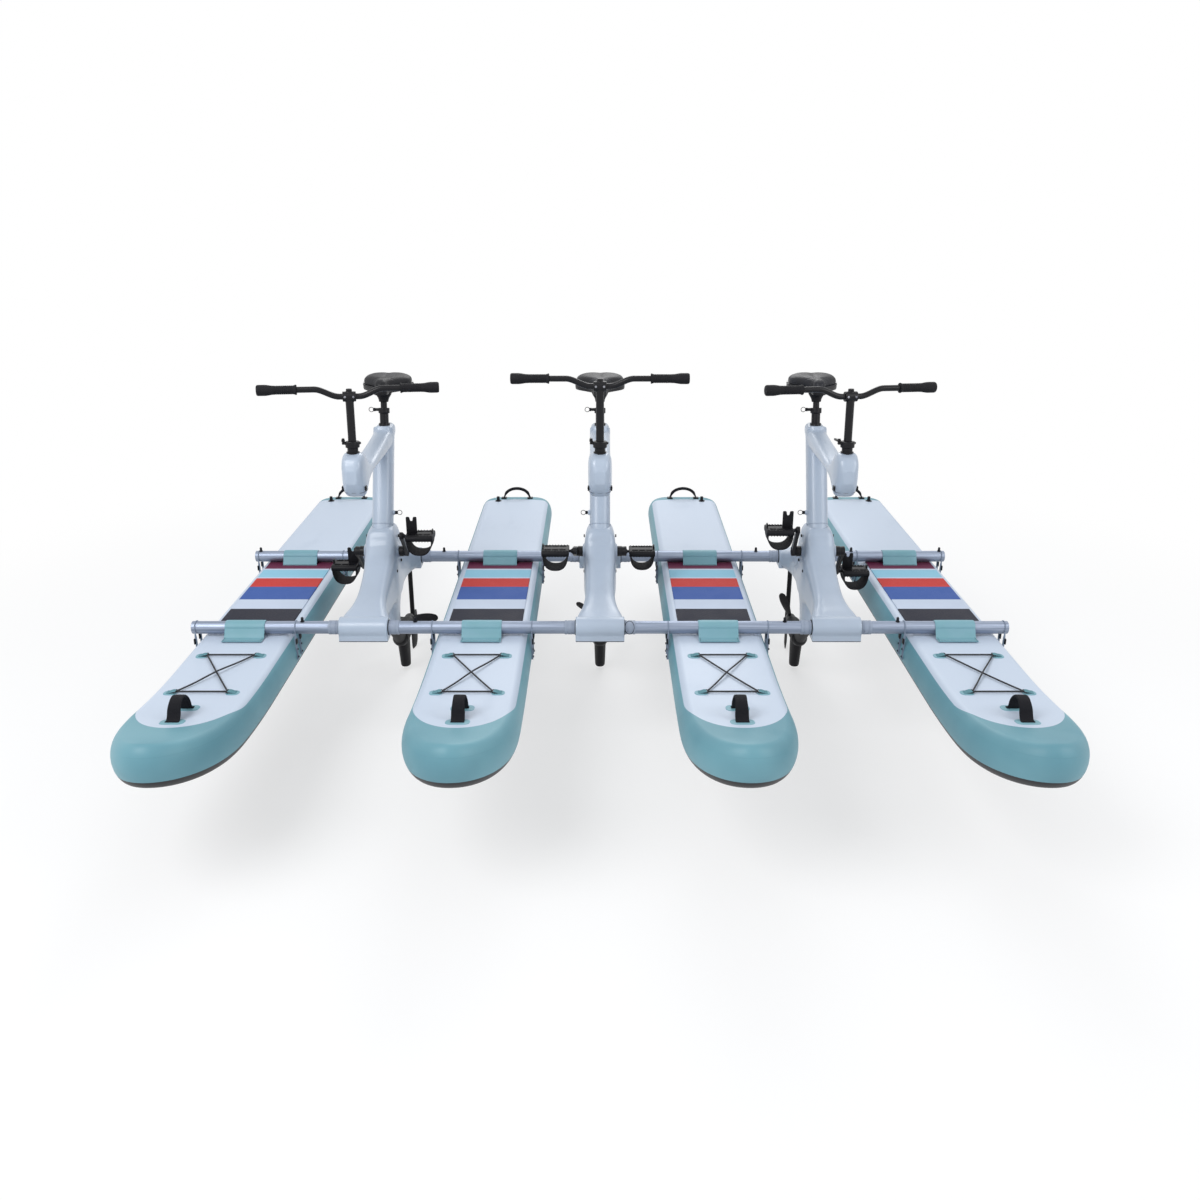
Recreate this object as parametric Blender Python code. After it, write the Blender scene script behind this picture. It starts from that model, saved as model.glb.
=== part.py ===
"""Water bike for three riders: three pedal bikes clamped on two cross tubes over four inflatable boards.

Metres, +Z up, bow towards -Y. The origin lies on the water plane, midway between the cross tubes.
Every bike is built in its own frame, whose origin is the middle of the front cross tube.
"""

from math import atan2, cos, pi, radians, sin, sqrt

import bmesh
import bpy
from mathutils import Matrix, Vector

# Clearances
SEAT_GAP = 0.0003
RUN_GAP = 0.0005

# Sides of round pieces
TUBE_SIDES = 10
ROUND_SIDES = 8
SMALL_SIDES = 6
BORE_SIDES = 8
MOULD_SIDES = 12

# Layout of the craft
BIKE_PITCH = 0.92
BOARD_PITCH = 0.92
TUBE_SPACING = 0.854
DRAFT = 0.070

# Cross tubes
TUBE_RADIUS = 0.025
TUBE_WALL = 0.003
TUBE_LENGTH = 3.18
TUBE_VENT_RADIUS = 0.004
COUPLER_RADIUS = 0.0275
COUPLER_LENGTH = 0.042
LOCK_PIN_RADIUS = 0.006
LOCK_PIN_HEIGHT = 0.020
LOCK_PIN_OFFSETS = (0.26, 0.70)

# Inflatable boards
BOARD_LENGTH = 3.08
BOARD_WIDTH = 0.385
BOARD_THICKNESS = 0.150
BOARD_NOSE_OVERHANG = 1.08
BOARD_NOSE_LENGTH = 0.42
BOARD_TAIL_RADIUS = 0.11
BOARD_RAIL_DEPTH = 0.045
NOSE_LIFT = 0.085
NOSE_LIFT_LENGTH = 0.75
TUBE_SEAT_HEIGHT = 0.006

# Deck pad
PAD_WIDTH = 0.295
PAD_LENGTH = 0.83
PAD_FRONT = 0.10
PAD_THICKNESS = 0.005

# Straps that hold the cross tubes on the decks
STRAP_WIDTH = 0.155
STRAP_FRONT_REACH = 0.083
STRAP_REAR_REACH = 0.058
STRAP_THICKNESS = 0.004

# Side ties between the tubes and the rails
TIE_WIDTH = 0.012
TIE_THICKNESS = 0.004
TIE_DROP = 0.125

# Grab handles
NOSE_HANDLE_Y = -0.72
NOSE_HANDLE_LENGTH = 0.150
NOSE_HANDLE_WIDTH = 0.045
NOSE_HANDLE_HEIGHT = 0.075
TAIL_HANDLE_INSET = 0.066
TAIL_HANDLE_LENGTH = 0.145
TAIL_HANDLE_WIDTH = 0.026
TAIL_HANDLE_HEIGHT = 0.062
HANDLE_THICKNESS = 0.006
PATCH_THICKNESS = 0.003

# Elastic deck cord
CORD_RADIUS = 0.003
CORD_FRONT_Y = -0.53
CORD_REAR_Y = -0.205
CORD_HALF_WIDTH = 0.115
LUG_RADIUS = 0.012
LUG_HEIGHT = 0.011

# Base housing of a bike
SLEEVE_RADIUS = 0.042
SLEEVE_WIDTH = 0.190
WAIST_WIDTH = 0.114
CRANKCASE_WIDTH = 0.134
SOCKET_WIDTH = 0.122
SOCKET_Y = 0.495
SOCKET_LENGTH = 0.110
SOCKET_TOP = 0.264
SOCKET_DEPTH = 0.060
LEG_FRONT = 0.490
LEG_REAR = 0.622
LEG_BOTTOM = -0.235
LEG_WIDTH = 0.060
BASE_DEPTH = 0.047

# Frame of a bike
COLUMN_WIDTH = 0.080
COLUMN_DEPTH = 0.096
COLUMN_TOP_Y = 0.665
COLUMN_TOP = 0.640
ARM_WIDTH = 0.083
HEAD_WIDTH = 0.088
HEAD_Y = 0.052
HEAD_TOP = 0.685
HEAD_BOTTOM = 0.515
COVER_START = 0.060
COVER_END = 0.192
COVER_DROP = 0.014
HEAD_SQUARENESS = 4.4
ARM_SQUARENESS = 2.7

# Steering stem
STEM_LEAN = radians(4)
STEM_RADIUS = 0.015
STEERER_RADIUS = 0.020
STEERER_BOTTOM = 0.560
STEM_COLLAR_TOP = 0.726
STEM_COLLAR_RADIUS = 0.026
STEM_COLLAR_HEIGHT = 0.014
STEM_BOTTOM = 0.605
LEVER_STUD_RADIUS = 0.0035
LEVER_STUD_REACH = 0.033
LEVER_HEIGHT = 0.009
LEVER_LENGTH = 0.056
LEVER_WIDTH = 0.011
BAR_HEIGHT = 0.900
CLAMP_RADIUS = 0.0185
CLAMP_WIDTH = 0.048

# Handlebar
BAR_RADIUS = 0.011
BAR_WIDTH = 0.655
BAR_RISE = 0.028
BAR_FLAT = 0.035
BAR_BEND_END = 0.125
GRIP_LENGTH = 0.142
GRIP_RADIUS = 0.0165
GRIP_PALM_RADIUS = 0.0200

# Seat post and saddle
SEAT_LEAN = radians(12)
SEAT_Y = 0.682
SEAT_BASE = 0.656
SEAT_POST_RADIUS = 0.0135
SEAT_SLEEVE_RADIUS = 0.0185
SEAT_SLEEVE_TOP = 0.722
SEAT_SLEEVE_BOTTOM = 0.615
SEAT_COLLAR_RADIUS = 0.0235
SEAT_COLLAR_HEIGHT = 0.014
SEAT_POST_BOTTOM = 0.585
SEAT_BORE_BOTTOM = 0.566
SADDLE_RISE = 0.054
SADDLE_HEIGHT = 0.074
SADDLE_NOSE_Y = 0.625
SADDLE_LENGTH = 0.275
SADDLE_WIDTH = 0.216
SADDLE_NOSE_WIDTH = 0.060

# Pull pins
PIN_RADIUS = 0.004
PIN_KNOB_RADIUS = 0.0075
PIN_KNOB_LENGTH = 0.010
PIN_BOSS_RADIUS = 0.009
PIN_BOSS_LENGTH = 0.012
PIN_RING_RADIUS = 0.0135
PIN_RING_WIRE = 0.0016
COLUMN_PIN_HEIGHT = 0.312

# Crank drive
CRANK_Y = 0.440
CRANK_Z = 0.165
CRANK_LENGTH = 0.145
CRANK_AXLE_RADIUS = 0.011
CRANK_BOSS_RADIUS = 0.030
CRANK_BOSS_HEIGHT = 0.006
CRANK_HUB_RADIUS = 0.022
CRANK_HUB_LENGTH = 0.038
CRANK_ARM_THICKNESS = 0.014
PEDAL_PIN_RADIUS = 0.006
PEDAL_PIN_LENGTH = 0.085
PEDAL_GAP = 0.015
PEDAL_WIDTH = 0.112
PEDAL_DEPTH = 0.094
PEDAL_HEIGHT = 0.026
PEDAL_BARREL_RADIUS = 0.0135
PEDAL_STRAP_DROP = 0.056
PEDAL_STRAP_WIDTH = 0.032
PEDAL_STRAP_THICKNESS = 0.004
PEDAL_TAIL_HEIGHT = 0.082
PEDAL_TAIL_WIDTH = 0.036
PEDAL_LUG_HEIGHT = 0.030

# Underwater drive
POD_RADIUS = 0.0375
POD_Z = -0.350
POD_FRONT_Y = 0.660
POD_REAR_Y = 0.930
FIN_Y = 0.790
FIN_BOTTOM = -0.520
FIN_TOP_WIDTH = 0.058
FIN_TOP_LENGTH = 0.125
FIN_TIP_WIDTH = 0.046
FIN_TIP_LENGTH = 0.060
PROPELLER_RADIUS = 0.1375
PROPELLER_HUB_RADIUS = 0.024
PROPELLER_HUB_LENGTH = 0.052
SHAFT_RADIUS = 0.007
SHAFT_DEPTH = 0.040
BLADE_CHORD = 0.050
BLADE_THICKNESS = 0.006
BLADE_ROOT_PITCH = radians(58)
BLADE_TIP_PITCH = radians(24)

# Rudder
RUDDER_Y = 1.045
RUDDER_STOCK_RADIUS = 0.011
RUDDER_BUSH_RADIUS = 0.022
RUDDER_BUSH_TOP = -0.040
RUDDER_BUSH_HEIGHT = 0.042
RUDDER_BLADE_TOP = -0.360
RUDDER_BLADE_BOTTOM = -0.540
RUDDER_BLADE_FRONT = 0.036
RUDDER_BLADE_REAR = 0.062
RUDDER_BLADE_THICKNESS = 0.014
RUDDER_HEAD_RADIUS = 0.018
RUDDER_HEAD_HEIGHT = 0.008

# How each bike stands: number, place across, side of its column pin, the turns of its crank,
# propeller and handlebar, and how far its stem is drawn out
BIKES = (
    (1, -1, 1, radians(136), radians(0), radians(9.5), -0.010),
    (2, 0, -1, radians(-19), radians(35), radians(0), 0.027),
    (3, 1, -1, radians(-55), radians(68), radians(9.5), -0.010),
)

# Derived places
FRONT_TUBE_Y = -TUBE_SPACING / 2
DECK_Z = BOARD_THICKNESS - DRAFT
TUBE_Z = DECK_Z + TUBE_SEAT_HEIGHT + SEAT_GAP + TUBE_RADIUS
DECK_DROP = DECK_Z - TUBE_Z
COLUMN_DIRECTION = Vector((0, COLUMN_TOP_Y - SOCKET_Y, COLUMN_TOP - SOCKET_TOP)).normalized()
STEM_DIRECTION = Vector((0, sin(STEM_LEAN), cos(STEM_LEAN)))
SEAT_DIRECTION = Vector((0, sin(SEAT_LEAN), cos(SEAT_LEAN)))
SADDLE_BASE = SEAT_SLEEVE_TOP + SADDLE_RISE
SADDLE_TOP = SADDLE_BASE + SADDLE_HEIGHT
CRANK_HUB_START = CRANKCASE_WIDTH / 2 + CRANK_BOSS_HEIGHT + RUN_GAP
PEDAL_START = CRANK_HUB_START + CRANK_HUB_LENGTH + PEDAL_GAP
PROPELLER_Y = POD_REAR_Y + RUN_GAP


# Scene and materials


def clear_scene():
    for item in list(bpy.data.objects):
        bpy.data.objects.remove(item, do_unlink=True)


def make_material(name, colour, roughness, metallic=0.0):
    material = bpy.data.materials.new(name)
    material.use_nodes = True
    shader = material.node_tree.nodes["Principled BSDF"]
    shader.inputs["Base Color"].default_value = (*colour, 1.0)
    shader.inputs["Roughness"].default_value = roughness
    shader.inputs["Metallic"].default_value = metallic
    return material


def make_materials():
    return {
        "moulding": make_material("white_moulding", (0.62, 0.70, 0.80), 0.35),
        "board": make_material("board_fabric", (0.28, 0.55, 0.55), 0.5),
        "tube": make_material("anodised_tube", (0.62, 0.66, 0.72), 0.35, 0.9),
        "black": make_material("black_metal", (0.015, 0.015, 0.017), 0.35, 0.2),
        "rubber": make_material("black_rubber", (0.012, 0.012, 0.013), 0.7),
        "saddle": make_material("saddle_cover", (0.02, 0.02, 0.024), 0.3),
        "steel": make_material("steel", (0.6, 0.6, 0.62), 0.25, 1.0),
    }


# Mesh tools


def run_bore(radius, sides=BORE_SIDES):
    """The radius of a faceted bore whose flats clear a shaft that turns in it."""
    return (radius + RUN_GAP / 2) / cos(pi / sides)


def mesh_from(bm, name):
    bm.normal_update()
    bmesh.ops.triangulate(bm, faces=[f for f in bm.faces if len(f.verts) > 3])
    bmesh.ops.recalc_face_normals(bm, faces=bm.faces)
    mesh = bpy.data.meshes.new(name)
    bm.to_mesh(mesh)
    bm.free()
    return mesh


def solid(bm, name="tool"):
    item = bpy.data.objects.new(name, mesh_from(bm, name))
    bpy.context.collection.objects.link(item)
    return item


def boolean(target, tool, operation):
    """Joins the tool to the target, or cuts it away; both are closed."""
    change = target.modifiers.new(operation.lower(), "BOOLEAN")
    change.operation = operation
    change.solver = "MANIFOLD"
    change.object = tool
    graph = bpy.context.evaluated_depsgraph_get()
    mesh = bpy.data.meshes.new_from_object(target.evaluated_get(graph))
    target.modifiers.clear()
    target.data = mesh
    bpy.data.objects.remove(tool, do_unlink=True)
    return target


def join(target, *tools):
    for tool in tools:
        boolean(target, tool, "UNION")
    return target


def cut(target, *tools):
    for tool in tools:
        boolean(target, tool, "DIFFERENCE")
    return target


def finish(item, name, material, parent, origin=(0, 0, 0), rotation=(0, 0, 0)):
    """Names a solid and places it under its bike, with its origin on its joint's axis."""
    item.name = name
    item.data.name = name
    item.data.transform(Matrix.Translation(-Vector(origin)))
    item.data.materials.clear()
    item.data.materials.append(material)
    item.data.shade_smooth()
    item.data.set_sharp_from_angle(angle=radians(35))
    item.location = origin
    item.rotation_euler = rotation
    item.parent = parent
    return item


def copy_of(item, name, parent, location=None, rotation=None):
    """Another object on the same mesh."""
    twin = bpy.data.objects.new(name, item.data)
    bpy.context.collection.objects.link(twin)
    twin.location = item.location if location is None else location
    twin.rotation_euler = item.rotation_euler if rotation is None else rotation
    twin.parent = parent
    return twin


def loft(rings):
    """One closed skin through rings of equal point counts, with flat ends."""
    bm = bmesh.new()
    rows = [[bm.verts.new(p) for p in ring] for ring in rings]
    for near, far in zip(rows, rows[1:]):
        for i in range(len(near)):
            j = (i + 1) % len(near)
            bm.faces.new((near[i], near[j], far[j], far[i]))
    bm.faces.new(rows[0])
    bm.faces.new(rows[-1])
    return bm


def extruded(outline, start, end):
    """An outline of 2-D points in the Y-Z plane, extruded along X."""
    return loft([[Vector((x, y, z)) for y, z in outline] for x in (start, end)])


def oval(half_width, half_height, count, power=2.0):
    """Points of a superellipse, from the +first axis and round to the +second."""
    points = []
    for i in range(count):
        angle = 2 * pi * (i + 0.5) / count
        c, s = cos(angle), sin(angle)
        points.append(
            (
                half_width * abs(c) ** (2 / power) * (1 if c > 0 else -1),
                half_height * abs(s) ** (2 / power) * (1 if s > 0 else -1),
            )
        )
    return points


def frame_along(direction):
    """Two unit vectors square to a direction, the first as near to +X as can be."""
    axis = Vector(direction).normalized()
    side = Vector((1, 0, 0)) if abs(axis.x) < 0.9 else Vector((0, 1, 0))
    side = (side - axis * side.dot(axis)).normalized()
    return side, axis.cross(side)


def round_bar(start, direction, stations, count):
    """A turned solid: stations are (distance along the direction, radius) pairs."""
    start = Vector(start)
    axis = Vector(direction).normalized()
    side, up = frame_along(axis)
    rings = []
    for distance, radius in stations:
        centre = start + axis * distance
        rings.append([centre + side * a + up * b for a, b in oval(radius, radius, count)])
    return loft(rings)


def cylinder(start, direction, length, radius, count):
    return round_bar(start, direction, ((0, radius), (length, radius)), count)


def box(low, high):
    bm = bmesh.new()
    bmesh.ops.create_cube(bm, size=1.0)
    size = Vector(high) - Vector(low)
    centre = (Vector(high) + Vector(low)) / 2
    bmesh.ops.transform(bm, matrix=Matrix.Translation(centre) @ Matrix.Diagonal((*size, 1)), verts=bm.verts)
    return bm


def arc(centre, radius, start, end, count):
    """Points on an arc in the plane of an outline."""
    step = (end - start) / count
    return [
        (centre[0] + radius * cos(start + step * i), centre[1] + radius * sin(start + step * i))
        for i in range(count + 1)
    ]


def swept(path, radii, count, closed=False):
    """A round tube along a path of points, with its own radius at each point."""
    points = [Vector(p) for p in path]
    total = len(points)
    rings = []
    side = None
    for i, point in enumerate(points):
        ahead = points[(i + 1) % total] if closed else points[min(i + 1, total - 1)]
        behind = points[i - 1] if closed else points[max(i - 1, 0)]
        axis = (ahead - behind).normalized()
        if side is None:
            side, up = frame_along(axis)
        side = (side - axis * side.dot(axis)).normalized()
        up = axis.cross(side)
        rings.append([point + side * a + up * b for a, b in oval(radii[i], radii[i], count)])
    if not closed:
        return loft(rings)
    bm = bmesh.new()
    rows = [[bm.verts.new(p) for p in ring] for ring in rings]
    shift = closing_shift(rings[-1], rings[0])
    for index, near in enumerate(rows):
        last = index == total - 1
        far = rows[(index + 1) % total]
        turn = shift if last else 0
        for i in range(count):
            j = (i + 1) % count
            bm.faces.new((near[i], near[j], far[(j + turn) % count], far[(i + turn) % count]))
    return bm


def closing_shift(last, first):
    """How far the last ring must turn to meet the first one squarely."""
    count = len(first)

    def misfit(turn):
        return sum((last[i] - first[(i + turn) % count]).length for i in range(count))

    return min(range(count), key=misfit)


def revolved_ring(profile, count):
    """A closed profile of (place along X, radius) turned about the X axis."""
    bm = bmesh.new()
    rows = [[bm.verts.new((x, a, b)) for a, b in oval(radius, radius, count)] for x, radius in profile]
    for index, near in enumerate(rows):
        far = rows[(index + 1) % len(rows)]
        for i in range(count):
            j = (i + 1) % count
            bm.faces.new((near[i], near[j], far[j], far[i]))
    return bm


# Inflatable boards


def board_half_width(distance):
    """Half the board's width at a distance from the nose tip."""
    half = BOARD_WIDTH / 2
    if distance < BOARD_NOSE_LENGTH:
        return half * sqrt(max(1 - (1 - distance / BOARD_NOSE_LENGTH) ** 2.3, 0))
    to_tail = BOARD_LENGTH - distance
    if to_tail < BOARD_TAIL_RADIUS:
        return half - BOARD_TAIL_RADIUS + sqrt(max(BOARD_TAIL_RADIUS**2 - (BOARD_TAIL_RADIUS - to_tail) ** 2, 0))
    return half


def nose_lift(y):
    """How far the board is raised at a place along it."""
    distance = y + BOARD_NOSE_OVERHANG
    return NOSE_LIFT * max(1 - distance / NOSE_LIFT_LENGTH, 0) ** 2


def board_stations():
    """Distances from the nose tip, close together where the outline turns."""
    nose = [BOARD_NOSE_LENGTH * (1 - cos(pi / 2 * i / 5)) for i in range(1, 6)]
    middle = [BOARD_NOSE_LENGTH + 0.16, NOSE_LIFT_LENGTH]
    tail = [BOARD_LENGTH - BOARD_TAIL_RADIUS * (1 - sin(pi / 2 * i / 2)) for i in range(0, 2)]
    return nose + middle + tail


def board_hull():
    """A hull whose rail bulges all round a flat deck and a flat bottom."""
    stations = board_stations()
    plan = [Vector((0.0, -BOARD_NOSE_OVERHANG))]
    plan += [Vector((board_half_width(d), d - BOARD_NOSE_OVERHANG)) for d in stations]
    tail_y = BOARD_LENGTH - BOARD_NOSE_OVERHANG
    plan += [Vector((board_half_width(BOARD_LENGTH), tail_y)), Vector((0.0, tail_y))]
    outline = plan + [Vector((-p.x, p.y)) for p in reversed(plan[1:-1])]
    total = len(outline)
    inward = []
    for i in range(total):
        run = outline[(i + 1) % total] - outline[i - 1]
        inward.append(Vector((-run.y, run.x)).normalized())
    middle_z = DECK_DROP - BOARD_THICKNESS / 2
    levels = [radians(a) for a in (-90, -48, 0, 48, 90)]
    bm = bmesh.new()
    rows = []
    for level in levels:
        inset = BOARD_RAIL_DEPTH * (1 - cos(level))
        row = []
        for point, way in zip(outline, inward):
            x, y = point + way * inset
            row.append(bm.verts.new((x, y, middle_z + BOARD_THICKNESS / 2 * sin(level) + nose_lift(point.y))))
        rows.append(row)
    for low, high in zip(rows, rows[1:]):
        for i in range(total):
            j = (i + 1) % total
            bm.faces.new((low[i], low[j], high[j], high[i]))
    half = len(plan) - 1
    for row in (rows[0], rows[-1]):
        bm.faces.new((row[0], row[1], row[total - 1]))
        for i in range(1, half - 1):
            bm.faces.new((row[i], row[i + 1], row[total - i - 1], row[total - i]))
        bm.faces.new((row[half - 1], row[half], row[half + 1]))
    return solid(bm, "board")


def rounded_plate(centre_x, low_y, high_y, width, bottom, top, corner):
    """A thin plate with rounded corners, lying flat."""
    half = width / 2 - corner
    corners = (
        (centre_x + half, low_y + corner, -pi / 2),
        (centre_x + half, high_y - corner, 0),
        (centre_x - half, high_y - corner, pi / 2),
        (centre_x - half, low_y + corner, pi),
    )
    ring = []
    for x, y, start in corners:
        ring += arc((x, y), corner, start, start + pi / 2, 1)
    return solid(loft([[Vector((x, y, z)) for x, y in ring] for z in (bottom, top)]))


def deck_pad():
    return rounded_plate(
        0, PAD_FRONT, PAD_FRONT + PAD_LENGTH, PAD_WIDTH,
        DECK_DROP - PAD_THICKNESS, DECK_DROP + PAD_THICKNESS, 0.03,
    )


def tube_strap(tube_y):
    """A wide strap glued to the deck before and behind a tube, and lying over it."""
    outer = TUBE_RADIUS + SEAT_GAP + STRAP_THICKNESS
    foot = DECK_DROP + PAD_THICKNESS + STRAP_THICKNESS
    inside = DECK_DROP - STRAP_THICKNESS
    turn = radians(28)
    outline = [(tube_y - STRAP_FRONT_REACH, inside), (tube_y + STRAP_REAR_REACH, inside)]
    outline += [(tube_y + STRAP_REAR_REACH, foot), (tube_y + outer * 1.45, foot)]
    outline += arc((tube_y, 0), outer, turn, pi - turn, 5)
    outline += [(tube_y - outer * 1.45, foot), (tube_y - STRAP_FRONT_REACH, foot)]
    return solid(extruded(outline, -STRAP_WIDTH / 2, STRAP_WIDTH / 2))


def side_tie(side, tube_y):
    """A webbing loop over the tube, its two ends glued down the rail."""
    inner = run_bore(TUBE_RADIUS, 12)
    band = handle_band(2 * (inner + TIE_THICKNESS), inner + TIE_THICKNESS, TIE_WIDTH, TIE_DROP, TIE_THICKNESS)
    middle = side * (BOARD_WIDTH / 2 + TIE_WIDTH * 0.15)
    bmesh.ops.translate(band, vec=(middle, tube_y, 0), verts=band.verts)
    return solid(band)


def handle_band(length, height, width, foot, thickness=HANDLE_THICKNESS):
    """A webbing arch in the Y-Z plane, standing on z = 0, as wide as its webbing along X."""
    angles = [pi * i / 6 for i in range(7)]
    outer = [(length / 2 * cos(a), height * sin(a)) for a in angles]
    inner_length = length / 2 - thickness
    inner_height = height - thickness
    inner = [(inner_length * cos(a), inner_height * sin(a)) for a in reversed(angles)]
    outline = [(length / 2, -foot), *outer, (-length / 2, -foot), (-inner_length, -foot), *inner, (inner_length, -foot)]
    bm = bmesh.new()
    rows = [[bm.verts.new((x, y, z)) for y, z in outline] for x in (-width / 2, width / 2)]
    total = len(outline)
    for i in range(total):
        j = (i + 1) % total
        bm.faces.new((rows[0][i], rows[0][j], rows[1][j], rows[1][i]))
    half = total // 2
    for row in rows:
        for i in range(half - 1):
            bm.faces.new((row[i], row[i + 1], row[total - 2 - i], row[total - 1 - i]))
    return bm


def nose_handle():
    """Nose grab handle on its two glued patches."""
    deck = DECK_DROP + nose_lift(NOSE_HANDLE_Y)
    slope = atan2(nose_lift(NOSE_HANDLE_Y + 0.05) - nose_lift(NOSE_HANDLE_Y - 0.05), 0.10)
    band = handle_band(NOSE_HANDLE_LENGTH, NOSE_HANDLE_HEIGHT, NOSE_HANDLE_WIDTH, PATCH_THICKNESS * 2)
    place = Matrix.Translation((0, NOSE_HANDLE_Y, deck)) @ Matrix.Rotation(slope, 4, "X")
    bmesh.ops.transform(band, matrix=place, verts=band.verts)
    handle = solid(band)
    for way in (-1, 1):
        y = NOSE_HANDLE_Y + way * NOSE_HANDLE_LENGTH / 2
        height = DECK_DROP + nose_lift(y)
        patch = box(
            (-NOSE_HANDLE_WIDTH * 0.8, y - 0.03, height - 0.012),
            (NOSE_HANDLE_WIDTH * 0.8, y + 0.03, height + PATCH_THICKNESS),
        )
        join(handle, solid(patch))
    return handle


def tail_handle():
    """Tail grab handle, an arch across the edge of the tail."""
    y = BOARD_LENGTH - BOARD_NOSE_OVERHANG - TAIL_HANDLE_INSET
    band = handle_band(TAIL_HANDLE_LENGTH, TAIL_HANDLE_HEIGHT, TAIL_HANDLE_WIDTH, BOARD_RAIL_DEPTH * 0.5)
    place = Matrix.Translation((0, y, DECK_DROP)) @ Matrix.Rotation(pi / 2, 4, "Z")
    bmesh.ops.transform(band, matrix=place, verts=band.verts)
    return solid(band)


def cord_lugs():
    """The four glued lugs that hold the deck cord's corners."""
    lugs = []
    for side in (-1, 1):
        for y in (CORD_FRONT_Y, CORD_REAR_Y):
            foot = (side * CORD_HALF_WIDTH, y, DECK_DROP + nose_lift(y) - 0.005)
            lugs.append(solid(cylinder(foot, (0, 0, 1), 0.005 + LUG_HEIGHT, LUG_RADIUS, SMALL_SIDES)))
    return lugs


def build_board():
    board = board_hull()
    pieces = [deck_pad(), tube_strap(0), tube_strap(TUBE_SPACING), nose_handle(), tail_handle()]
    pieces += [side_tie(side, y) for side in (-1, 1) for y in (0, TUBE_SPACING)]
    pieces += cord_lugs()
    pieces.append(deck_cord())
    join(board, *pieces)
    for y in (0, TUBE_SPACING):
        bore = cylinder((-STRAP_WIDTH, y, 0), (1, 0, 0), STRAP_WIDTH * 2, TUBE_RADIUS + SEAT_GAP, TUBE_SIDES)
        cut(board, solid(bore))
    return board


def deck_cord():
    """One elastic loop laced through the four lugs, with its two long runs crossing."""
    front, rear = CORD_FRONT_Y, CORD_REAR_Y
    corners = ((-1, front), (1, rear), (-1, rear), (1, front))
    path = []
    for index, (side, y) in enumerate(corners):
        start = Vector((side * CORD_HALF_WIDTH, y))
        path.append((start.x, start.y, cord_height(y)))
        if index in (0, 2):
            other_side, other_y = corners[(index + 1) % 4]
            height = 3.2 * CORD_RADIUS if index == 0 else 0.9 * CORD_RADIUS
            path += cord_crossing(start, Vector((other_side * CORD_HALF_WIDTH, other_y)), height)
    return solid(swept(path, [CORD_RADIUS] * len(path), 4, closed=True), "deck_cord")


def cord_height(y, extra=0.0):
    return DECK_DROP + nose_lift(y) + PATCH_THICKNESS + SEAT_GAP + CORD_RADIUS + extra


def cord_crossing(start, end, height):
    """Three points that lift one run over the other in the middle of the net."""
    middle = (start + end) / 2
    along = (end - start).normalized()
    points = []
    for step, share in ((-0.04, 0.0), (0, 1.0), (0.04, 0.0)):
        spot = middle + along * step
        points.append((spot.x, spot.y, cord_height(spot.y, height * share)))
    return points


# Cross tubes


def build_cross_tube():
    """A hollow tube with vented end plugs, lock pins, and a coupling on each side of every bike."""
    half = TUBE_LENGTH / 2
    start = SLEEVE_WIDTH / 2 + RUN_GAP
    outside = [(-half, TUBE_RADIUS)]
    for index in (-1, 0, 1):
        for near, far in ((-start - COUPLER_LENGTH, -start), (start, start + COUPLER_LENGTH)):
            low, high = index * BIKE_PITCH + near, index * BIKE_PITCH + far
            outside += [(low, TUBE_RADIUS), (low, COUPLER_RADIUS), (high, COUPLER_RADIUS), (high, TUBE_RADIUS)]
    outside.append((half, TUBE_RADIUS))
    plug = 2 * TUBE_WALL
    bore = TUBE_RADIUS - TUBE_WALL
    inside = [
        (half, TUBE_VENT_RADIUS), (half - plug, TUBE_VENT_RADIUS), (half - plug, bore),
        (plug - half, bore), (plug - half, TUBE_VENT_RADIUS), (-half, TUBE_VENT_RADIUS),
    ]
    tube = solid(revolved_ring(outside + inside, TUBE_SIDES), "cross_tube")
    for place in LOCK_PIN_OFFSETS:
        for side in (-1, 1):
            foot = (side * (BIKE_PITCH / 2 + place), 0, TUBE_RADIUS - TUBE_WALL * 0.6)
            pin = cylinder(foot, (0, 0, 1), LOCK_PIN_HEIGHT, LOCK_PIN_RADIUS, 6)
            join(tube, solid(pin))
    return tube


# Base housing


def housing_stations():
    """Keys along the housing: place, half width, underside and top."""
    flat = SLEEVE_RADIUS - 0.006
    case = CRANKCASE_WIDTH / 2
    front = SOCKET_Y - SOCKET_LENGTH / 2
    rear = SOCKET_Y + SOCKET_LENGTH / 2
    return (
        (0.0, SLEEVE_WIDTH / 2 - 0.003, -BASE_DEPTH + 0.006, flat),
        (0.055, SLEEVE_WIDTH / 2 - 0.014, -BASE_DEPTH, 0.050),
        (0.150, WAIST_WIDTH / 2 + 0.003, -BASE_DEPTH, 0.074),
        (0.320, WAIST_WIDTH / 2 + 0.005, -BASE_DEPTH - 0.003, 0.142),
        (CRANK_Y - 0.045, case, -BASE_DEPTH - 0.010, 0.205),
        (front, case, -BASE_DEPTH - 0.028, SOCKET_TOP),
        (rear, SOCKET_WIDTH / 2, -BASE_DEPTH - 0.030, SOCKET_TOP - 0.004),
        (TUBE_SPACING - 0.225, WAIST_WIDTH / 2 - 0.003, -BASE_DEPTH - 0.014, 0.155),
        (TUBE_SPACING - 0.135, WAIST_WIDTH / 2, -BASE_DEPTH - 0.004, 0.088),
        (TUBE_SPACING - 0.065, SLEEVE_WIDTH / 2 - 0.020, -BASE_DEPTH, 0.057),
        (TUBE_SPACING, SLEEVE_WIDTH / 2 - 0.003, -BASE_DEPTH + 0.006, flat),
    )


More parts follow.
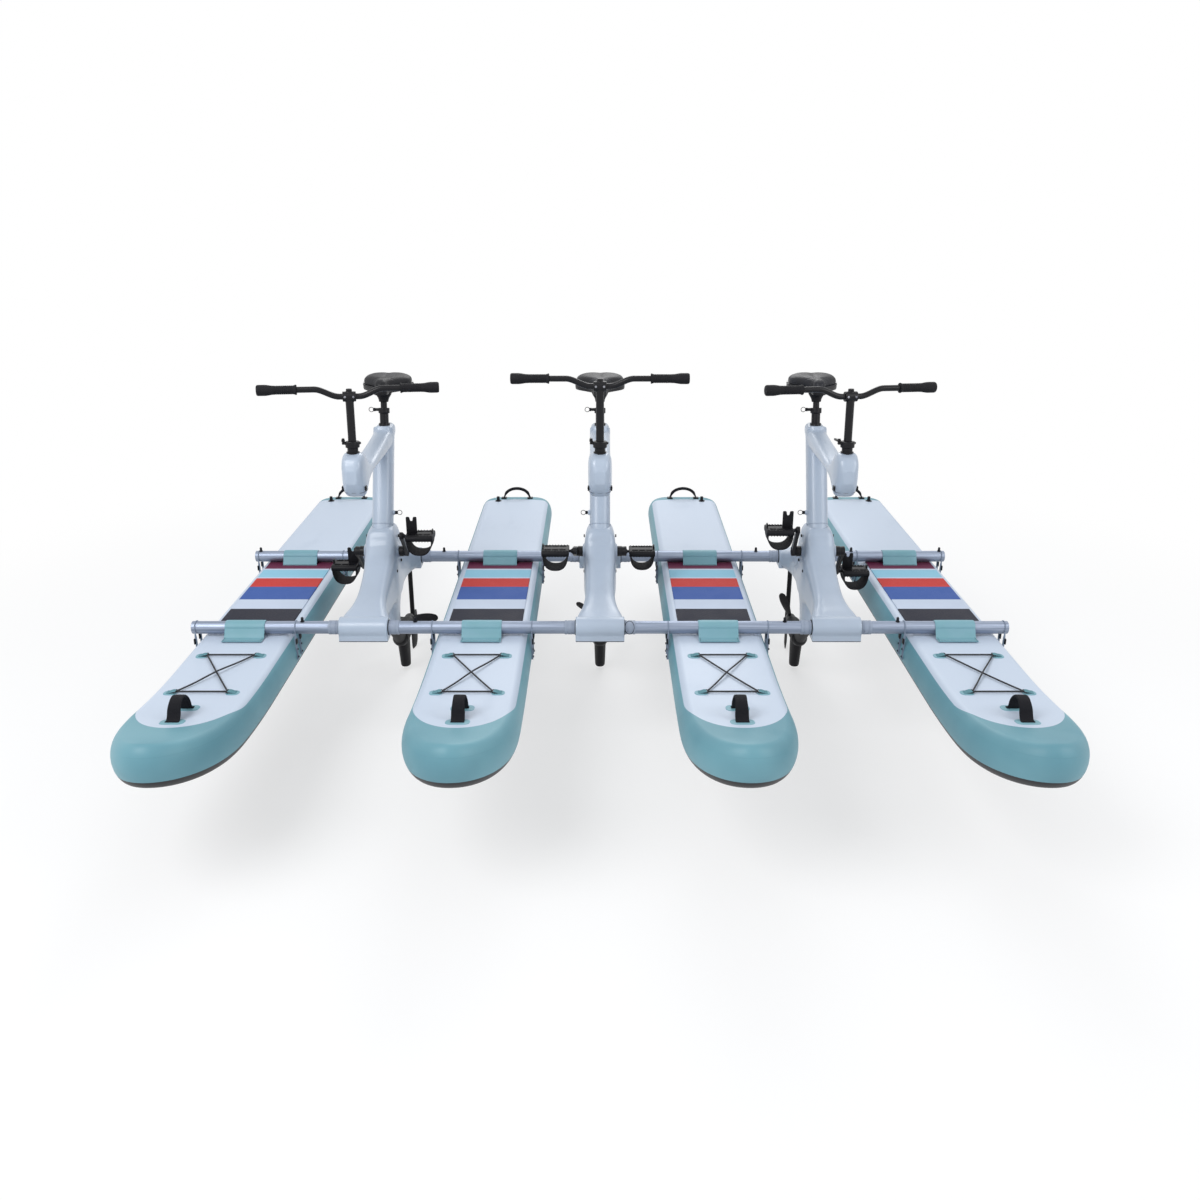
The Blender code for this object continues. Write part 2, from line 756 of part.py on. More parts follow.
def housing_body():
    rings = []
    for y, half, low, high in housing_stations():
        middle = (low + high) / 2
        rings.append([Vector((a, y, middle + b)) for a, b in oval(half, (high - low) / 2, MOULD_SIDES, 4.5)])
    return solid(loft(rings), "housing")


def sleeve(y):
    """A barrel round a cross tube, with the flat foot of the moulding under it."""
    half = SLEEVE_WIDTH / 2
    outline = arc((y, 0), SLEEVE_RADIUS, radians(-28), radians(208), 7)
    outline += [(y - SLEEVE_RADIUS + 0.002, -BASE_DEPTH), (y + SLEEVE_RADIUS - 0.002, -BASE_DEPTH)]
    return solid(extruded(outline, -half, half))


def leg():
    """The lower leg that carries the drive; its rear edge sweeps up into the rear arm."""
    half = LEG_WIDTH / 2
    keys = (
        (LEG_FRONT - 0.030, LEG_REAR + 0.150, -BASE_DEPTH + 0.020, half * 1.50),
        (LEG_FRONT - 0.020, LEG_REAR + 0.120, -BASE_DEPTH - 0.010, half * 1.40),
        (LEG_FRONT - 0.004, LEG_REAR + 0.044, -BASE_DEPTH - 0.062, half * 1.08),
        (LEG_FRONT + 0.010, LEG_REAR, -BASE_DEPTH - 0.138, half),
        (LEG_FRONT + 0.024, LEG_REAR + 0.003, LEG_BOTTOM, half * 0.94),
    )
    rings = []
    for front, rear, z, half_x in keys:
        middle = (front + rear) / 2
        rings.append([Vector((a, middle + b, z)) for a, b in oval(half_x, (rear - front) / 2, MOULD_SIDES, 2.6)])
    return solid(loft(rings))


def rudder_bracket():
    """A tongue behind the rear sleeve, ending in the rudder's bush."""
    top = RUDDER_BUSH_TOP
    bottom = top - RUDDER_BUSH_HEIGHT
    root = TUBE_SPACING + SLEEVE_RADIUS * 0.4
    tongue = [
        (root, top + 0.030), (RUDDER_Y, top - 0.006), (RUDDER_Y, bottom + 0.006), (root, bottom + 0.012),
    ]
    bracket = solid(extruded(tongue, -RUDDER_BUSH_RADIUS * 0.75, RUDDER_BUSH_RADIUS * 0.75))
    bush = cylinder((0, RUDDER_Y, bottom), (0, 0, 1), RUDDER_BUSH_HEIGHT, RUDDER_BUSH_RADIUS, ROUND_SIDES)
    return join(bracket, solid(bush))


def column_solid(clearance=0.0, start=0.0, length=None):
    """The oval column, from its foot inside the socket to its top, or the pocket that it fits."""
    foot = Vector((0, SOCKET_Y, SOCKET_TOP)) - COLUMN_DIRECTION * SOCKET_DEPTH
    full = (COLUMN_TOP - SOCKET_TOP) / COLUMN_DIRECTION.z + SOCKET_DEPTH
    reach = full if length is None else length
    side, up = frame_along(COLUMN_DIRECTION)
    half_width = COLUMN_WIDTH / 2 + clearance
    half_depth = COLUMN_DEPTH / 2 + clearance
    rings = []
    for distance in (start, reach):
        centre = foot + COLUMN_DIRECTION * distance
        rings.append([centre + side * a + up * b for a, b in oval(half_width, half_depth, MOULD_SIDES, 2.3)])
    return solid(loft(rings))


def build_housing():
    housing = housing_body()
    join(housing, sleeve(0), sleeve(TUBE_SPACING), leg(), rudder_bracket())
    boss_width = CRANKCASE_WIDTH + 2 * CRANK_BOSS_HEIGHT
    boss = cylinder((-boss_width / 2, CRANK_Y, CRANK_Z), (1, 0, 0), boss_width, CRANK_BOSS_RADIUS, ROUND_SIDES)
    join(housing, solid(boss))
    for y in (0, TUBE_SPACING):
        bore = cylinder((-SLEEVE_WIDTH, y, 0), (1, 0, 0), SLEEVE_WIDTH * 2, run_bore(TUBE_RADIUS), BORE_SIDES)
        cut(housing, solid(bore))
    axle_start = (-boss_width, CRANK_Y, CRANK_Z)
    axle = cylinder(axle_start, (1, 0, 0), boss_width * 2, run_bore(CRANK_AXLE_RADIUS), BORE_SIDES)
    stock_start = (0, RUDDER_Y, RUDDER_BUSH_TOP - RUDDER_BUSH_HEIGHT * 2)
    stock = cylinder(stock_start, (0, 0, 1), RUDDER_BUSH_HEIGHT * 3, run_bore(RUDDER_STOCK_RADIUS), BORE_SIDES)
    pocket = column_solid(SEAT_GAP, -SEAT_GAP, SOCKET_DEPTH * 3)
    return cut(housing, solid(axle), solid(stock), pocket)


# Frame


def frame_stations():
    """Keys along the head and the arm: place, half width, underside, top and squareness."""
    head = HEAD_WIDTH / 2
    arm = ARM_WIDTH / 2
    front = HEAD_Y - 0.066
    return (
        (front, head * 0.45, HEAD_BOTTOM + 0.062, HEAD_TOP - 0.058, HEAD_SQUARENESS),
        (front + 0.020, head * 0.84, HEAD_BOTTOM + 0.022, HEAD_TOP - 0.018, HEAD_SQUARENESS),
        (HEAD_Y, head, HEAD_BOTTOM, HEAD_TOP, HEAD_SQUARENESS),
        (HEAD_Y + 0.036, head, HEAD_BOTTOM + 0.001, HEAD_TOP - 0.010, HEAD_SQUARENESS),
        (HEAD_Y + 0.082, arm + 0.001, HEAD_BOTTOM + 0.008, HEAD_TOP - 0.048, ARM_SQUARENESS),
        (HEAD_Y + 0.145, arm, HEAD_BOTTOM + 0.019, HEAD_TOP - 0.074, ARM_SQUARENESS),
        (COLUMN_TOP_Y - 0.090, arm, COLUMN_TOP - 0.064, COLUMN_TOP - 0.002, ARM_SQUARENESS),
        (COLUMN_TOP_Y + 0.010, arm, COLUMN_TOP - 0.046, COLUMN_TOP + 0.014, ARM_SQUARENESS),
        (COLUMN_TOP_Y + 0.052, arm - 0.003, COLUMN_TOP - 0.038, COLUMN_TOP + 0.016, ARM_SQUARENESS),
        (COLUMN_TOP_Y + 0.064, arm - 0.012, COLUMN_TOP - 0.030, COLUMN_TOP + 0.010, ARM_SQUARENESS),
    )


def frame_beam():
    """The head and the arm, one lofted beam."""
    rings = []
    for y, half, low, high, squareness in frame_stations():
        middle = (low + high) / 2
        outline = oval(half, (high - low) / 2, MOULD_SIDES, squareness)
        rings.append([Vector((a, y, middle + b)) for a, b in outline])
    return solid(loft(rings), "frame")


def head_cover(grow=0.0):
    """The cover under the head and the front of the arm, or the notch that it fits."""
    low = HEAD_BOTTOM - COVER_DROP
    front = HEAD_Y + COVER_START - grow
    rear = HEAD_Y + COVER_END + grow
    step = rear - 0.030 - 2 * grow
    outline = [
        (front, HEAD_BOTTOM + 0.015 + grow), (front, low + 0.006 - grow), (front + 0.012, low - grow),
        (rear - 0.008, low + 0.004 - grow), (rear, low + 0.012), (rear, HEAD_BOTTOM + 0.046 + grow),
        (step, HEAD_BOTTOM + 0.046 + grow), (step, HEAD_BOTTOM + 0.015 + grow),
    ]
    half = HEAD_WIDTH / 2 + 0.001 + 10 * grow
    return solid(extruded(outline, -half, half), "head_cover")


def column_point(z):
    """The column's axis at a height."""
    return Vector((0, SOCKET_Y, SOCKET_TOP)) + COLUMN_DIRECTION * ((z - SOCKET_TOP) / COLUMN_DIRECTION.z)


def seat_point(z):
    return Vector((0, SEAT_Y, SEAT_BASE)) + SEAT_DIRECTION * ((z - SEAT_BASE) / SEAT_DIRECTION.z)


def stem_point(z):
    return Vector((0, HEAD_Y, HEAD_TOP)) + STEM_DIRECTION * ((z - HEAD_TOP) / STEM_DIRECTION.z)


def build_frame(pin_side):
    """Column, arm and head in one moulding, bored for the stem and the seat post."""
    frame = frame_beam()
    join(frame, column_solid())
    pin = column_point(COLUMN_PIN_HEIGHT)
    outside = COLUMN_WIDTH / 2 + PIN_BOSS_LENGTH
    boss = cylinder(pin, (pin_side, 0, 0), outside, PIN_BOSS_RADIUS, SMALL_SIDES)
    join(frame, solid(boss))
    hole_start = pin + Vector((pin_side * COLUMN_WIDTH * 0.2, 0, 0))
    hole = cylinder(hole_start, (pin_side, 0, 0), COLUMN_WIDTH, PIN_RADIUS + RUN_GAP, 6)
    steerer_foot = stem_point(STEERER_BOTTOM - RUN_GAP)
    steerer = cylinder(steerer_foot, STEM_DIRECTION, 0.3, run_bore(STEERER_RADIUS), BORE_SIDES)
    sleeve_foot = seat_point(SEAT_SLEEVE_BOTTOM - SEAT_GAP)
    sleeve_bore = cylinder(sleeve_foot, SEAT_DIRECTION, 0.3, SEAT_SLEEVE_RADIUS + SEAT_GAP, ROUND_SIDES)
    post_foot = seat_point(SEAT_BORE_BOTTOM)
    post_bore = cylinder(post_foot, SEAT_DIRECTION, 0.3, SEAT_POST_RADIUS + RUN_GAP, ROUND_SIDES)
    return cut(frame, head_cover(SEAT_GAP), solid(hole), solid(steerer), solid(sleeve_bore), solid(post_bore))


# Pull pins


def build_pull_pin(start, side, depth):
    """A spring pin along X with its knob and pull ring; start is on the outer face of its boss."""
    start = Vector(start)
    way = Vector((side, 0, 0))
    inner = start - way * depth
    stations = (
        (0, PIN_RADIUS), (depth + RUN_GAP, PIN_RADIUS), (depth + RUN_GAP, PIN_KNOB_RADIUS),
        (depth + RUN_GAP + PIN_KNOB_LENGTH, PIN_KNOB_RADIUS * 0.8),
    )
    pin = solid(round_bar(inner, way, stations, 6))
    centre = start + way * (PIN_KNOB_LENGTH + PIN_RING_RADIUS - PIN_RING_WIRE)
    path = []
    for i in range(7):
        angle = 2 * pi * i / 7
        path.append(centre + Vector((cos(angle) * PIN_RING_RADIUS, 0, sin(angle) * PIN_RING_RADIUS)))
    ring = swept(path, [PIN_RING_WIRE] * 7, 3, closed=True)
    return join(pin, solid(ring))


# Steering


def lever_stud():
    """The stud's foot on the collar: rider's side, a little off the middle."""
    return stem_point(STEM_COLLAR_TOP - STEM_COLLAR_HEIGHT * 0.5) + Vector((-LEVER_STUD_REACH, 0, 0))


def build_stem_sleeve():
    """The steerer that turns in the head; its collar clamps the stem and carries the lever's stud."""
    total = (STEM_COLLAR_TOP - STEERER_BOTTOM) / STEM_DIRECTION.z
    top = total - STEM_COLLAR_HEIGHT
    stations = ((0, STEERER_RADIUS), (top, STEERER_RADIUS), (top, STEM_COLLAR_RADIUS), (total, STEM_COLLAR_RADIUS))
    body = solid(round_bar(stem_point(STEERER_BOTTOM), STEM_DIRECTION, stations, ROUND_SIDES))
    middle = stem_point(STEM_COLLAR_TOP - STEM_COLLAR_HEIGHT / 2)
    arm = box(
        middle + Vector((-LEVER_STUD_REACH - 0.006, -0.007, -0.005)),
        middle + Vector((STEM_COLLAR_RADIUS + 0.005, 0.007, 0.005)),
    )
    r = LEVER_STUD_RADIUS
    head = 0.005 + LEVER_HEIGHT + 2 * RUN_GAP
    stations = ((0, r), (head, r), (head, r * 1.8), (head + 0.002, r * 1.8))
    stud = round_bar(lever_stud(), STEM_DIRECTION, stations, 6)
    join(body, solid(arm), solid(stud))
    bore = cylinder(stem_point(STEERER_BOTTOM + 0.006), STEM_DIRECTION, total, STEM_RADIUS + RUN_GAP, ROUND_SIDES)
    return cut(body, solid(bore))


def build_stem_lever():
    """The clamp lever, an arm with an eye on its stud, lying back along the stem's side."""
    r = LEVER_WIDTH / 2
    low = 0.005 + RUN_GAP
    tip = LEVER_LENGTH
    outline = arc((0, 0), r * 1.25, pi / 2, pi * 1.5, 4)
    outline += [(tip * 0.35, -r * 0.75), (tip, -r * 0.35)]
    outline += arc((tip, r * 0.35), r * 0.7, -pi / 2, pi / 2, 2)
    outline += [(tip * 0.5, r * 1.1)]
    rings = [[Vector((-x_out, y, z)) for y, x_out in outline] for z in (0.0, LEVER_HEIGHT)]
    lever = solid(loft(rings), "stem_lever")
    bore = cylinder((0, 0, -LEVER_HEIGHT), (0, 0, 1), LEVER_HEIGHT * 3, run_bore(LEVER_STUD_RADIUS, SMALL_SIDES), SMALL_SIDES)
    cut(lever, solid(bore))
    lean = Vector((0, 0, 1)).rotation_difference(STEM_DIRECTION).to_matrix().to_4x4()
    lever.data.transform(Matrix.Translation(lever_stud() + STEM_DIRECTION * low) @ lean)
    return lever


def build_stem_post():
    """The sliding stem, with the clamp that holds the bar at its top."""
    length = (BAR_HEIGHT - STEM_BOTTOM) / STEM_DIRECTION.z
    post = solid(round_bar(stem_point(STEM_BOTTOM), STEM_DIRECTION, ((0, STEM_RADIUS), (length, STEM_RADIUS)), ROUND_SIDES))
    centre = stem_point(BAR_HEIGHT)
    clamp = cylinder(centre - Vector((CLAMP_WIDTH / 2, 0, 0)), (1, 0, 0), CLAMP_WIDTH, CLAMP_RADIUS, ROUND_SIDES)
    cap = cylinder(centre - STEM_DIRECTION * 0.004, STEM_DIRECTION, CLAMP_RADIUS + 0.014, 0.011, SMALL_SIDES)
    join(post, solid(clamp), solid(cap))
    bore = cylinder(centre - Vector((CLAMP_WIDTH, 0, 0)), (1, 0, 0), CLAMP_WIDTH * 2, BAR_RADIUS + SEAT_GAP, 8)
    return cut(post, solid(bore))


def bar_height_at(x):
    """How far the bar has risen at a distance from its middle."""
    if x <= BAR_FLAT:
        return 0.0
    t = min((x - BAR_FLAT) / (BAR_BEND_END - BAR_FLAT), 1.0)
    return BAR_RISE * t * t * (3 - 2 * t)


def build_handlebar():
    """One bent bar with a moulded grip on each end."""
    centre = stem_point(BAR_HEIGHT)
    half = BAR_WIDTH / 2
    inner = half - GRIP_LENGTH
    bends = [BAR_FLAT + (BAR_BEND_END - BAR_FLAT) * i / 3 for i in range(4)]
    side = [(x, BAR_RADIUS) for x in bends]
    side += [
        (inner, BAR_RADIUS), (inner + 0.0005, GRIP_RADIUS), (inner + GRIP_LENGTH * 0.55, GRIP_RADIUS),
        (half - 0.030, GRIP_PALM_RADIUS), (half, GRIP_PALM_RADIUS * 0.92),
    ]
    stations = [(-x, r) for x, r in reversed(side)] + side
    path = [centre + Vector((x, 0, bar_height_at(abs(x)))) for x, _ in stations]
    return solid(swept(path, [r for _, r in stations], 8), "handlebar")


# Seat


def build_seat_collar(side):
    """The sleeve and collar at the top of the frame that guide the seat post."""
    total = (SEAT_SLEEVE_TOP - SEAT_SLEEVE_BOTTOM) / SEAT_DIRECTION.z
    top = total - SEAT_COLLAR_HEIGHT
    stations = (
        (0, SEAT_SLEEVE_RADIUS), (top, SEAT_SLEEVE_RADIUS), (top, SEAT_COLLAR_RADIUS), (total, SEAT_COLLAR_RADIUS),
    )
    body = solid(round_bar(seat_point(SEAT_SLEEVE_BOTTOM), SEAT_DIRECTION, stations, ROUND_SIDES))
    middle = seat_point(SEAT_SLEEVE_TOP - SEAT_COLLAR_HEIGHT / 2)
    reach = SEAT_COLLAR_RADIUS + PIN_BOSS_LENGTH
    boss = cylinder(middle, (side, 0, 0), reach, SEAT_COLLAR_HEIGHT / 2 - 0.0005, SMALL_SIDES)
    join(body, solid(boss))
    bore = cylinder(seat_point(SEAT_BORE_BOTTOM), SEAT_DIRECTION, 0.3, SEAT_POST_RADIUS + RUN_GAP, ROUND_SIDES)
    hole = cylinder(middle, (side, 0, 0), reach * 1.5, PIN_RADIUS + RUN_GAP, 6)
    return cut(body, solid(bore), solid(hole))


def build_seat_post():
    length = (SADDLE_BASE - SEAT_POST_BOTTOM) / SEAT_DIRECTION.z - 0.012
    stations = ((0, SEAT_POST_RADIUS), (length, SEAT_POST_RADIUS))
    return solid(round_bar(seat_point(SEAT_POST_BOTTOM), SEAT_DIRECTION, stations, ROUND_SIDES), "seat_post")


def saddle_half_width(share):
    """Half the saddle's width from its nose, 0, to its back, 1."""
    t = min(max((share - 0.22) / 0.50, 0), 1)
    swell = t * t * (3 - 2 * t)
    half = SADDLE_NOSE_WIDTH / 2 + (SADDLE_WIDTH - SADDLE_NOSE_WIDTH) / 2 * swell
    nose = sqrt(max(1 - (1 - share / 0.10) ** 2, 0.12)) if share < 0.10 else 1.0
    back = sqrt(max(1 - ((share - 0.80) / 0.20) ** 2, 0.10)) if share > 0.80 else 1.0
    return half * nose * back


def saddle_ring(share):
    """One cross section of the cushion: a crown, drawn-in sides and a flat underside."""
    half = saddle_half_width(share)
    dip = 0.006 * sin(pi * share)
    edge = min((1 - share) / 0.16, share / 0.10, 1.0)
    height = (SADDLE_TOP - SADDLE_BASE) * (0.72 + 0.28 * sqrt(max(edge, 0.0)))
    base = SADDLE_BASE + 0.012 * (1 - share)
    top = base + height - dip - 0.010 * (1 - share)
    y = SADDLE_NOSE_Y + SADDLE_LENGTH * share
    profile = ((0.82, 0.0), (0.96, 0.16), (1.0, 0.52), (0.94, 0.80), (0.64, 0.96), (0.24, 1.0))
    right = [Vector((half * w, y, base + (top - base) * h)) for w, h in profile]
    left = [Vector((-p.x, p.y, p.z)) for p in reversed(right)]
    return right + left


def build_saddle():
    """The cushion, with the clamp cone that takes the seat post under it."""
    shares = (0.0, 0.03, 0.10, 0.24, 0.38, 0.50, 0.62, 0.74, 0.84, 0.93, 1.0)
    saddle = solid(loft([saddle_ring(share) for share in shares]), "saddle")
    foot = seat_point(SADDLE_BASE - 0.030)
    stations = ((0, 0.021), (0.010, 0.024), (0.030, 0.045), (0.045, 0.050))
    join(saddle, solid(round_bar(foot, SEAT_DIRECTION, stations, ROUND_SIDES)))
    reach = (SADDLE_BASE - SEAT_POST_BOTTOM) / SEAT_DIRECTION.z - 0.012 + SEAT_GAP
    socket = cylinder(seat_point(SEAT_POST_BOTTOM), SEAT_DIRECTION, reach, SEAT_POST_RADIUS + SEAT_GAP, ROUND_SIDES)
    return cut(saddle, solid(socket))


# Cranks and pedals


def crank_arm(side):
    """One arm, from its hub on the axle to its pedal pin; the arm on +X points along +Y."""
    start = side * CRANK_HUB_START
    hub = solid(cylinder((start, 0, 0), (side, 0, 0), CRANK_HUB_LENGTH, CRANK_HUB_RADIUS, ROUND_SIDES))
    x0 = start + side * (CRANK_HUB_LENGTH - CRANK_ARM_THICKNESS)
    x1 = start + side * CRANK_HUB_LENGTH
    end_radius = CRANK_HUB_RADIUS * 0.72
    reach = side * CRANK_LENGTH
    turn = 0.0 if side > 0 else pi
    outline = arc((0, 0), CRANK_HUB_RADIUS * 0.9, turn + pi / 2, turn + pi * 1.5, 4)
    outline += arc((reach, 0), end_radius, turn - pi / 2, turn + pi / 2, 4)
    arm = solid(extruded(outline, x0, x1 + side * 0.001))
    pin_length = side * (PEDAL_GAP + PEDAL_PIN_LENGTH)
    pin = cylinder((x1 - side * 0.002, reach, 0), (side, 0, 0), abs(pin_length) + 0.002, PEDAL_PIN_RADIUS, SMALL_SIDES)
    return join(hub, arm, solid(pin))


def build_crankset():
    """Axle, two arms and two pedal pins, about the axle's middle."""
    reach = CRANK_HUB_START + CRANK_HUB_LENGTH / 2
    axle = solid(cylinder((-reach, 0, 0), (1, 0, 0), 2 * reach, CRANK_AXLE_RADIUS, ROUND_SIDES), "crankset")
    return join(axle, crank_arm(1), crank_arm(-1))


def strap_band():
    """The toe strap hanging under a pedal, a band in the X-Z plane."""
    half = PEDAL_WIDTH / 2 - 0.003
    angles = [-pi * i / 6 for i in range(7)]
    outer = [(half * cos(a), PEDAL_STRAP_DROP * sin(a)) for a in angles]
    inner_half = half - PEDAL_STRAP_THICKNESS
    inner_drop = PEDAL_STRAP_DROP - PEDAL_STRAP_THICKNESS
    inner = [(inner_half * cos(a), inner_drop * sin(a)) for a in reversed(angles)]
    outline = outer + inner
    bm = bmesh.new()
    rows = [
        [bm.verts.new((x, y, z)) for x, z in outline] for y in (-PEDAL_STRAP_WIDTH / 2, PEDAL_STRAP_WIDTH / 2)
    ]
    total = len(outline)
    for i in range(total):
        j = (i + 1) % total
        bm.faces.new((rows[0][i], rows[0][j], rows[1][j], rows[1][i]))
    for row in rows:
        for i in range(total // 2 - 1):
            bm.faces.new((row[i], row[i + 1], row[total - 2 - i], row[total - 1 - i]))
    return solid(bm)


def strap_tail(side):
    """The forked free end of the strap, standing at the pedal's inner end."""
    inner = -side * (PEDAL_WIDTH / 2 - 0.001)
    way = side
    root = PEDAL_TAIL_WIDTH * 0.95
    tip = PEDAL_TAIL_HEIGHT
    notch = tip * 0.80
    outline = [
        (0.0, 0.0), (root, 0.0), (root, tip), (root * 0.68, tip), (root * 0.5, notch), (root * 0.32, tip), (0.0, tip),
    ]
    rings = [[Vector((inner + way * x, y, z)) for x, z in outline] for y in (-0.0025, 0.0025)]
    return solid(loft(rings))


def build_pedal(side, with_tail):
    """Pedal body with its toe strap, centred on its own pin's axis; side is the bike's side it is on."""
    half = Vector((PEDAL_WIDTH, PEDAL_DEPTH, PEDAL_HEIGHT)) / 2
    outline = arc((half.y - 0.012, 0), half.z, -pi / 2, pi / 2, 3)
    outline += arc((0.012 - half.y, 0), half.z, pi / 2, pi * 1.5, 3)
    body = solid(extruded(outline, -half.x, half.x), "pedal")
    for way in (-1, 1):
        near = way * (PEDAL_BARREL_RADIUS + 0.004)
        far = way * (half.y - 0.014)
        low, high = min(near, far), max(near, far)
        cut(body, solid(box((0.012 - half.x, low, -0.03), (half.x - 0.012, high, 0.03))))
    barrel = cylinder((0.001 - half.x, 0, 0), (1, 0, 0), PEDAL_WIDTH - 0.002, PEDAL_BARREL_RADIUS, 8)
    lug_x = side * (half.x - 0.005)
    lug = box((lug_x - 0.003, -0.009, 0.0), (lug_x + 0.003, 0.009, PEDAL_LUG_HEIGHT))
    join(body, solid(barrel), strap_band(), solid(lug))
    if with_tail:
        join(body, strap_tail(side))
    inner = -side * half.x
    bore_start = Vector((inner - side * 0.01, 0, 0))
    bore_length = PEDAL_PIN_LENGTH + 0.01 + RUN_GAP
    bore = cylinder(bore_start, (side, 0, 0), bore_length, run_bore(PEDAL_PIN_RADIUS, SMALL_SIDES), SMALL_SIDES)
    return cut(body, solid(bore))


# Underwater drive


def build_drive_leg():
    """Strut, gear pod and skeg fin in one casting."""
    pod_length = POD_REAR_Y - POD_FRONT_Y
    stations = [
        (0.0, POD_RADIUS * 0.30), (0.016, POD_RADIUS * 0.70), (0.055, POD_RADIUS),
        (pod_length - 0.070, POD_RADIUS), (pod_length, PROPELLER_HUB_RADIUS),
    ]
    pod = solid(round_bar((0, POD_FRONT_Y, POD_Z), (0, 1, 0), stations, ROUND_SIDES), "drive_leg")
    half_x = LEG_WIDTH / 2 * 0.94
    half_y = (LEG_REAR - LEG_FRONT - 0.021) / 2
    leg_y = (LEG_REAR + LEG_FRONT + 0.027) / 2
    strut_keys = (
        (leg_y, LEG_BOTTOM - SEAT_GAP, half_x, half_y),
        (leg_y + 0.075, (LEG_BOTTOM + POD_Z) / 2, half_x * 0.92, half_y * 1.05),
        (FIN_Y - 0.060, POD_Z, half_x * 0.9, half_y * 1.3),
    )
    strut = [[Vector((a, y + b, z)) for a, b in oval(hx, hy, ROUND_SIDES, 2.6)] for y, z, hx, hy in strut_keys]
    fin_keys = (
        (FIN_Y - 0.020, POD_Z, FIN_TOP_WIDTH / 2, FIN_TOP_LENGTH / 2),
        (FIN_Y - 0.008, (POD_Z + FIN_BOTTOM) / 2, (FIN_TOP_WIDTH + FIN_TIP_WIDTH) / 4, FIN_TOP_LENGTH * 0.38),
        (FIN_Y, FIN_BOTTOM, FIN_TIP_WIDTH / 2, FIN_TIP_LENGTH / 2),
    )
    fin = [[Vector((a, y + b, z)) for a, b in oval(hx, hy, 8, 2.2)] for y, z, hx, hy in fin_keys]
    join(pod, solid(loft(strut)), solid(loft(fin)))
    shaft_bore = cylinder(
        (0, POD_REAR_Y - SHAFT_DEPTH - RUN_GAP, POD_Z), (0, 1, 0), SHAFT_DEPTH * 2, run_bore(SHAFT_RADIUS, SMALL_SIDES),
        SMALL_SIDES,
    )
    return cut(pod, solid(shaft_bore))


def blade(turn):
    """One twisted blade that starts inside the hub."""
    rings = []
    centre_y = PROPELLER_HUB_LENGTH / 2
    for i in range(5):
        share = i / 4
        radius = PROPELLER_HUB_RADIUS * 0.6 + (PROPELLER_RADIUS - PROPELLER_HUB_RADIUS * 0.6) * share
        pitch = BLADE_ROOT_PITCH + (BLADE_TIP_PITCH - BLADE_ROOT_PITCH) * share
        chord = BLADE_CHORD * (0.62 + 0.9 * share - 1.05 * share**3)
        thick = BLADE_THICKNESS * (1.2 - 0.7 * share)
        ring = []
        for a, b in oval(chord / 2, thick / 2, 6, 1.8):
            across = a * cos(pitch) - b * sin(pitch)
            along = a * sin(pitch) + b * cos(pitch)
            spot = Vector((radius, along + centre_y, across))
            ring.append(Matrix.Rotation(turn, 3, "Y") @ spot)
        rings.append(ring)
    return solid(loft(rings))


def build_propeller():
    """Two blades on a hub, about the shaft's end; the shaft runs along Y."""
    r = PROPELLER_HUB_RADIUS
    stations = (
        (0, r), (PROPELLER_HUB_LENGTH * 0.55, r * 0.95), (PROPELLER_HUB_LENGTH * 0.85, r * 0.65),
        (PROPELLER_HUB_LENGTH, r * 0.25),
    )
    hub = solid(round_bar((0, 0, 0), (0, 1, 0), stations, ROUND_SIDES), "propeller")
    shaft = cylinder((0, -SHAFT_DEPTH, 0), (0, 1, 0), SHAFT_DEPTH + 0.01, SHAFT_RADIUS, SMALL_SIDES)
    return join(hub, solid(shaft), blade(0), blade(pi))


def build_rudder():
    """Stock, its top nut and the blade."""
    top = RUDDER_BUSH_TOP + RUN_GAP
    stock_start = (0, RUDDER_Y, RUDDER_BLADE_TOP - 0.07)
    stock_length = top + RUDDER_HEAD_HEIGHT / 2 - (RUDDER_BLADE_TOP - 0.07)
    stock = solid(cylinder(stock_start, (0, 0, 1), stock_length, RUDDER_STOCK_RADIUS, ROUND_SIDES), "rudder")
    head = cylinder((0, RUDDER_Y, top), (0, 0, 1), RUDDER_HEAD_HEIGHT, RUDDER_HEAD_RADIUS, SMALL_SIDES)
    collar_top = RUDDER_BUSH_TOP - RUDDER_BUSH_HEIGHT - RUN_GAP
    collar = cylinder((0, RUDDER_Y, collar_top - 0.012), (0, 0, 1), 0.012, RUDDER_HEAD_RADIUS, SMALL_SIDES)
    middle = RUDDER_Y + (RUDDER_BLADE_REAR - RUDDER_BLADE_FRONT) / 2
    half = (RUDDER_BLADE_REAR + RUDDER_BLADE_FRONT) / 2
    keys = (
        (middle, RUDDER_BLADE_TOP, half * 0.85), (middle, RUDDER_BLADE_TOP - 0.02, half),
        (middle - 0.006, RUDDER_BLADE_BOTTOM + 0.03, half * 0.84), (middle - 0.010, RUDDER_BLADE_BOTTOM, half * 0.62),
    )
    rings = [
        [Vector((a, y + b, z)) for a, b in oval(RUDDER_BLADE_THICKNESS / 2, reach, 8, 1.7)] for y, z, reach in keys
    ]
    return join(stock, solid(head), solid(collar), solid(loft(rings)))


# Assembly


def bike_empty(number, place):
    empty = bpy.data.objects.new(f"bike_{number}", None)
    bpy.context.collection.objects.link(empty)
    empty.location = (place * BIKE_PITCH, FRONT_TUBE_Y, TUBE_Z)
    return empty


def turned(axis, angle):
    """The Euler turn by an angle about any axis."""
    return Matrix.Rotation(angle, 3, axis).to_euler()


def pedal_place(turn, side):
    """Where a pedal's pin stands when the crank is turned."""
    reach = side * CRANK_LENGTH
    centre = side * (PEDAL_START + PEDAL_WIDTH / 2)
    return Vector((centre, CRANK_Y + reach * cos(turn), CRANK_Z + reach * sin(turn)))


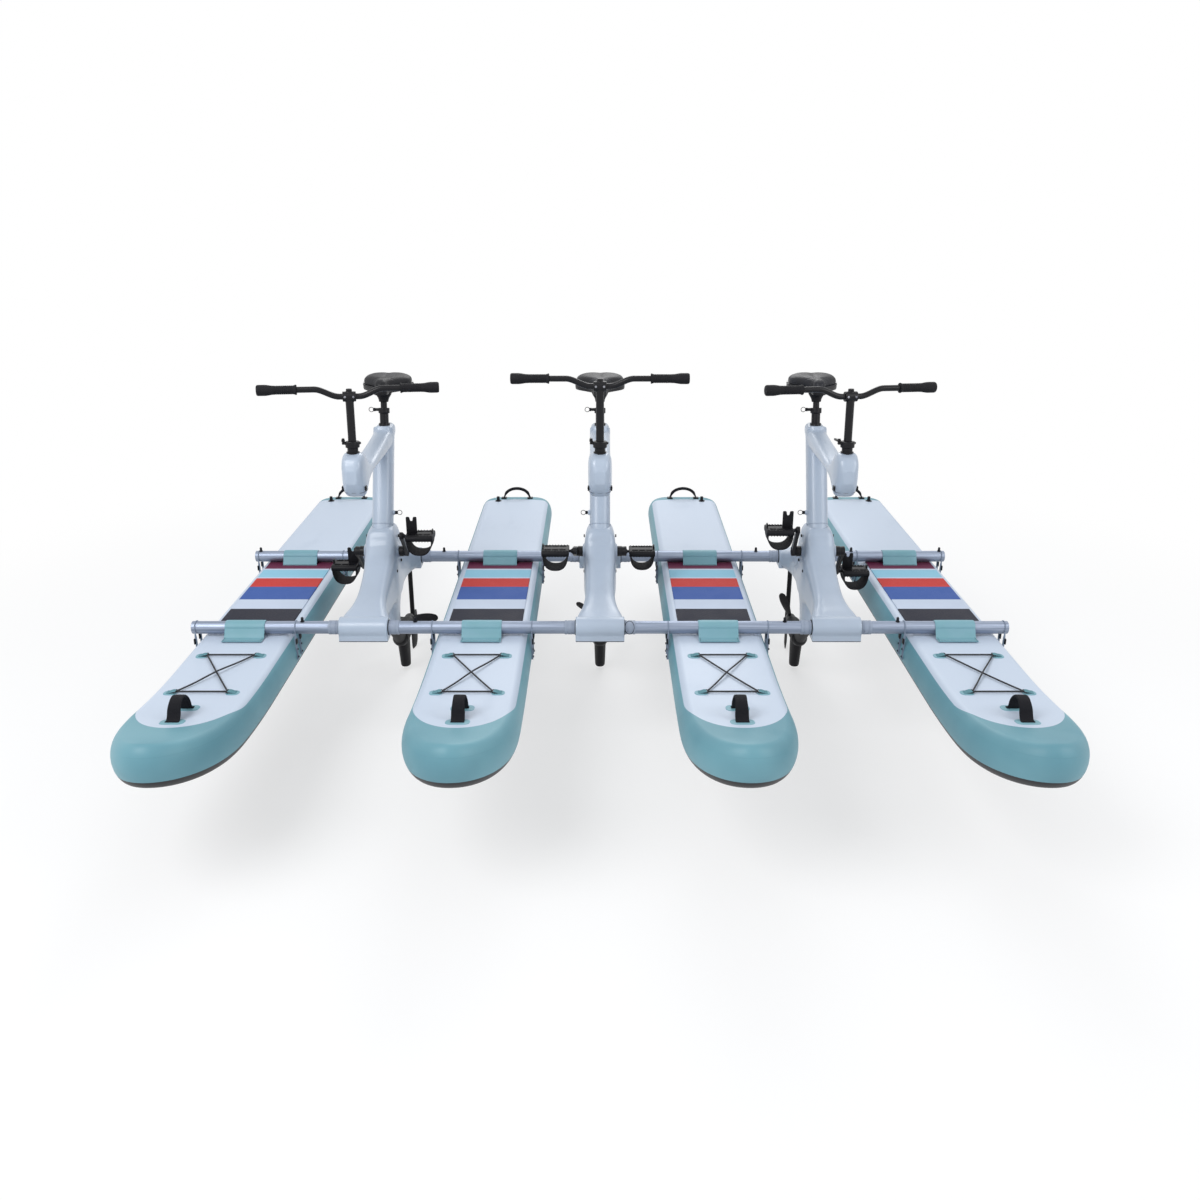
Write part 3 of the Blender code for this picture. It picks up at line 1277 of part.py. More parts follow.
def seat_pin_start():
    """The outer face of the seat collar's pin boss."""
    start = seat_point(SEAT_SLEEVE_TOP - SEAT_COLLAR_HEIGHT / 2)
    start.x = -SEAT_COLLAR_RADIUS - PIN_BOSS_LENGTH
    return start


def column_pin_start(side):
    """The outer face of the column's pin boss."""
    start = column_point(COLUMN_PIN_HEIGHT)
    start.x = side * (COLUMN_WIDTH / 2 + PIN_BOSS_LENGTH)
    return start


def bike_patterns(materials):
    """One finished copy of each piece of a bike, in the bike's own frame."""
    white, black, rubber = materials["moulding"], materials["black"], materials["rubber"]
    stem_foot, bar_centre = stem_point(HEAD_TOP), stem_point(BAR_HEIGHT)
    seat_foot = seat_point(SEAT_POST_BOTTOM)
    seat_pin = build_pull_pin(
        seat_pin_start(), -1, SEAT_COLLAR_RADIUS + PIN_BOSS_LENGTH - SEAT_POST_RADIUS - 2 * RUN_GAP,
    )
    patterns = {
        "housing": finish(build_housing(), "housing", white, None),
        "head_cover": finish(head_cover(), "head_cover", rubber, None),
        "drive_leg": finish(build_drive_leg(), "drive_leg", black, None),
        "seat_collar": finish(build_seat_collar(-1), "seat_collar", black, None),
        "seat_lock": finish(seat_pin, "seat_lock", materials["steel"], None, seat_pin_start()),
        "seat_post": finish(build_seat_post(), "seat_post", black, None, seat_foot),
        "saddle": finish(build_saddle(), "saddle", materials["saddle"], None, seat_foot),
        "stem_sleeve": finish(build_stem_sleeve(), "stem_sleeve", black, None, stem_foot),
        "stem_lever": finish(build_stem_lever(), "stem_lever", black, None, lever_stud()),
        "stem_post": finish(build_stem_post(), "stem_post", black, None, bar_centre),
        "handlebar": finish(build_handlebar(), "handlebar", rubber, None, bar_centre),
        "rudder": finish(build_rudder(), "rudder", black, None, (0, RUDDER_Y, RUDDER_BUSH_TOP)),
        "crankset": finish(build_crankset(), "crankset", black, None),
        "propeller": finish(build_propeller(), "propeller", black, None),
    }
    for side in (1, -1):
        start = column_pin_start(side)
        pin = build_pull_pin(start, side, COLUMN_WIDTH * 0.25 + PIN_BOSS_LENGTH)
        patterns["frame", side] = finish(build_frame(side), "frame", white, None)
        patterns["column_lock", side] = finish(pin, "column_lock", materials["steel"], None, start)
        for tail in (False, True):
            patterns["pedal", side, tail] = finish(build_pedal(side, tail), "pedal", rubber, None)
    return patterns


def build_bikes(materials):
    """Three bikes on the same meshes, each with its moving pieces turned its own way."""
    patterns = bike_patterns(materials)
    still = ("housing", "head_cover", "drive_leg", "seat_collar", "seat_lock", "seat_post", "saddle")
    steered = {"stem_sleeve": 0, "stem_lever": 0, "stem_post": 1, "handlebar": 1}
    for number, place, pin_side, crank_turn, propeller_turn, steer, lift in BIKES:
        bike = bike_empty(number, place)
        for part in still:
            copy_of(patterns[part], f"{part}_{number}", bike)
        for part in ("frame", "column_lock"):
            copy_of(patterns[part, pin_side], f"{part}_{number}", bike)
        steering = turned(STEM_DIRECTION, steer)
        pivot = stem_point(HEAD_TOP)
        for part, lifted in steered.items():
            spot = Vector(patterns[part].location) + STEM_DIRECTION * lift * lifted
            spot = pivot + steering.to_matrix() @ (spot - pivot)
            copy_of(patterns[part], f"{part}_{number}", bike, spot, steering)
        copy_of(patterns["rudder"], f"rudder_{number}", bike, None, (0, 0, -steer))
        copy_of(patterns["crankset"], f"crankset_{number}", bike, (0, CRANK_Y, CRANK_Z), (crank_turn, 0, 0))
        shaft = (0, PROPELLER_Y, POD_Z)
        copy_of(patterns["propeller"], f"propeller_{number}", bike, shaft, (0, propeller_turn, 0))
        for side, word in ((1, "left"), (-1, "right")):
            pedal = patterns["pedal", side, place != 0]
            copy_of(pedal, f"pedal_{word}_{number}", bike, pedal_place(crank_turn, side))
    for item in patterns.values():
        bpy.data.objects.remove(item, do_unlink=True)


def build_craft(materials):
    """The four boards and the two cross tubes that tie them together."""
    craft = bpy.data.objects.new("craft", None)
    bpy.context.collection.objects.link(craft)
    craft.location = (0, FRONT_TUBE_Y, TUBE_Z)
    board = finish(build_board(), "board_1", materials["board"], craft)
    board.location = (-1.5 * BOARD_PITCH, 0, 0)
    for number in range(2, 5):
        copy_of(board, f"board_{number}", craft, ((number - 2.5) * BOARD_PITCH, 0, 0))
    tube = finish(build_cross_tube(), "front_tube", materials["tube"], craft)
    copy_of(tube, "rear_tube", craft, (0, TUBE_SPACING, 0))


def main():
    clear_scene()
    materials = make_materials()
    build_craft(materials)
    build_bikes(materials)


main()
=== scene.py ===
"""Looks of the water bike: three pedal bikes on two cross tubes over four inflatable boards.

Every shape is made in the craft's own frame, in metres. A bike's pieces are made once, about the middle of the
front cross tube under it, and then set at each of the three berths. Boards are made about the same line.
"""

import logging
from dataclasses import dataclass, field
from enum import Enum
from math import atan2, cos, pi, radians, sin, sqrt
from typing import Iterable, Sequence

import bmesh
import bpy
from mathutils import Matrix, Vector


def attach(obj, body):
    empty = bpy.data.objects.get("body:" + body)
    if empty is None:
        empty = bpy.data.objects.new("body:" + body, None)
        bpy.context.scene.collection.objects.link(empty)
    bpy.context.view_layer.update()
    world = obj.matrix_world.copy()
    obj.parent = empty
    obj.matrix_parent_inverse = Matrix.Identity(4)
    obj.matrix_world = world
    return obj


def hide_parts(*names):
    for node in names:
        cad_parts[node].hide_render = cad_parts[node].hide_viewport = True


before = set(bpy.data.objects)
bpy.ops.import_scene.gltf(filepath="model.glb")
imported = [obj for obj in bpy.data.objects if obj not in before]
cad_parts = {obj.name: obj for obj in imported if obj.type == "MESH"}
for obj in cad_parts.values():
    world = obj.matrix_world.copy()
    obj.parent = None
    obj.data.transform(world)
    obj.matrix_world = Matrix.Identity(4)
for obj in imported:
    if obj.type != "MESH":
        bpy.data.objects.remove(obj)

LOG = logging.getLogger("water_bike")
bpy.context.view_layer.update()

Pair = tuple[float, float]
Profile = Sequence[Pair]
Colour = tuple[float, float, float]
Marks = dict[str, list[float]]
Ring = list[Vector]
Mesh = bpy.types.Mesh

BIKE_PITCH = 0.92
TUBE_SPACING = 0.854
FRONT_TUBE_Y = -TUBE_SPACING / 2
TUBE_Z = 0.1113
TUBE_RADIUS = 0.025
DECK_DROP = -0.0313
STEM_LEAN = radians(4)
SEAT_LEAN = radians(12)
STEM_AXIS = Vector((0, sin(STEM_LEAN), cos(STEM_LEAN)))
SEAT_AXIS = Vector((0, sin(SEAT_LEAN), cos(SEAT_LEAN)))
COLUMN_AXIS = Vector((0, 0.170, 0.376)).normalized()
COLUMN_Y, COLUMN_Z = 0.495, 0.264
X_WAY = Vector((1, 0, 0)).freeze()
Y_WAY = Vector((0, 1, 0)).freeze()
Z_WAY = Vector((0, 0, 1)).freeze()
PIVOT_Y, PIVOT_Z = 0.052, 0.685
COLLAR_HEIGHT = 0.719
BAR_HEIGHT = 0.900
CRANK_Y, CRANK_Z = 0.440, 0.165
CRANK_LENGTH = 0.145
PEDAL_X = 0.1825
SCREW_Y = 0.9305
POD_Z = -0.350
RUDDER_Y = 1.045


def srgb(red: int, green: int, blue: int) -> Colour:
    """Turns a colour as it is seen, from 0 to 255, into the linear colour that a shader takes.

    Args:
        red: The red share, from 0 to 255.
        green: The green share.
        blue: The blue share.

    Returns:
        The linear colour.
    """

    def linear(value: int) -> float:
        """One channel."""
        share = value / 255
        return share / 12.92 if share <= 0.04045 else ((share + 0.055) / 1.055) ** 2.4

    return linear(red), linear(green), linear(blue)


# Node graphs


class Wire:
    """A value in a node graph; Python operators on it add Math nodes."""

    def __init__(self, graph: "Graph", socket: bpy.types.NodeSocket) -> None:
        """Wraps an output socket of the graph."""
        self.graph = graph
        self.socket = socket

    def _maths(self, operation: str, *values: "Wire | float") -> "Wire":
        """Adds one Math node over the values."""
        node = self.graph.node("ShaderNodeMath", {"operation": operation}, dict(enumerate(values)))
        return Wire(self.graph, node.outputs[0])

    def __add__(self, other: "Wire | float") -> "Wire":
        """Sum."""
        return self._maths("ADD", self, other)

    __radd__ = __add__

    def __sub__(self, other: "Wire | float") -> "Wire":
        """Difference."""
        return self._maths("SUBTRACT", self, other)

    def __rsub__(self, other: float) -> "Wire":
        """Difference the other way round."""
        return self._maths("SUBTRACT", other, self)

    def __mul__(self, other: "Wire | float") -> "Wire":
        """Product."""
        return self._maths("MULTIPLY", self, other)

    __rmul__ = __mul__

    def __truediv__(self, other: "Wire | float") -> "Wire":
        """Quotient."""
        return self._maths("DIVIDE", self, other)

    def __pow__(self, other: float) -> "Wire":
        """Power."""
        return self._maths("POWER", self, other)

    def __abs__(self) -> "Wire":
        """Size without its sign."""
        return self._maths("ABSOLUTE", self)

    def __gt__(self, other: "Wire | float") -> "Wire":
        """One where this is greater."""
        return self._maths("GREATER_THAN", self, other)

    def __lt__(self, other: "Wire | float") -> "Wire":
        """One where this is less."""
        return self._maths("LESS_THAN", self, other)

    def wave(self) -> "Wire":
        """Sine."""
        return self._maths("SINE", self)

    def most(self, other: "Wire | float") -> "Wire":
        """The greater of the two."""
        return self._maths("MAXIMUM", self, other)

    def least(self, other: "Wire | float") -> "Wire":
        """The lesser of the two."""
        return self._maths("MINIMUM", self, other)

    def ramp(self, low: float, high: float, start: float = 0.0, end: float = 1.0) -> "Wire":
        """Eases from start to end as this goes from low to high.

        Args:
            low: Where the change begins.
            high: Where it ends.
            start: The value before.
            end: The value after.

        Returns:
            The eased value, kept between start and end.
        """
        sockets = {"Value": self, "From Min": low, "From Max": high, "To Min": start, "To Max": end}
        node = self.graph.node("ShaderNodeMapRange", {"interpolation_type": "SMOOTHSTEP"}, sockets)
        return Wire(self.graph, node.outputs[0])


class Graph:
    """A node tree that is filled from Python."""

    def __init__(self, tree: bpy.types.NodeTree) -> None:
        """Wraps an empty tree."""
        self.tree = tree

    def node(self, kind: str, settings: dict | None = None, sockets: dict | None = None) -> bpy.types.Node:
        """Adds one node of any type.

        Args:
            kind: The node's type name.
            settings: Properties, set first; "stops" are a ramp's places and colours.
            sockets: Input name or index to a value, a Wire or a socket.

        Returns:
            The new node.
        """
        node = self.tree.nodes.new(kind)
        for key, value in (settings or {}).items():
            if key == "stops":
                self._stops(node.color_ramp, value)
            else:
                setattr(node, key, value)
        for key, value in (sockets or {}).items():
            self.feed(node.inputs[key], value)
        return node

    @staticmethod
    def _stops(ramp: bpy.types.ColorRamp, stops: Sequence[tuple[float, Colour]]) -> None:
        """Writes a ramp's stops; the first colour holds until the second place.

        Args:
            ramp: The colour ramp.
            stops: Pairs of place and colour, in order.
        """
        ramp.interpolation = "CONSTANT"
        while len(ramp.elements) < len(stops):
            ramp.elements.new(1.0)
        for element, (place, colour) in zip(ramp.elements, stops):
            element.position = place
            element.color = (*colour, 1.0)

    def feed(self, target: bpy.types.NodeSocket, value: object) -> None:
        """Links or sets one input.

        Args:
            target: The input.
            value: A wire, a socket, a colour or a plain value.
        """
        if isinstance(value, Wire):
            self.tree.links.new(value.socket, target)
        elif isinstance(value, bpy.types.NodeSocket):
            self.tree.links.new(value, target)
        elif isinstance(value, tuple) and len(value) == 3 and target.type == "RGBA":
            target.default_value = (*value, 1.0)
        else:
            target.default_value = value


class Paint(Graph):
    """The node tree of one material."""

    def __init__(self, name: str) -> None:
        """Starts a material with nothing but its output.

        Args:
            name: The material's name.
        """
        self.material = bpy.data.materials.new(name)
        self.material.use_nodes = True
        super().__init__(self.material.node_tree)
        self.tree.nodes.clear()
        self.output = self.node("ShaderNodeOutputMaterial")
        self.place = self.node("ShaderNodeTexCoord").outputs["Object"]

    def axes(self) -> tuple[Wire, Wire, Wire]:
        """The place on the object, axis by axis."""
        node = self.node("ShaderNodeSeparateXYZ", None, {0: self.place})
        return Wire(self, node.outputs[0]), Wire(self, node.outputs[1]), Wire(self, node.outputs[2])

    def mark(self, name: str) -> Wire:
        """A number that the mesh carries at each point."""
        node = self.node("ShaderNodeAttribute", {"attribute_name": name})
        return Wire(self, node.outputs["Fac"])

    def noise(self, scale: float, detail: float = 3.0, stretch: Colour = (1, 1, 1)) -> Wire:
        """Noise about 0.5, stretched by a factor for each axis.

        Args:
            scale: How fine the noise is.
            detail: How many finer layers it has.
            stretch: The factor for each axis.

        Returns:
            The noise.
        """
        scaled = self.node("ShaderNodeVectorMath", {"operation": "MULTIPLY"}, {0: self.place, 1: stretch})
        sockets = {"Vector": scaled.outputs[0], "Scale": scale, "Detail": detail}
        return Wire(self, self.node("ShaderNodeTexNoise", None, sockets).outputs[0])

    def cells(self, scale: float, feature: str = "F1") -> Wire:
        """Distance in a cell pattern.

        Args:
            scale: How fine the pattern is.
            feature: Which distance it measures.

        Returns:
            The distance.
        """
        sockets = {"Vector": self.place, "Scale": scale}
        node = self.node("ShaderNodeTexVoronoi", {"feature": feature}, sockets)
        return Wire(self, node.outputs["Distance"])

    def blend(self, share: "Wire | float", first: object, second: object) -> bpy.types.NodeSocket:
        """Mixes two colours."""
        node = self.node("ShaderNodeMix", {"data_type": "RGBA"}, {0: share, 6: first, 7: second})
        return node.outputs[2]

    def raised(self, height: Wire, distance: float, strength: float = 1.0) -> bpy.types.NodeSocket:
        """A normal bumped by a height from 0 to 1 over a distance in metres."""
        sockets = {"Height": height, "Distance": distance, "Strength": strength}
        return self.node("ShaderNodeBump", None, sockets).outputs[0]

    def surface(self, **sockets: object) -> bpy.types.Material:
        """Ends the tree in a Principled shader.

        Args:
            **sockets: Principled inputs, with _ for a space.

        Returns:
            The finished material.
        """
        named = {key.replace("_", " "): value for key, value in sockets.items()}
        shader = self.node("ShaderNodeBsdfPrincipled", None, named)
        self.tree.links.new(shader.outputs[0], self.output.inputs[0])
        return self.material


# Finishes


@dataclass(frozen=True)
class Finish:
    """A finish that can be painted on a piece."""

    name: str

    def paint(self) -> bpy.types.Material:
        """Makes the material."""
        raise NotImplementedError


@dataclass(frozen=True)
class ShellPlastic(Finish):
    """Rotation-moulded white shell: orange-peel gloss, handling scuffs, and a dark band of painted shade low on the
    front sleeve.
    """

    colour: Colour = srgb(175, 188, 205)
    # foot is painted shade: the dark colour of the band low on the front sleeve, where its underside is in shade; the
    # band's limits follow.
    foot: Colour = srgb(40, 41, 48)
    roughness: float = 0.30
    shade_top: float = -1.0
    shade_end: float = -0.33

    def paint(self) -> bpy.types.Material:
        """Makes the material.

        Returns:
            The material.
        """
        paint = Paint(self.name)
        _, along, up = paint.axes()
        cloud = paint.noise(3.5, 3)
        smear = paint.noise(14, 4, (1, 1, 0.25))
        dusty = smear.ramp(0.58, 0.80)
        shade = tuple(c * 0.90 for c in self.colour)
        dust = tuple(c * 0.84 for c in self.colour)
        base = paint.blend(cloud.ramp(0.3, 0.7), self.colour, shade)
        base = paint.blend(dusty * 0.35, base, dust)
        # Painted shade: the dark band low on the front sleeve, below a height and ahead of a place along the craft.
        base = paint.blend((up < self.shade_top) * (along < self.shade_end), base, self.foot)
        peel = paint.noise(190, 2) + paint.noise(900, 1) * 0.25
        scuff = paint.noise(60, 3, (1, 6, 1)).ramp(0.66, 0.74)
        return paint.surface(
            Base_Color=base,
            Roughness=self.roughness + cloud * 0.10 + dusty * 0.14 + scuff * 0.10,
            Coat_Weight=0.25,
            Coat_Roughness=0.14,
            Normal=paint.raised(peel, 0.00045, 0.6),
        )


@dataclass(frozen=True)
class SatinBlack(Finish):
    """Black plastic or painted metal with a fine grain and rubbed patches."""

    colour: Colour = srgb(13, 13, 18)
    rubbed: Colour = srgb(34, 34, 41)
    roughness: float = 0.33
    metallic: float = 0.0
    grain: float = 620.0
    coat: float = 0.08

    def paint(self) -> bpy.types.Material:
        """Makes the material.

        Returns:
            The material.
        """
        paint = Paint(self.name)
        cloud = paint.noise(24, 4)
        rub = paint.noise(70, 5).ramp(0.60, 0.76)
        base = paint.blend(rub * 0.35, self.colour, self.rubbed)
        fine = paint.noise(self.grain, 2)
        return paint.surface(
            Base_Color=base,
            Roughness=self.roughness + cloud * 0.14 - rub * 0.08,
            Metallic=self.metallic,
            Specular_IOR_Level=0.22,
            Coat_Weight=self.coat,
            Coat_Roughness=0.25,
            Normal=paint.raised(fine + cloud * 0.6, 0.00022, 0.55),
        )


@dataclass(frozen=True)
class DrawnMetal(Finish):
    """Anodised or bare metal with draw lines along one axis."""

    colour: Colour = srgb(158, 168, 186)
    shade: Colour = srgb(130, 140, 158)
    roughness: float = 0.40
    stretch: Colour = (3.0, 340.0, 340.0)
    metallic: float = 0.85

    def paint(self) -> bpy.types.Material:
        """Makes the material.

        Returns:
            The material.
        """
        paint = Paint(self.name)
        lines = paint.noise(1.0, 4, self.stretch)
        cloud = paint.noise(6, 3)
        spots = paint.noise(45, 4).ramp(0.66, 0.78)
        base = paint.blend(lines.ramp(0.32, 0.68), self.colour, self.shade)
        base = paint.blend(spots * 0.35, base, self.shade)
        return paint.surface(
            Base_Color=base,
            Roughness=self.roughness + lines * 0.12 + cloud * 0.08 + spots * 0.12,
            Metallic=self.metallic,
            Normal=paint.raised(lines, 0.00012, 0.5),
        )


@dataclass(frozen=True)
class BoardSkin(Finish):
    """Laminated fabric of a board: white deck, mint rail and black bottom, with the fabric's fine weave."""

    deck: Colour = srgb(193, 205, 221)
    rail: Colour = srgb(108, 158, 171)
    rail_shade: Colour = srgb(93, 143, 157)
    bottom: Colour = srgb(18, 20, 26)
    bottom_top: float = 0.235
    deck_edge: float = 0.80
    deck_half: float = 0.174
    nose_start: float = -0.595
    nose_reach: float = 0.262
    tail_start: float = 1.862
    tail_reach: float = 0.050

    def paint(self) -> bpy.types.Material:
        """Makes the material.

        Returns:
            The material.
        """
        paint = Paint(self.name)
        girth, side, run = paint.mark("girth"), paint.mark("side"), paint.mark("run")
        ahead = (self.nose_start - run).most(0.0) / self.nose_reach
        across = abs(side) / self.deck_half
        behind = (run - self.tail_start).most(0.0) / self.tail_reach
        field = (across * across + ahead * ahead + behind * behind) ** 0.5
        deck = (field < 1.0) * (girth > self.deck_edge)
        tape = field.ramp(1.0, 1.035) * girth.ramp(self.deck_edge - 0.02, self.deck_edge)
        cloud = paint.noise(2.2, 3)
        soil = paint.noise(9, 5, (1, 0.4, 1)).ramp(0.55, 0.78)
        rail = paint.blend(cloud.ramp(0.35, 0.65), self.rail, self.rail_shade)
        white = paint.blend(soil * 0.30, self.deck, tuple(c * 0.86 for c in self.deck))
        base = paint.blend(deck, rail, white)
        base = paint.blend(girth < self.bottom_top, base, self.bottom)
        weave = (side * 2600.0).wave() * (run * 2600.0).wave()
        drops = paint.cells(55).ramp(0.0, 0.5)
        height = weave * 0.10 + drops * 0.35 * deck + tape * 0.9 + cloud * 0.3
        return paint.surface(
            Base_Color=base,
            Roughness=0.42 + cloud * 0.12 + soil * 0.12,
            Normal=paint.raised(height, 0.0007, 0.5),
        )


@dataclass(frozen=True)
class StripedFoam(Finish):
    """Deck pad of closed-cell foam with printed bands across it and a pressed pattern."""

    plain: Colour = srgb(196, 207, 224)
    length: float = 0.83
    front: float = 0.10
    bands: tuple[tuple[float, float, Colour], ...] = (
        (0.100, 0.262, srgb(38, 39, 50)),
        (0.368, 0.520, srgb(62, 92, 160)),
        (0.520, 0.628, srgb(194, 58, 52)),
        (0.640, 0.738, srgb(146, 198, 220)),
        (0.752, 0.932, srgb(100, 38, 66)),
    )

    def paint(self) -> bpy.types.Material:
        """Makes the material.

        Returns:
            The material.
        """
        paint = Paint(self.name)
        side, run = paint.mark("side"), paint.mark("run")
        stops: list[tuple[float, Colour]] = []
        for low, high, colour in self.bands:
            start, end = (low - self.front) / self.length, (high - self.front) / self.length
            if stops and abs(stops[-1][0] - start) < 1e-4:
                stops.pop()
            stops += [(max(start, 0.0), colour), (min(end, 1.0), self.plain)]
        share = (run - self.front) * (1 / self.length)
        bands = paint.node("ShaderNodeValToRGB", {"stops": stops}, {0: share}).outputs[0]
        dark = paint.noise(16, 4).ramp(0.35, 0.75)
        worn = paint.blend(dark * 0.03, bands, srgb(150, 155, 166))
        first = ((side + run) * 520.0).wave()
        second = ((side - run) * 520.0).wave()
        diamonds = abs(first.least(second))
        dashes = (side * 300.0).wave() * (run * 300.0).wave()
        height = diamonds * 0.7 + dashes * 0.25 + paint.noise(400, 2) * 0.2
        return paint.surface(
            Base_Color=worn,
            Roughness=0.62 + dark * 0.12,
            Specular_IOR_Level=0.2,
            Normal=paint.raised(height, 0.0011, 0.6),
        )


@dataclass(frozen=True)
class Webbing(Finish):
    """Woven strap: ribs across it, two edge cords, and fluff; its mesh marks the run and the way across."""

    colour: Colour = srgb(16, 16, 21)
    worn: Colour = srgb(38, 38, 46)
    pitch: float = 0.0016
    roughness: float = 0.78

    def paint(self) -> bpy.types.Material:
        """Makes the material.

        Returns:
            The material.
        """
        paint = Paint(self.name)
        run, cross = paint.mark("run"), paint.mark("cross")
        turn = 2 * pi / self.pitch
        weave = (run * turn).wave() * (cross * turn * 0.5).wave()
        rib = (cross * turn * 0.25).wave()
        fluff = paint.noise(260, 4)
        base = paint.blend(weave.ramp(-0.2, 0.9) * 0.5 + fluff.ramp(0.5, 0.8) * 0.4, self.colour, self.worn)
        return paint.surface(
            Base_Color=base,
            Roughness=self.roughness + fluff * 0.12,
            Specular_IOR_Level=0.25,
            Normal=paint.raised(weave * 0.5 + rib * 0.3 + fluff * 0.4, 0.0008, 0.8),
        )


@dataclass(frozen=True)
class PatchVinyl(Finish):
    """Glued vinyl patch or strap in the rail's mint, with a faint fabric print."""

    colour: Colour = srgb(121, 165, 178)
    shade: Colour = srgb(116, 163, 174)

    def paint(self) -> bpy.types.Material:
        """Makes the material.

        Returns:
            The material.
        """
        paint = Paint(self.name)
        across, along, _ = paint.axes()
        cloud = paint.noise(12, 4)
        weave = (across * 2400.0).wave() * (along * 2400.0).wave()
        base = paint.blend(cloud.ramp(0.35, 0.7), self.colour, self.shade)
        return paint.surface(
            Base_Color=base,
            Roughness=0.44 + cloud * 0.14,
            Normal=paint.raised(weave * 0.15 + cloud * 0.8, 0.0008, 0.5),
        )


@dataclass(frozen=True)
class GripRubber(Finish):
    """Soft grip rubber with small pressed lozenges round it."""

    colour: Colour = srgb(15, 15, 20)
    worn: Colour = srgb(38, 38, 46)
    lozenge: float = 900.0

    def paint(self) -> bpy.types.Material:
        """Makes the material.

        Returns:
            The material.
        """
        paint = Paint(self.name)
        across, along, up = paint.axes()
        cloud = paint.noise(40, 5)
        press = abs(((across + along + up) * self.lozenge).wave() * ((across - along - up) * self.lozenge).wave())
        dust = cloud.ramp(0.5, 0.8)
        return paint.surface(
            Base_Color=paint.blend(dust * 0.30, self.colour, self.worn),
            Roughness=0.60 + cloud * 0.16,
            Specular_IOR_Level=0.25,
            Normal=paint.raised(press + cloud * 0.5, 0.0006, 0.6),
        )


@dataclass(frozen=True)
class SaddleSkin(Finish):
    """Soft coated cover of a saddle: pebble grain, and random patches that are a little smoother and painted lighter
    and bluer as a painted sheen.
    """

    colour: Colour = srgb(16, 17, 22)
    # polished is a painted sheen: the lighter, bluer colour of the smoother patches.
    polished: Colour = srgb(34, 36, 45)

    def paint(self) -> bpy.types.Material:
        """Makes the material.

        Returns:
            The material.
        """
        paint = Paint(self.name)
        pebbles = paint.cells(430, "SMOOTH_F1")
        creases = paint.cells(120, "DISTANCE_TO_EDGE").ramp(0.0, 0.12)
        # Random patches: smoother where real polish lowers the roughness, and painted lighter and bluer as a painted
        # sheen.
        polish_and_sheen = paint.noise(11, 4).ramp(0.4, 0.7)
        return paint.surface(
            Base_Color=paint.blend(polish_and_sheen * 0.6, self.colour, self.polished),
            Roughness=0.50 - polish_and_sheen * 0.05 + pebbles * 0.05,
            Specular_IOR_Level=0.3,
            Normal=paint.raised(pebbles * 0.6 + creases * 0.3, 0.00010, 0.3),
        )


@dataclass(frozen=True)
class BraidedCord(Finish):
    """Elastic cord: a diagonal braid round it."""

    colour: Colour = srgb(30, 30, 34)
    fleck: Colour = srgb(74, 74, 80)

    def paint(self) -> bpy.types.Material:
        """Makes the material.

        Returns:
            The material.
        """
        paint = Paint(self.name)
        run, turn = paint.mark("run"), paint.mark("cross")
        braid = (run * 1500.0 + turn * 4.0).wave() * (run * 1500.0 - turn * 4.0).wave()
        return paint.surface(
            Base_Color=paint.blend(braid.ramp(0.2, 0.9) * 0.6, self.colour, self.fleck),
            Roughness=0.72 + paint.noise(300, 2) * 0.1,
            Normal=paint.raised(braid, 0.0005, 0.7),
        )


@dataclass(frozen=True)
class Thread(Finish):
    """Twisted sewing thread."""

    colour: Colour = srgb(70, 70, 76)

    def paint(self) -> bpy.types.Material:
        """Makes the material.

        Returns:
            The material.
        """
        paint = Paint(self.name)
        twist = paint.noise(1800, 2)
        shade = tuple(c * 0.6 for c in self.colour)
        base = paint.blend(twist.ramp(0.35, 0.65), self.colour, shade)
        return paint.surface(Base_Color=base, Roughness=0.8 + twist * 0.1, Normal=paint.raised(twist, 0.0002, 0.5))


SHELL = ShellPlastic("white_shell")
# The housing's shell sets the height below which the painted shade band darkens the front sleeve.
HOUSING_SHELL = ShellPlastic("white_housing_shell", shade_top=TUBE_Z - 0.0425)
BLACK = SatinBlack("satin_black")
CASTING = SatinBlack("black_casting", roughness=0.46, grain=340.0, coat=0.0)
POST = SatinBlack("black_anodised_post", roughness=0.30, grain=900.0, coat=0.12)
TUBE_METAL = DrawnMetal("anodised_tube")
STEEL = DrawnMetal("polished_steel", srgb(170, 172, 180), srgb(122, 124, 133), 0.22, (60, 60, 60), 1.0)
DARK_STEEL = DrawnMetal("blackened_steel", srgb(46, 47, 52), srgb(30, 31, 36), 0.36, (80, 80, 80), 0.9)
COUPLER_GREY = SatinBlack("grey_coupler", srgb(150, 160, 177), srgb(128, 137, 153), 0.42)
SKIN = BoardSkin("board_skin")
FOAM = StripedFoam("striped_deck_foam")
WEBBING = Webbing("black_webbing")
TIE_WEBBING = Webbing("grey_webbing", srgb(132, 144, 163), srgb(150, 161, 178))
TAB_WEBBING = Webbing("mint_webbing", srgb(96, 142, 152), srgb(124, 168, 178))
VINYL = PatchVinyl("mint_vinyl")
RUBBER = GripRubber("grip_rubber")
COVER_RUBBER = SatinBlack("cover_rubber", roughness=0.55, grain=260.0, coat=0.0)
SADDLE_SKIN = SaddleSkin("saddle_cover")
CORD = BraidedCord("elastic_cord")
THREAD = Thread("grey_thread")


# Shaping


def superellipse(half_width: float, half_height: float, count: int, power: float = 2.0) -> list[Pair]:
    """Points round an oval that squares up as its power grows.

    Args:
        half_width: Half its width.
        half_height: Half its height.
        count: How many points.
        power: 2 for an ellipse.

    Returns:
        The points, anticlockwise.
    """
    points = []
    for i in range(count):
        angle = 2 * pi * i / count
        c, s = cos(angle), sin(angle)
        points.append((half_width * _signed(c, 2 / power), half_height * _signed(s, 2 / power)))
    return points


def _signed(value: float, power: float) -> float:
    """A power that keeps the sign."""
    return abs(value) ** power * (1 if value >= 0 else -1)


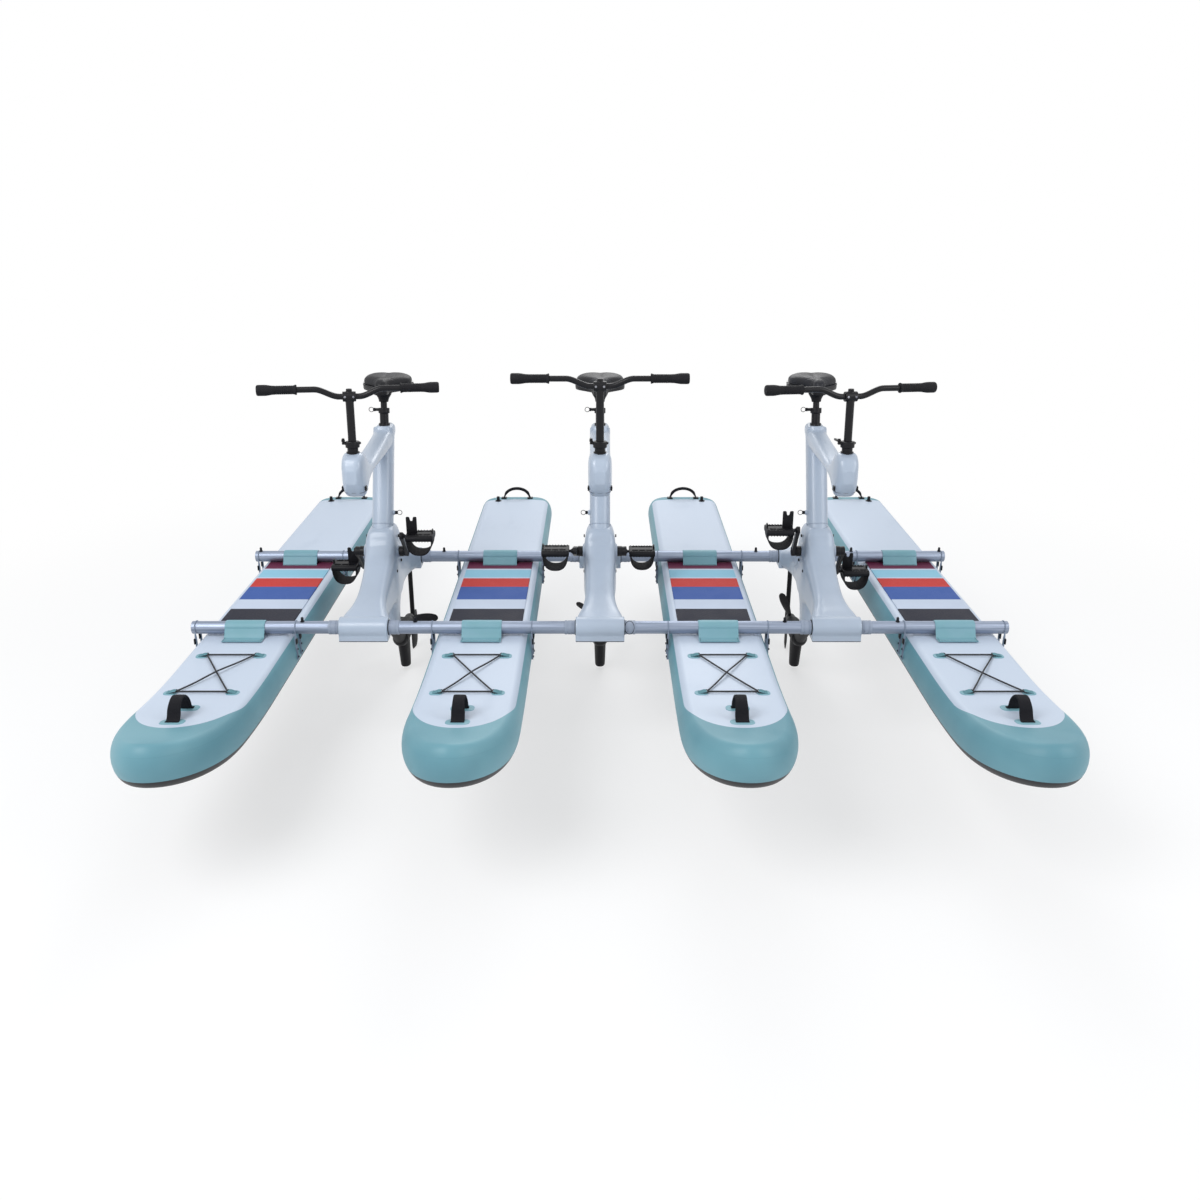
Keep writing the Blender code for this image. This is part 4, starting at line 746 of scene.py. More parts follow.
def curve_through(keys: Sequence[Sequence[float]], steps: int) -> list[tuple[float, ...]]:
    """A smooth run of tuples through all the keys.

    Args:
        keys: Tuples of the same length.
        steps: How many steps between two keys.

    Returns:
        The keys with the points between them.
    """
    padded = [keys[0], *keys, keys[-1]]
    out: list[tuple[float, ...]] = []
    for a, b, c, d in zip(padded, padded[1:], padded[2:], padded[3:]):
        for i in range(steps):
            t = i / steps
            out.append(tuple(_spline(p, q, r, s, t) for p, q, r, s in zip(a, b, c, d)))
    out.append(tuple(keys[-1]))
    return out


def _spline(a: float, b: float, c: float, d: float, t: float) -> float:
    """One number of a spline between b and c."""
    return 0.5 * (2 * b + (c - a) * t + (2 * a - 5 * b + 4 * c - d) * t * t + (3 * b - a - 3 * c + d) * t**3)


def bell(distance: float) -> float:
    """Falls away from 1 like a bell."""
    return 2.718 ** (-distance * distance)


def frame_of(direction: Vector) -> tuple[Vector, Vector]:
    """Two unit vectors square to a direction, the first one level.

    Args:
        direction: The direction, of any length.

    Returns:
        The level one, then the other.
    """
    way = direction.normalized()
    side = X_WAY if abs(way.x) < 0.9 else Y_WAY
    up = way.cross(side).normalized()
    return up.cross(way).normalized(), up


def mesh_of(points: Iterable[Vector], faces: Iterable[Sequence[int]], marks: Marks | None = None) -> Mesh:
    """Makes a mesh whose faces point outwards.

    Args:
        points: Its points.
        faces: Its faces.
        marks: Numbers that each point carries, by name.

    Returns:
        The mesh.
    """
    mesh = bpy.data.meshes.new("shape")
    mesh.from_pydata([tuple(p) for p in points], [], [tuple(f) for f in faces])
    for name, values in (marks or {}).items():
        mesh.attributes.new(name, "FLOAT", "POINT").data.foreach_set("value", values)
    work = bmesh.new()
    work.from_mesh(mesh)
    bmesh.ops.recalc_face_normals(work, faces=work.faces)
    work.to_mesh(mesh)
    work.free()
    return mesh


def lofted(rings: Sequence[Ring], marks: Marks | None = None) -> Mesh:
    """A closed skin over rings of equal count.

    Args:
        rings: The rings, from one end to the other.
        marks: Values for the points, by name.

    Returns:
        The closed mesh.
    """
    count = len(rings[0])
    points = [p for ring in rings for p in ring]
    faces: list[Sequence[int]] = []
    for level in range(len(rings) - 1):
        for i in range(count):
            j = (i + 1) % count
            a, b = level * count, (level + 1) * count
            faces.append((a + i, a + j, b + j, b + i))
    last = (len(rings) - 1) * count
    faces += [list(range(count)), list(range(last, last + count))]
    return mesh_of(points, faces, marks)


def upright_ring(y: float, half: float, low: float, high: float, power: float) -> Ring:
    """An upright oval section across the bike, between two heights."""
    middle = (low + high) / 2
    return [Vector((a, y, middle + b)) for a, b in superellipse(half, (high - low) / 2, 64, power)]


def level_ring(middle: float, z: float, half: float, reach: float, count: int, power: float) -> Ring:
    """A level oval section: half its width across, half its length along."""
    return [Vector((a, middle + b, z)) for a, b in superellipse(half, reach, count, power)]


def turned(start: Sequence[float], direction: Sequence[float], profile: Profile, sides: int) -> Mesh:
    """A round solid: its profile is pairs of distance along the axis and radius.

    Args:
        start: Where the axis starts.
        direction: Where the axis points.
        profile: Pairs of distance and radius.
        sides: How many sides the round has.

    Returns:
        The closed mesh.
    """
    way = Vector(direction).normalized()
    side, up = frame_of(way)
    origin = Vector(start)
    rings = []
    for distance, radius in profile:
        centre = origin + way * distance
        angles = [2 * pi * i / sides for i in range(sides)]
        rings.append([centre + (side * cos(a) + up * sin(a)) * max(radius, 1e-5) for a in angles])
    return lofted(rings)


def rod(start: Sequence[float], direction: Sequence[float], radius: float, length: float, sides: int) -> Mesh:
    """A plain round bar, mostly for boring holes."""
    return turned(start, direction, ((0, radius), (length, radius)), sides)


def groove(start: float, slope: float, flat: float, width: float, radius: float, floor: float) -> list[Pair]:
    """Points of a shallow groove in a turned profile.

    Args:
        start: Where it begins along the axis.
        slope: Where its floor begins, from the start.
        flat: Where its floor ends, from the start.
        width: Where it ends, from the start.
        radius: The radius beside it.
        floor: The radius at its floor.

    Returns:
        Pairs of distance and radius.
    """
    return [(start, radius), (start + slope, floor), (start + flat, floor), (start + width, radius)]


def swept(path: Sequence[Vector], radii: Sequence[float], sides: int, closed: bool = False) -> Mesh:
    """A round bar along a path; its points carry the run and the turn round it.

    Args:
        path: The centre line.
        radii: A radius for each point.
        sides: Sides round it.
        closed: Whether the end joins the start.

    Returns:
        The bar's mesh.
    """
    total = len(path)
    rings, runs, turns = [], [], []
    side, _ = frame_of(path[1] - path[0])
    gone = 0.0
    for i, (point, radius) in enumerate(zip(path, radii)):
        before = path[i - 1] if i or closed else path[0]
        after = path[(i + 1) % total] if i < total - 1 or closed else path[-1]
        way = (after - before).normalized()
        side = (side - way * side.dot(way)).normalized()
        up = way.cross(side)
        gone += (point - path[i - 1]).length if i else 0.0
        angles = [2 * pi * k / sides for k in range(sides)]
        rings.append([point + (side * cos(a) + up * sin(a)) * radius for a in angles])
        runs += [gone] * sides
        turns += angles
    marks = {"run": runs, "cross": turns}
    if not closed:
        return lofted(rings, marks)
    points = [p for ring in rings for p in ring]
    shift = min(range(sides), key=lambda s: (rings[0][s] - rings[-1][0]).length)
    faces = []
    for level in range(total):
        step = shift if level == total - 1 else 0
        a, b = level * sides, ((level + 1) % total) * sides
        for i in range(sides):
            j = (i + 1) % sides
            faces.append((a + i, a + j, b + (j + step) % sides, b + (i + step) % sides))
    return mesh_of(points, faces, marks)


def ribbon(path: Sequence[Vector], across: Vector, widths: Sequence[float], thicknesses: Sequence[float]) -> Mesh:
    """A strap along a path, soft at its edges; its points carry the run and the way across.

    Args:
        path: The middle of the strap.
        across: The way of its width.
        widths: Its width at each point.
        thicknesses: Its thickness at each point.

    Returns:
        The strap's mesh.
    """
    rings, runs, crosses = [], [], []
    gone = 0.0
    for i, point in enumerate(path):
        way = (path[min(i + 1, len(path) - 1)] - path[max(i - 1, 0)]).normalized()
        out = way.cross(across).normalized()
        gone += (point - path[i - 1]).length if i else 0.0
        ring = []
        for a, b in superellipse(widths[i] / 2, thicknesses[i] / 2, 20, 5.0):
            ring.append(point + across * a + out * b)
            runs.append(gone)
            crosses.append(a)
        rings.append(ring)
    return lofted(rings, {"run": runs, "cross": crosses})


def pressed(outline: Profile, origin: Vector, first: Vector, second: Vector, depth: Vector) -> Mesh:
    """A flat outline in two directions, pushed along a third.

    Args:
        outline: Pairs of distances along the two directions.
        origin: Where both distances are 0.
        first: The first direction.
        second: The second direction.
        depth: How far it is pushed, and where to.

    Returns:
        The closed mesh.
    """
    rings = []
    for share in (0, 1):
        rings.append([origin + first * a + second * b + depth * share for a, b in outline])
    return lofted(rings)


def block(low: Sequence[float], high: Sequence[float]) -> Mesh:
    """A box between two corners, for cutting or for rounding off.

    Args:
        low: The corner with the least values.
        high: The corner with the greatest values.

    Returns:
        The box.
    """
    (x0, y0, z0), (x1, y1, z1) = low, high
    rings = [[Vector((x, y, z)) for x, y in ((x0, y0), (x1, y0), (x1, y1), (x0, y1))] for z in (z0, z1)]
    return lofted(rings)


def arc(centre: Pair, radius: float, start: float, end: float, count: int) -> list[Pair]:
    """Points along an arc, both ends included."""
    angles = [start + (end - start) * i / count for i in range(count + 1)]
    return [(centre[0] + radius * cos(a), centre[1] + radius * sin(a)) for a in angles]


def joined(*meshes: Mesh) -> Mesh:
    """All the meshes in one, as they are.

    Args:
        *meshes: The meshes, in order.

    Returns:
        One mesh.
    """
    work = bmesh.new()
    for mesh in meshes:
        work.from_mesh(mesh)
    result = bpy.data.meshes.new("joined")
    work.to_mesh(result)
    work.free()
    return result


def worked(mesh: Mesh, *steps: tuple[str, dict]) -> Mesh:
    """Runs modifiers over a mesh.

    Args:
        mesh: The mesh to work on.
        *steps: Modifier type and its settings, in order.

    Returns:
        A plain mesh.
    """
    item = bpy.data.objects.new("work", mesh)
    bpy.context.scene.collection.objects.link(item)
    for kind, settings in steps:
        modifier = item.modifiers.new(kind, kind)
        for key, value in settings.items():
            setattr(modifier, key, value)
    bpy.context.view_layer.update()
    graph = bpy.context.evaluated_depsgraph_get()
    result = bpy.data.meshes.new_from_object(item.evaluated_get(graph), depsgraph=graph)
    bpy.data.objects.remove(item, do_unlink=True)
    return result


def carved(mesh: Mesh, *tools: Mesh) -> Mesh:
    """Cuts the tools out of a closed mesh.

    Args:
        mesh: The mesh to cut.
        *tools: Closed meshes to take away.

    Returns:
        What is left.
    """
    for tool in tools:
        cutter = bpy.data.objects.new("cutter", tool)
        bpy.context.scene.collection.objects.link(cutter)
        settings = {"operation": "DIFFERENCE", "solver": "MANIFOLD", "object": cutter}
        mesh = worked(mesh, ("BOOLEAN", settings))
        bpy.data.objects.remove(cutter, do_unlink=True)
    return mesh


def moulded(mesh: Mesh, voxel: float, rounds: int) -> Mesh:
    """Makes overlapping closed shapes one skin whose corners and roots are rounded.

    Args:
        mesh: The shapes, joined.
        voxel: The size of the new faces.
        rounds: How often the skin is smoothed.

    Returns:
        The one skin.
    """
    return worked(
        mesh,
        ("REMESH", {"mode": "VOXEL", "voxel_size": voxel, "use_smooth_shade": True}),
        ("SMOOTH", {"factor": 0.5, "iterations": rounds}),
    )


def rounded(mesh: Mesh, width: float, segments: int = 2, angle: float = 35) -> Mesh:
    """Rounds the sharp edges of a mesh."""
    settings = {"width": width, "segments": segments, "limit_method": "ANGLE", "angle_limit": radians(angle)}
    return worked(mesh, ("BEVEL", settings))


def softened(mesh: Mesh, levels: int) -> Mesh:
    """Subdivides a cage into a smooth form."""
    return worked(mesh, ("SUBSURF", {"levels": levels, "render_levels": levels}))


def smooth_shaded(mesh: Mesh, angle: float = 35) -> Mesh:
    """Shades smooth over all edges flatter than an angle in degrees.

    Args:
        mesh: The mesh to shade.
        angle: The angle in degrees.

    Returns:
        The same mesh.
    """
    mesh.polygons.foreach_set("use_smooth", [True] * len(mesh.polygons))
    mesh.set_sharp_from_angle(angle=radians(angle))
    return mesh


# What repeats


class Recipe(Graph):
    """A Geometry Nodes tree with named inputs, run once over a mesh."""

    def __init__(self, name: str, inputs: Sequence[tuple[str, str]]) -> None:
        """Starts a tree with a Geometry input and the named ones.

        Args:
            name: The tree's name.
            inputs: Pairs of label and socket type.
        """
        super().__init__(bpy.data.node_groups.new(name, "GeometryNodeTree"))
        face = self.tree.interface
        face.new_socket(name="Geometry", in_out="INPUT", socket_type="NodeSocketGeometry")
        self.keys = {}
        for label, kind in inputs:
            socket = face.new_socket(name=label, in_out="INPUT", socket_type=kind)
            self.keys[label] = socket.identifier
        face.new_socket(name="Geometry", in_out="OUTPUT", socket_type="NodeSocketGeometry")
        self.start = self.node("NodeGroupInput")
        self.end = self.node("NodeGroupOutput")

    def given(self, label: str) -> bpy.types.NodeSocket:
        """One of the tree's inputs."""
        return self.start.outputs[label]

    def finish(self, instances: bpy.types.NodeSocket) -> None:
        """Makes the copies real and gives them their finish.

        Args:
            instances: The copies that the tree places.
        """
        real = self.node("GeometryNodeRealizeInstances", None, {0: instances})
        sockets = {"Geometry": real.outputs[0], "Material": self.given("Finish")}
        done = self.node("GeometryNodeSetMaterial", None, sockets)
        self.tree.links.new(done.outputs[0], self.end.inputs[0])

    def run(self, mesh: Mesh, values: dict[str, object]) -> Mesh:
        """Runs the tree over a mesh and gives the plain result.

        Args:
            mesh: The mesh that it starts from.
            values: What its inputs get, by label.

        Returns:
            The result as a plain mesh.
        """
        item = bpy.data.objects.new("recipe", mesh)
        bpy.context.scene.collection.objects.link(item)
        modifier = item.modifiers.new("recipe", "NODES")
        modifier.node_group = self.tree
        for label, value in values.items():
            modifier[self.keys[label]] = value
        bpy.context.view_layer.update()
        graph = bpy.context.evaluated_depsgraph_get()
        result = bpy.data.meshes.new_from_object(item.evaluated_get(graph), depsgraph=graph)
        bpy.data.objects.remove(item, do_unlink=True)
        return result


class PathRow(Recipe):
    """Copies of a small item along a path, each turned to follow it."""

    def __init__(self) -> None:
        """Builds the tree."""
        inputs = (("Item", "NodeSocketObject"), ("Spacing", "NodeSocketFloat"), ("Finish", "NodeSocketMaterial"))
        super().__init__("path_row", inputs)
        line = self.node("GeometryNodeMeshToCurve", None, {0: self.given("Geometry")})
        sockets = {"Curve": line.outputs[0], "Length": self.given("Spacing")}
        spaced = self.node("GeometryNodeResampleCurve", {"mode": "LENGTH"}, sockets)
        tangent = self.node("GeometryNodeInputTangent")
        turn = self.node("FunctionNodeAlignRotationToVector", {"axis": "X"}, {"Vector": tangent.outputs[0]})
        item = self.node("GeometryNodeObjectInfo", None, {0: self.given("Item")})
        sockets = {"Points": spaced.outputs[0], "Instance": item.outputs["Geometry"], "Rotation": turn.outputs[0]}
        placed = self.node("GeometryNodeInstanceOnPoints", None, sockets)
        self.finish(placed.outputs[0])


class PointSet(Recipe):
    """Copies of a small item on points, each aimed along the vector that its point carries."""

    def __init__(self) -> None:
        """Builds the tree."""
        inputs = (("Item", "NodeSocketObject"), ("Size", "NodeSocketFloat"), ("Finish", "NodeSocketMaterial"))
        super().__init__("point_set", inputs)
        aim = self.node("GeometryNodeInputNamedAttribute", {"data_type": "FLOAT_VECTOR"}, {0: "aim"})
        turn = self.node("FunctionNodeAlignRotationToVector", {"axis": "Z"}, {"Vector": aim.outputs[0]})
        item = self.node("GeometryNodeObjectInfo", None, {0: self.given("Item")})
        sockets = {
            "Points": self.given("Geometry"),
            "Instance": item.outputs["Geometry"],
            "Rotation": turn.outputs[0],
            "Scale": self.given("Size"),
        }
        placed = self.node("GeometryNodeInstanceOnPoints", None, sockets)
        self.finish(placed.outputs[0])


# The workshop


class Workshop:
    """Keeps the finishes and sets finished pieces on the craft's bodies."""

    def __init__(self) -> None:
        """Starts with no finishes made."""
        self._materials: dict[Finish, bpy.types.Material] = {}
        self._path_row = PathRow()
        self._point_set = PointSet()

    def material(self, finish: Finish) -> bpy.types.Material:
        """The material of a finish, made once.

        Args:
            finish: The finish.

        Returns:
            Its material.
        """
        if finish not in self._materials:
            self._materials[finish] = finish.paint()
        return self._materials[finish]

    def fit(
        self,
        mesh: Mesh,
        name: str,
        body: str,
        finish: Finish,
        place: Matrix = Matrix.Identity(4),
        node: str | None = None,
        angle: float = 35,
    ) -> bpy.types.Object:
        """Sets a copy of a shape on a body.

        Args:
            mesh: The shape in its own frame.
            name: The piece's name.
            body: The body that it rides on.
            finish: Its finish.
            place: Where the shape's frame stands.
            node: The CAD node that it stands for.
            angle: Edges flatter than this are shaded smooth.

        Returns:
            The piece.
        """
        copy = mesh.copy()
        copy.transform(place)
        copy.materials.clear()
        copy.materials.append(self.material(finish))
        copy.polygons.foreach_set("material_index", [0] * len(copy.polygons))
        smooth_shaded(copy, angle)
        piece = bpy.data.objects.new(name, copy)
        bpy.context.scene.collection.objects.link(piece)
        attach(piece, body)
        if node:
            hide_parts(node)
        LOG.info("%s: %d faces on %s", name, len(copy.polygons), body)
        return piece

    def row(self, path: Sequence[Vector], item: Mesh, spacing: float, finish: Finish) -> Mesh:
        """A row of one item along a path.

        Args:
            path: Points of the path.
            item: The item to repeat.
            spacing: The distance between two items.
            finish: The items' finish.

        Returns:
            The whole row.
        """
        edges = [(i, i + 1) for i in range(len(path) - 1)]
        line = bpy.data.meshes.new("line")
        line.from_pydata([tuple(p) for p in path], edges, [])
        return self._with_item(self._path_row, line, item, {"Spacing": spacing, "Finish": self.material(finish)})

    def set_of(self, points: Sequence[tuple[Vector, Vector]], item: Mesh, finish: Finish, size: float = 1.0) -> Mesh:
        """One item on each point, aimed along the point's second vector.

        Args:
            points: Pairs of place and aim.
            item: The item to set.
            finish: The items' finish.
            size: The items' scale.

        Returns:
            All the items.
        """
        cloud = bpy.data.meshes.new("cloud")
        cloud.from_pydata([tuple(p) for p, _ in points], [], [])
        aims = cloud.attributes.new("aim", "FLOAT_VECTOR", "POINT")
        aims.data.foreach_set("vector", [c for _, a in points for c in a])
        return self._with_item(self._point_set, cloud, item, {"Size": size, "Finish": self.material(finish)})

    @staticmethod
    def _with_item(recipe: Recipe, mesh: Mesh, item: Mesh, values: dict[str, object]) -> Mesh:
        """Runs a recipe with its item as an object.

        Args:
            recipe: The recipe.
            mesh: The mesh that it starts from.
            item: The item to repeat.
            values: What the other inputs get, by label.

        Returns:
            The result as a plain mesh.
        """
        holder = bpy.data.objects.new("item", item)
        bpy.context.scene.collection.objects.link(holder)
        result = recipe.run(mesh, {"Item": holder, **values})
        bpy.data.objects.remove(holder, do_unlink=True)
        return result


def stitch(length: float = 0.004, radius: float = 0.0006) -> Mesh:
    """One stitch lying along X."""
    profile = ((0, radius * 0.3), (length * 0.2, radius), (length * 0.8, radius), (length, radius * 0.3))
    return turned((-length / 2, 0, 0), (1, 0, 0), profile, 6)


def socket_bolt(radius: float = 0.005, height: float = 0.004) -> Mesh:
    """A cap bolt standing along Z, with its hexagon socket.

    Args:
        radius: The head's radius.
        height: The head's height.

    Returns:
        The bolt.
    """
    head = turned((0, 0, -0.001), (0, 0, 1), ((0, radius), (height * 0.8, radius), (height, radius * 0.86)), 20)
    key = turned((0, 0, height * 0.35), (0, 0, 1), ((0, radius * 0.5), (height, radius * 0.5)), 6)
    return carved(head, key)


# Pieces and where they stand


class Body(Enum):
    """The bodies that a piece can ride on; {n} is the bike's number."""

    CRAFT = "craft"
    STEERER = "steerer_{n}"
    CLAMP = "clamp_{n}"
    STEM = "stem_{n}"
    SEAT = "seat_{n}"
    SEAT_PIN = "seat_pin_body_{n}"
    COLUMN_PIN = "column_pin_body_{n}"
    CRANKS = "cranks_{n}"
    PEDAL_LEFT = "pedal_left_body_{n}"
    PEDAL_RIGHT = "pedal_right_body_{n}"
    SCREW = "screw_{n}"
    RUDDER = "rudder_body_{n}"


@dataclass
class Part:
    """A shape with its finish, ready for every berth that it belongs in."""

    name: str
    mesh: Mesh
    finish: Finish
    slot: str
    body: Body = Body.CRAFT
    node: str | None = None
    angle: float = 35
    fill: float | None = None
    only: tuple[int, ...] = (1, 2, 3, 4)

    def set_in(self, shop: Workshop, number: int, place: Matrix) -> None:
        """Sets a copy in one berth.

        Args:
            shop: The workshop that fits it.
            number: The berth's number.
            place: Where its body stands.
        """
        if number in self.only:
            node = f"{self.node}_{number}" if self.node else None
            body = self.body.value.format(n=number)
            name = f"{self.name}_{number}"
            shop.fit(self.mesh, name, body, self.finish, place, node, self.angle)


def seat_point(height: float) -> Vector:
    """The seat post's axis at a height."""
    return Vector((0, 0.682, 0.656)) + SEAT_AXIS * ((height - 0.656) / SEAT_AXIS.z)


def stem_point(height: float) -> Vector:
    """The steering axis at a height."""
    return Vector((0, PIVOT_Y, PIVOT_Z)) + STEM_AXIS * ((height - PIVOT_Z) / STEM_AXIS.z)


def along_seat(start: float, profile: Profile, sides: int = 48) -> Mesh:
    """A round piece on the seat post's axis."""
    return turned(seat_point(start), SEAT_AXIS, profile, sides)


def along_stem(start: float, profile: Profile, sides: int = 48) -> Mesh:
    """A round piece on the steering axis."""
    return turned(stem_point(start), STEM_AXIS, profile, sides)


# Boards


@dataclass
class Board:
    """An inflatable board with its pad, straps, handles and deck cord."""

    length: float = 3.08
    width: float = 0.385
    thickness: float = 0.150
    nose_overhang: float = 1.08
    nose_length: float = 0.42
    tail_radius: float = 0.11
    rail_depth: float = 0.045
    lift: float = 0.085
    lift_length: float = 0.75
    pad_front: float = 0.10
    pad_length: float = 0.83
    pad_width: float = 0.295
    handle_y: float = -0.72
    tail_handle_y: float = 1.934
    cord_ends: Pair = (-0.53, -0.205)
    cord_half: float = 0.090
    cord_radius: float = 0.003

    def half_width(self, distance: float) -> float:
        """Half its width at a distance from the nose tip.

        Args:
            distance: The distance from the nose tip.

        Returns:
            Half the width there.
        """
        half = self.width / 2
        if distance < self.nose_length:
            return half * sqrt(max(1 - (1 - distance / self.nose_length) ** 2.3, 0))
        to_tail = self.length - distance
        if to_tail < self.tail_radius:
            inner = self.tail_radius**2 - (self.tail_radius - to_tail) ** 2
            return half - self.tail_radius + sqrt(max(inner, 0))
        return half

    def deck(self, y: float) -> float:
        """The deck's height at a place along it."""
        return DECK_DROP + self.lift * max(1 - (y + self.nose_overhang) / self.lift_length, 0) ** 2

    def stations(self) -> list[float]:
        """Distances from the nose tip, close together at the nose and the tail.

        Returns:
            The distances, in order.
        """
        nose = [self.nose_length * (1 - cos(pi / 2 * i / 22)) for i in range(1, 23)]
        middle = [self.nose_length + 0.055 * i for i in range(1, 10)]
        middle += [middle[-1] + 0.16 * i for i in range(1, 13)]
        tail = [self.length - self.tail_radius * (1 - sin(pi / 2 * i / 10)) for i in range(10)]
        return nose + [d for d in middle if d < tail[0] - 0.01] + tail

    def hull(self) -> Mesh:
        """The inflated skin: bulging rails round a flat deck and a flat bottom.

        Returns:
            The mesh.
        """
        end = self.length - self.nose_overhang
        plan = [Vector((0.0, -self.nose_overhang))]
        plan += [Vector((self.half_width(d), d - self.nose_overhang)) for d in self.stations()]
        plan += [Vector((self.half_width(self.length), end)), Vector((0.0, end))]
        outline = plan + [Vector((-p.x, p.y)) for p in reversed(plan[1:-1])]
        total = len(outline)
        inward = []
        for i in range(total):
            run = outline[(i + 1) % total] - outline[i - 1]
            inward.append(Vector((-run.y, run.x)).normalized())
        points, girth, side, ahead = [], [], [], []
        levels = [radians(-90 + 180 * i / 20) for i in range(21)]
        for level in levels:
            inset = self.rail_depth * (1 - cos(level))
            for point, way in zip(outline, inward):
                spot = point + way * inset
                height = self.deck(point.y) - self.thickness / 2 * (1 - sin(level))
                points.append(Vector((spot.x, spot.y, height)))
                girth.append((1 + sin(level)) / 2)
                side.append(spot.x)
                ahead.append(spot.y)
        faces: list[Sequence[int]] = []
        for row in range(len(levels) - 1):
            a, b = row * total, (row + 1) * total
            faces += [(a + i, a + (i + 1) % total, b + (i + 1) % total, b + i) for i in range(total)]
        half = len(plan) - 1
        for a in (0, (len(levels) - 1) * total):
            faces.append((a, a + 1, a + total - 1))
            faces += [(a + i, a + i + 1, a + total - i - 1, a + total - i) for i in range(1, half - 1)]
            faces.append((a + half - 1, a + half, a + half + 1))
        return mesh_of(points, faces, {"girth": girth, "side": side, "run": ahead})

    def plate(self, low: Pair, high: Pair, corner: float, top: float, sunk: float = 0.002) -> Mesh:
        """A thin plate glued on the deck, with round corners and a soft edge.

        Args:
            low: Its lower corner, across and along.
            high: Its upper corner.
            corner: The corners' radius.
            top: How far it stands over the deck.
            sunk: How far it reaches under the deck's face.

        Returns:
            The plate; its points carry their place across and along.
        """
        edge = min(0.0015, top * 0.6)
        rings, sides, runs = [], [], []
        for inset, level in ((0, -sunk), (0, top - edge), (edge * 0.3, top - edge * 0.3), (edge, top)):
            r = corner - inset
            ring = []
            for x, y, start in (
                (high[0] - corner, low[1] + corner, -pi / 2),
                (high[0] - corner, high[1] - corner, 0),
                (low[0] + corner, high[1] - corner, pi / 2),
                (low[0] + corner, low[1] + corner, pi),
            ):
                ring += [Vector((a, b, self.deck(b) + level)) for a, b in arc((x, y), r, start, start + pi / 2, 7)]
            rings.append(ring)
            sides += [p.x for p in ring]
            runs += [p.y for p in ring]
        return lofted(rings, {"side": sides, "run": runs})

    @staticmethod
    def tube_strap(tube_y: float, flap: float) -> Mesh:
        """The wide strap from the deck over a cross tube and down again; its front flap has its own length.

        Args:
            tube_y: Where the tube is.
            flap: How far the front flap reaches.

        Returns:
            The strap.
        """
        outer = TUBE_RADIUS + 0.0024
        foot = DECK_DROP + 0.0055
        keys = [(tube_y - flap, foot), (tube_y - (flap + 0.046) / 2, foot), (tube_y - 0.046, foot + 0.0008)]
        keys += [(tube_y - outer * cos(a), outer * sin(a)) for a in (radians(d) for d in range(8, 173, 12))]
        keys += [(tube_y + 0.044, foot + 0.0008), (tube_y + 0.050, foot), (tube_y + 0.057, foot)]
        path = [Vector((0, y, z)) for y, z in curve_through(keys, 4)]
        return ribbon(path, X_WAY, [0.155] * len(path), [0.0035] * len(path))

    def side_tie(self, side: int, tube_y: float) -> Mesh:
        """A webbing loop over the tube, sewn down the rail on both sides of it.

        Args:
            side: Which side, -1 or 1.
            tube_y: Where the tube is.

        Returns:
            The loop.
        """
        r = TUBE_RADIUS + 0.0014
        keys = [(tube_y - r, z) for z in (-0.125, -0.10, -0.06, -0.02)]
        keys += [(tube_y - r * cos(a), r * sin(a)) for a in (pi * i / 8 for i in range(9))]
        keys += [(tube_y + r, z) for z in (-0.02, -0.06, -0.10, -0.125)]
        x = side * (self.width / 2 + 0.0018)
        path = [Vector((x, y, z)) for y, z in curve_through(keys, 3)]
        widths = [0.009 - 0.005 * min(max((p.z + 0.03) / 0.02, 0), 1) for p in path]
        return ribbon(path, X_WAY, widths, [0.0024] * len(path))

    def tie_buckle(self, side: int, tube_y: float, way: int) -> Mesh:
        """The small dark slide on one leg of a side tie.

        Args:
            side: Which side, -1 or 1.
            tube_y: Where the tube is.
            way: Which leg of the tie, -1 ahead or 1 behind.

        Returns:
            The slide.
        """
        x, y = side * (self.width / 2 + 0.0030), tube_y + way * (TUBE_RADIUS + 0.0030)
        low, high = sorted((x, x + side * 0.0055))
        slide = rounded(block((low, y - 0.0085, -0.058), (high, y + 0.0085, -0.036)), 0.0015, 2)
        outer = high if side > 0 else low
        return carved(slide, block((outer - 0.0015, y - 0.0060, -0.0525), (outer + 0.0015, y + 0.0060, -0.0490)))

    @staticmethod
    def handle(length: float, height: float, width: float, foot: float, pad: float, begin: float) -> Mesh:
        """A webbing arch along Y, padded above a share of its height.

        Args:
            length: How long the arch is.
            height: How high it is.
            width: The webbing's width.
            foot: How far each end reaches past the arch.
            pad: How much the padding adds.
            begin: The share of the height where it begins.

        Returns:
            The handle.
        """
        a, b = length / 2 - 0.003, height - 0.003
        keys = [(-length / 2 - foot, 0.0040), (-length / 2 - foot * 0.3, 0.0044)]
        keys += [(-a * cos(t), b * sin(t) ** 0.9) for t in (radians(d) for d in range(14, 167, 19))]
        keys += [(length / 2 + foot * 0.3, 0.0044), (length / 2 + foot, 0.0040)]
        path = [Vector((0, y, z)) for y, z in curve_through(keys, 6)]
        grip = [min(max((p.z / height - begin) / 0.45, 0), 1) for p in path]
        widths = [width * (1 - 0.14 * g) for g in grip]
        return ribbon(path, X_WAY, widths, [0.0038 + pad * g for g in grip])

    def nose_handle(self) -> Mesh:
        """The wide grab handle near the nose.

        Returns:
            The mesh.
        """
        y = self.handle_y - 0.015
        slope = atan2(self.deck(y + 0.05) - self.deck(y - 0.05), 0.10)
        mesh = self.handle(0.108, 0.068, 0.045, 0.020, 0.0045, 0.41)
        mesh.transform(Matrix.Translation((0, y, self.deck(y) + 0.001)) @ Matrix.Rotation(slope, 4, "X"))
        return mesh

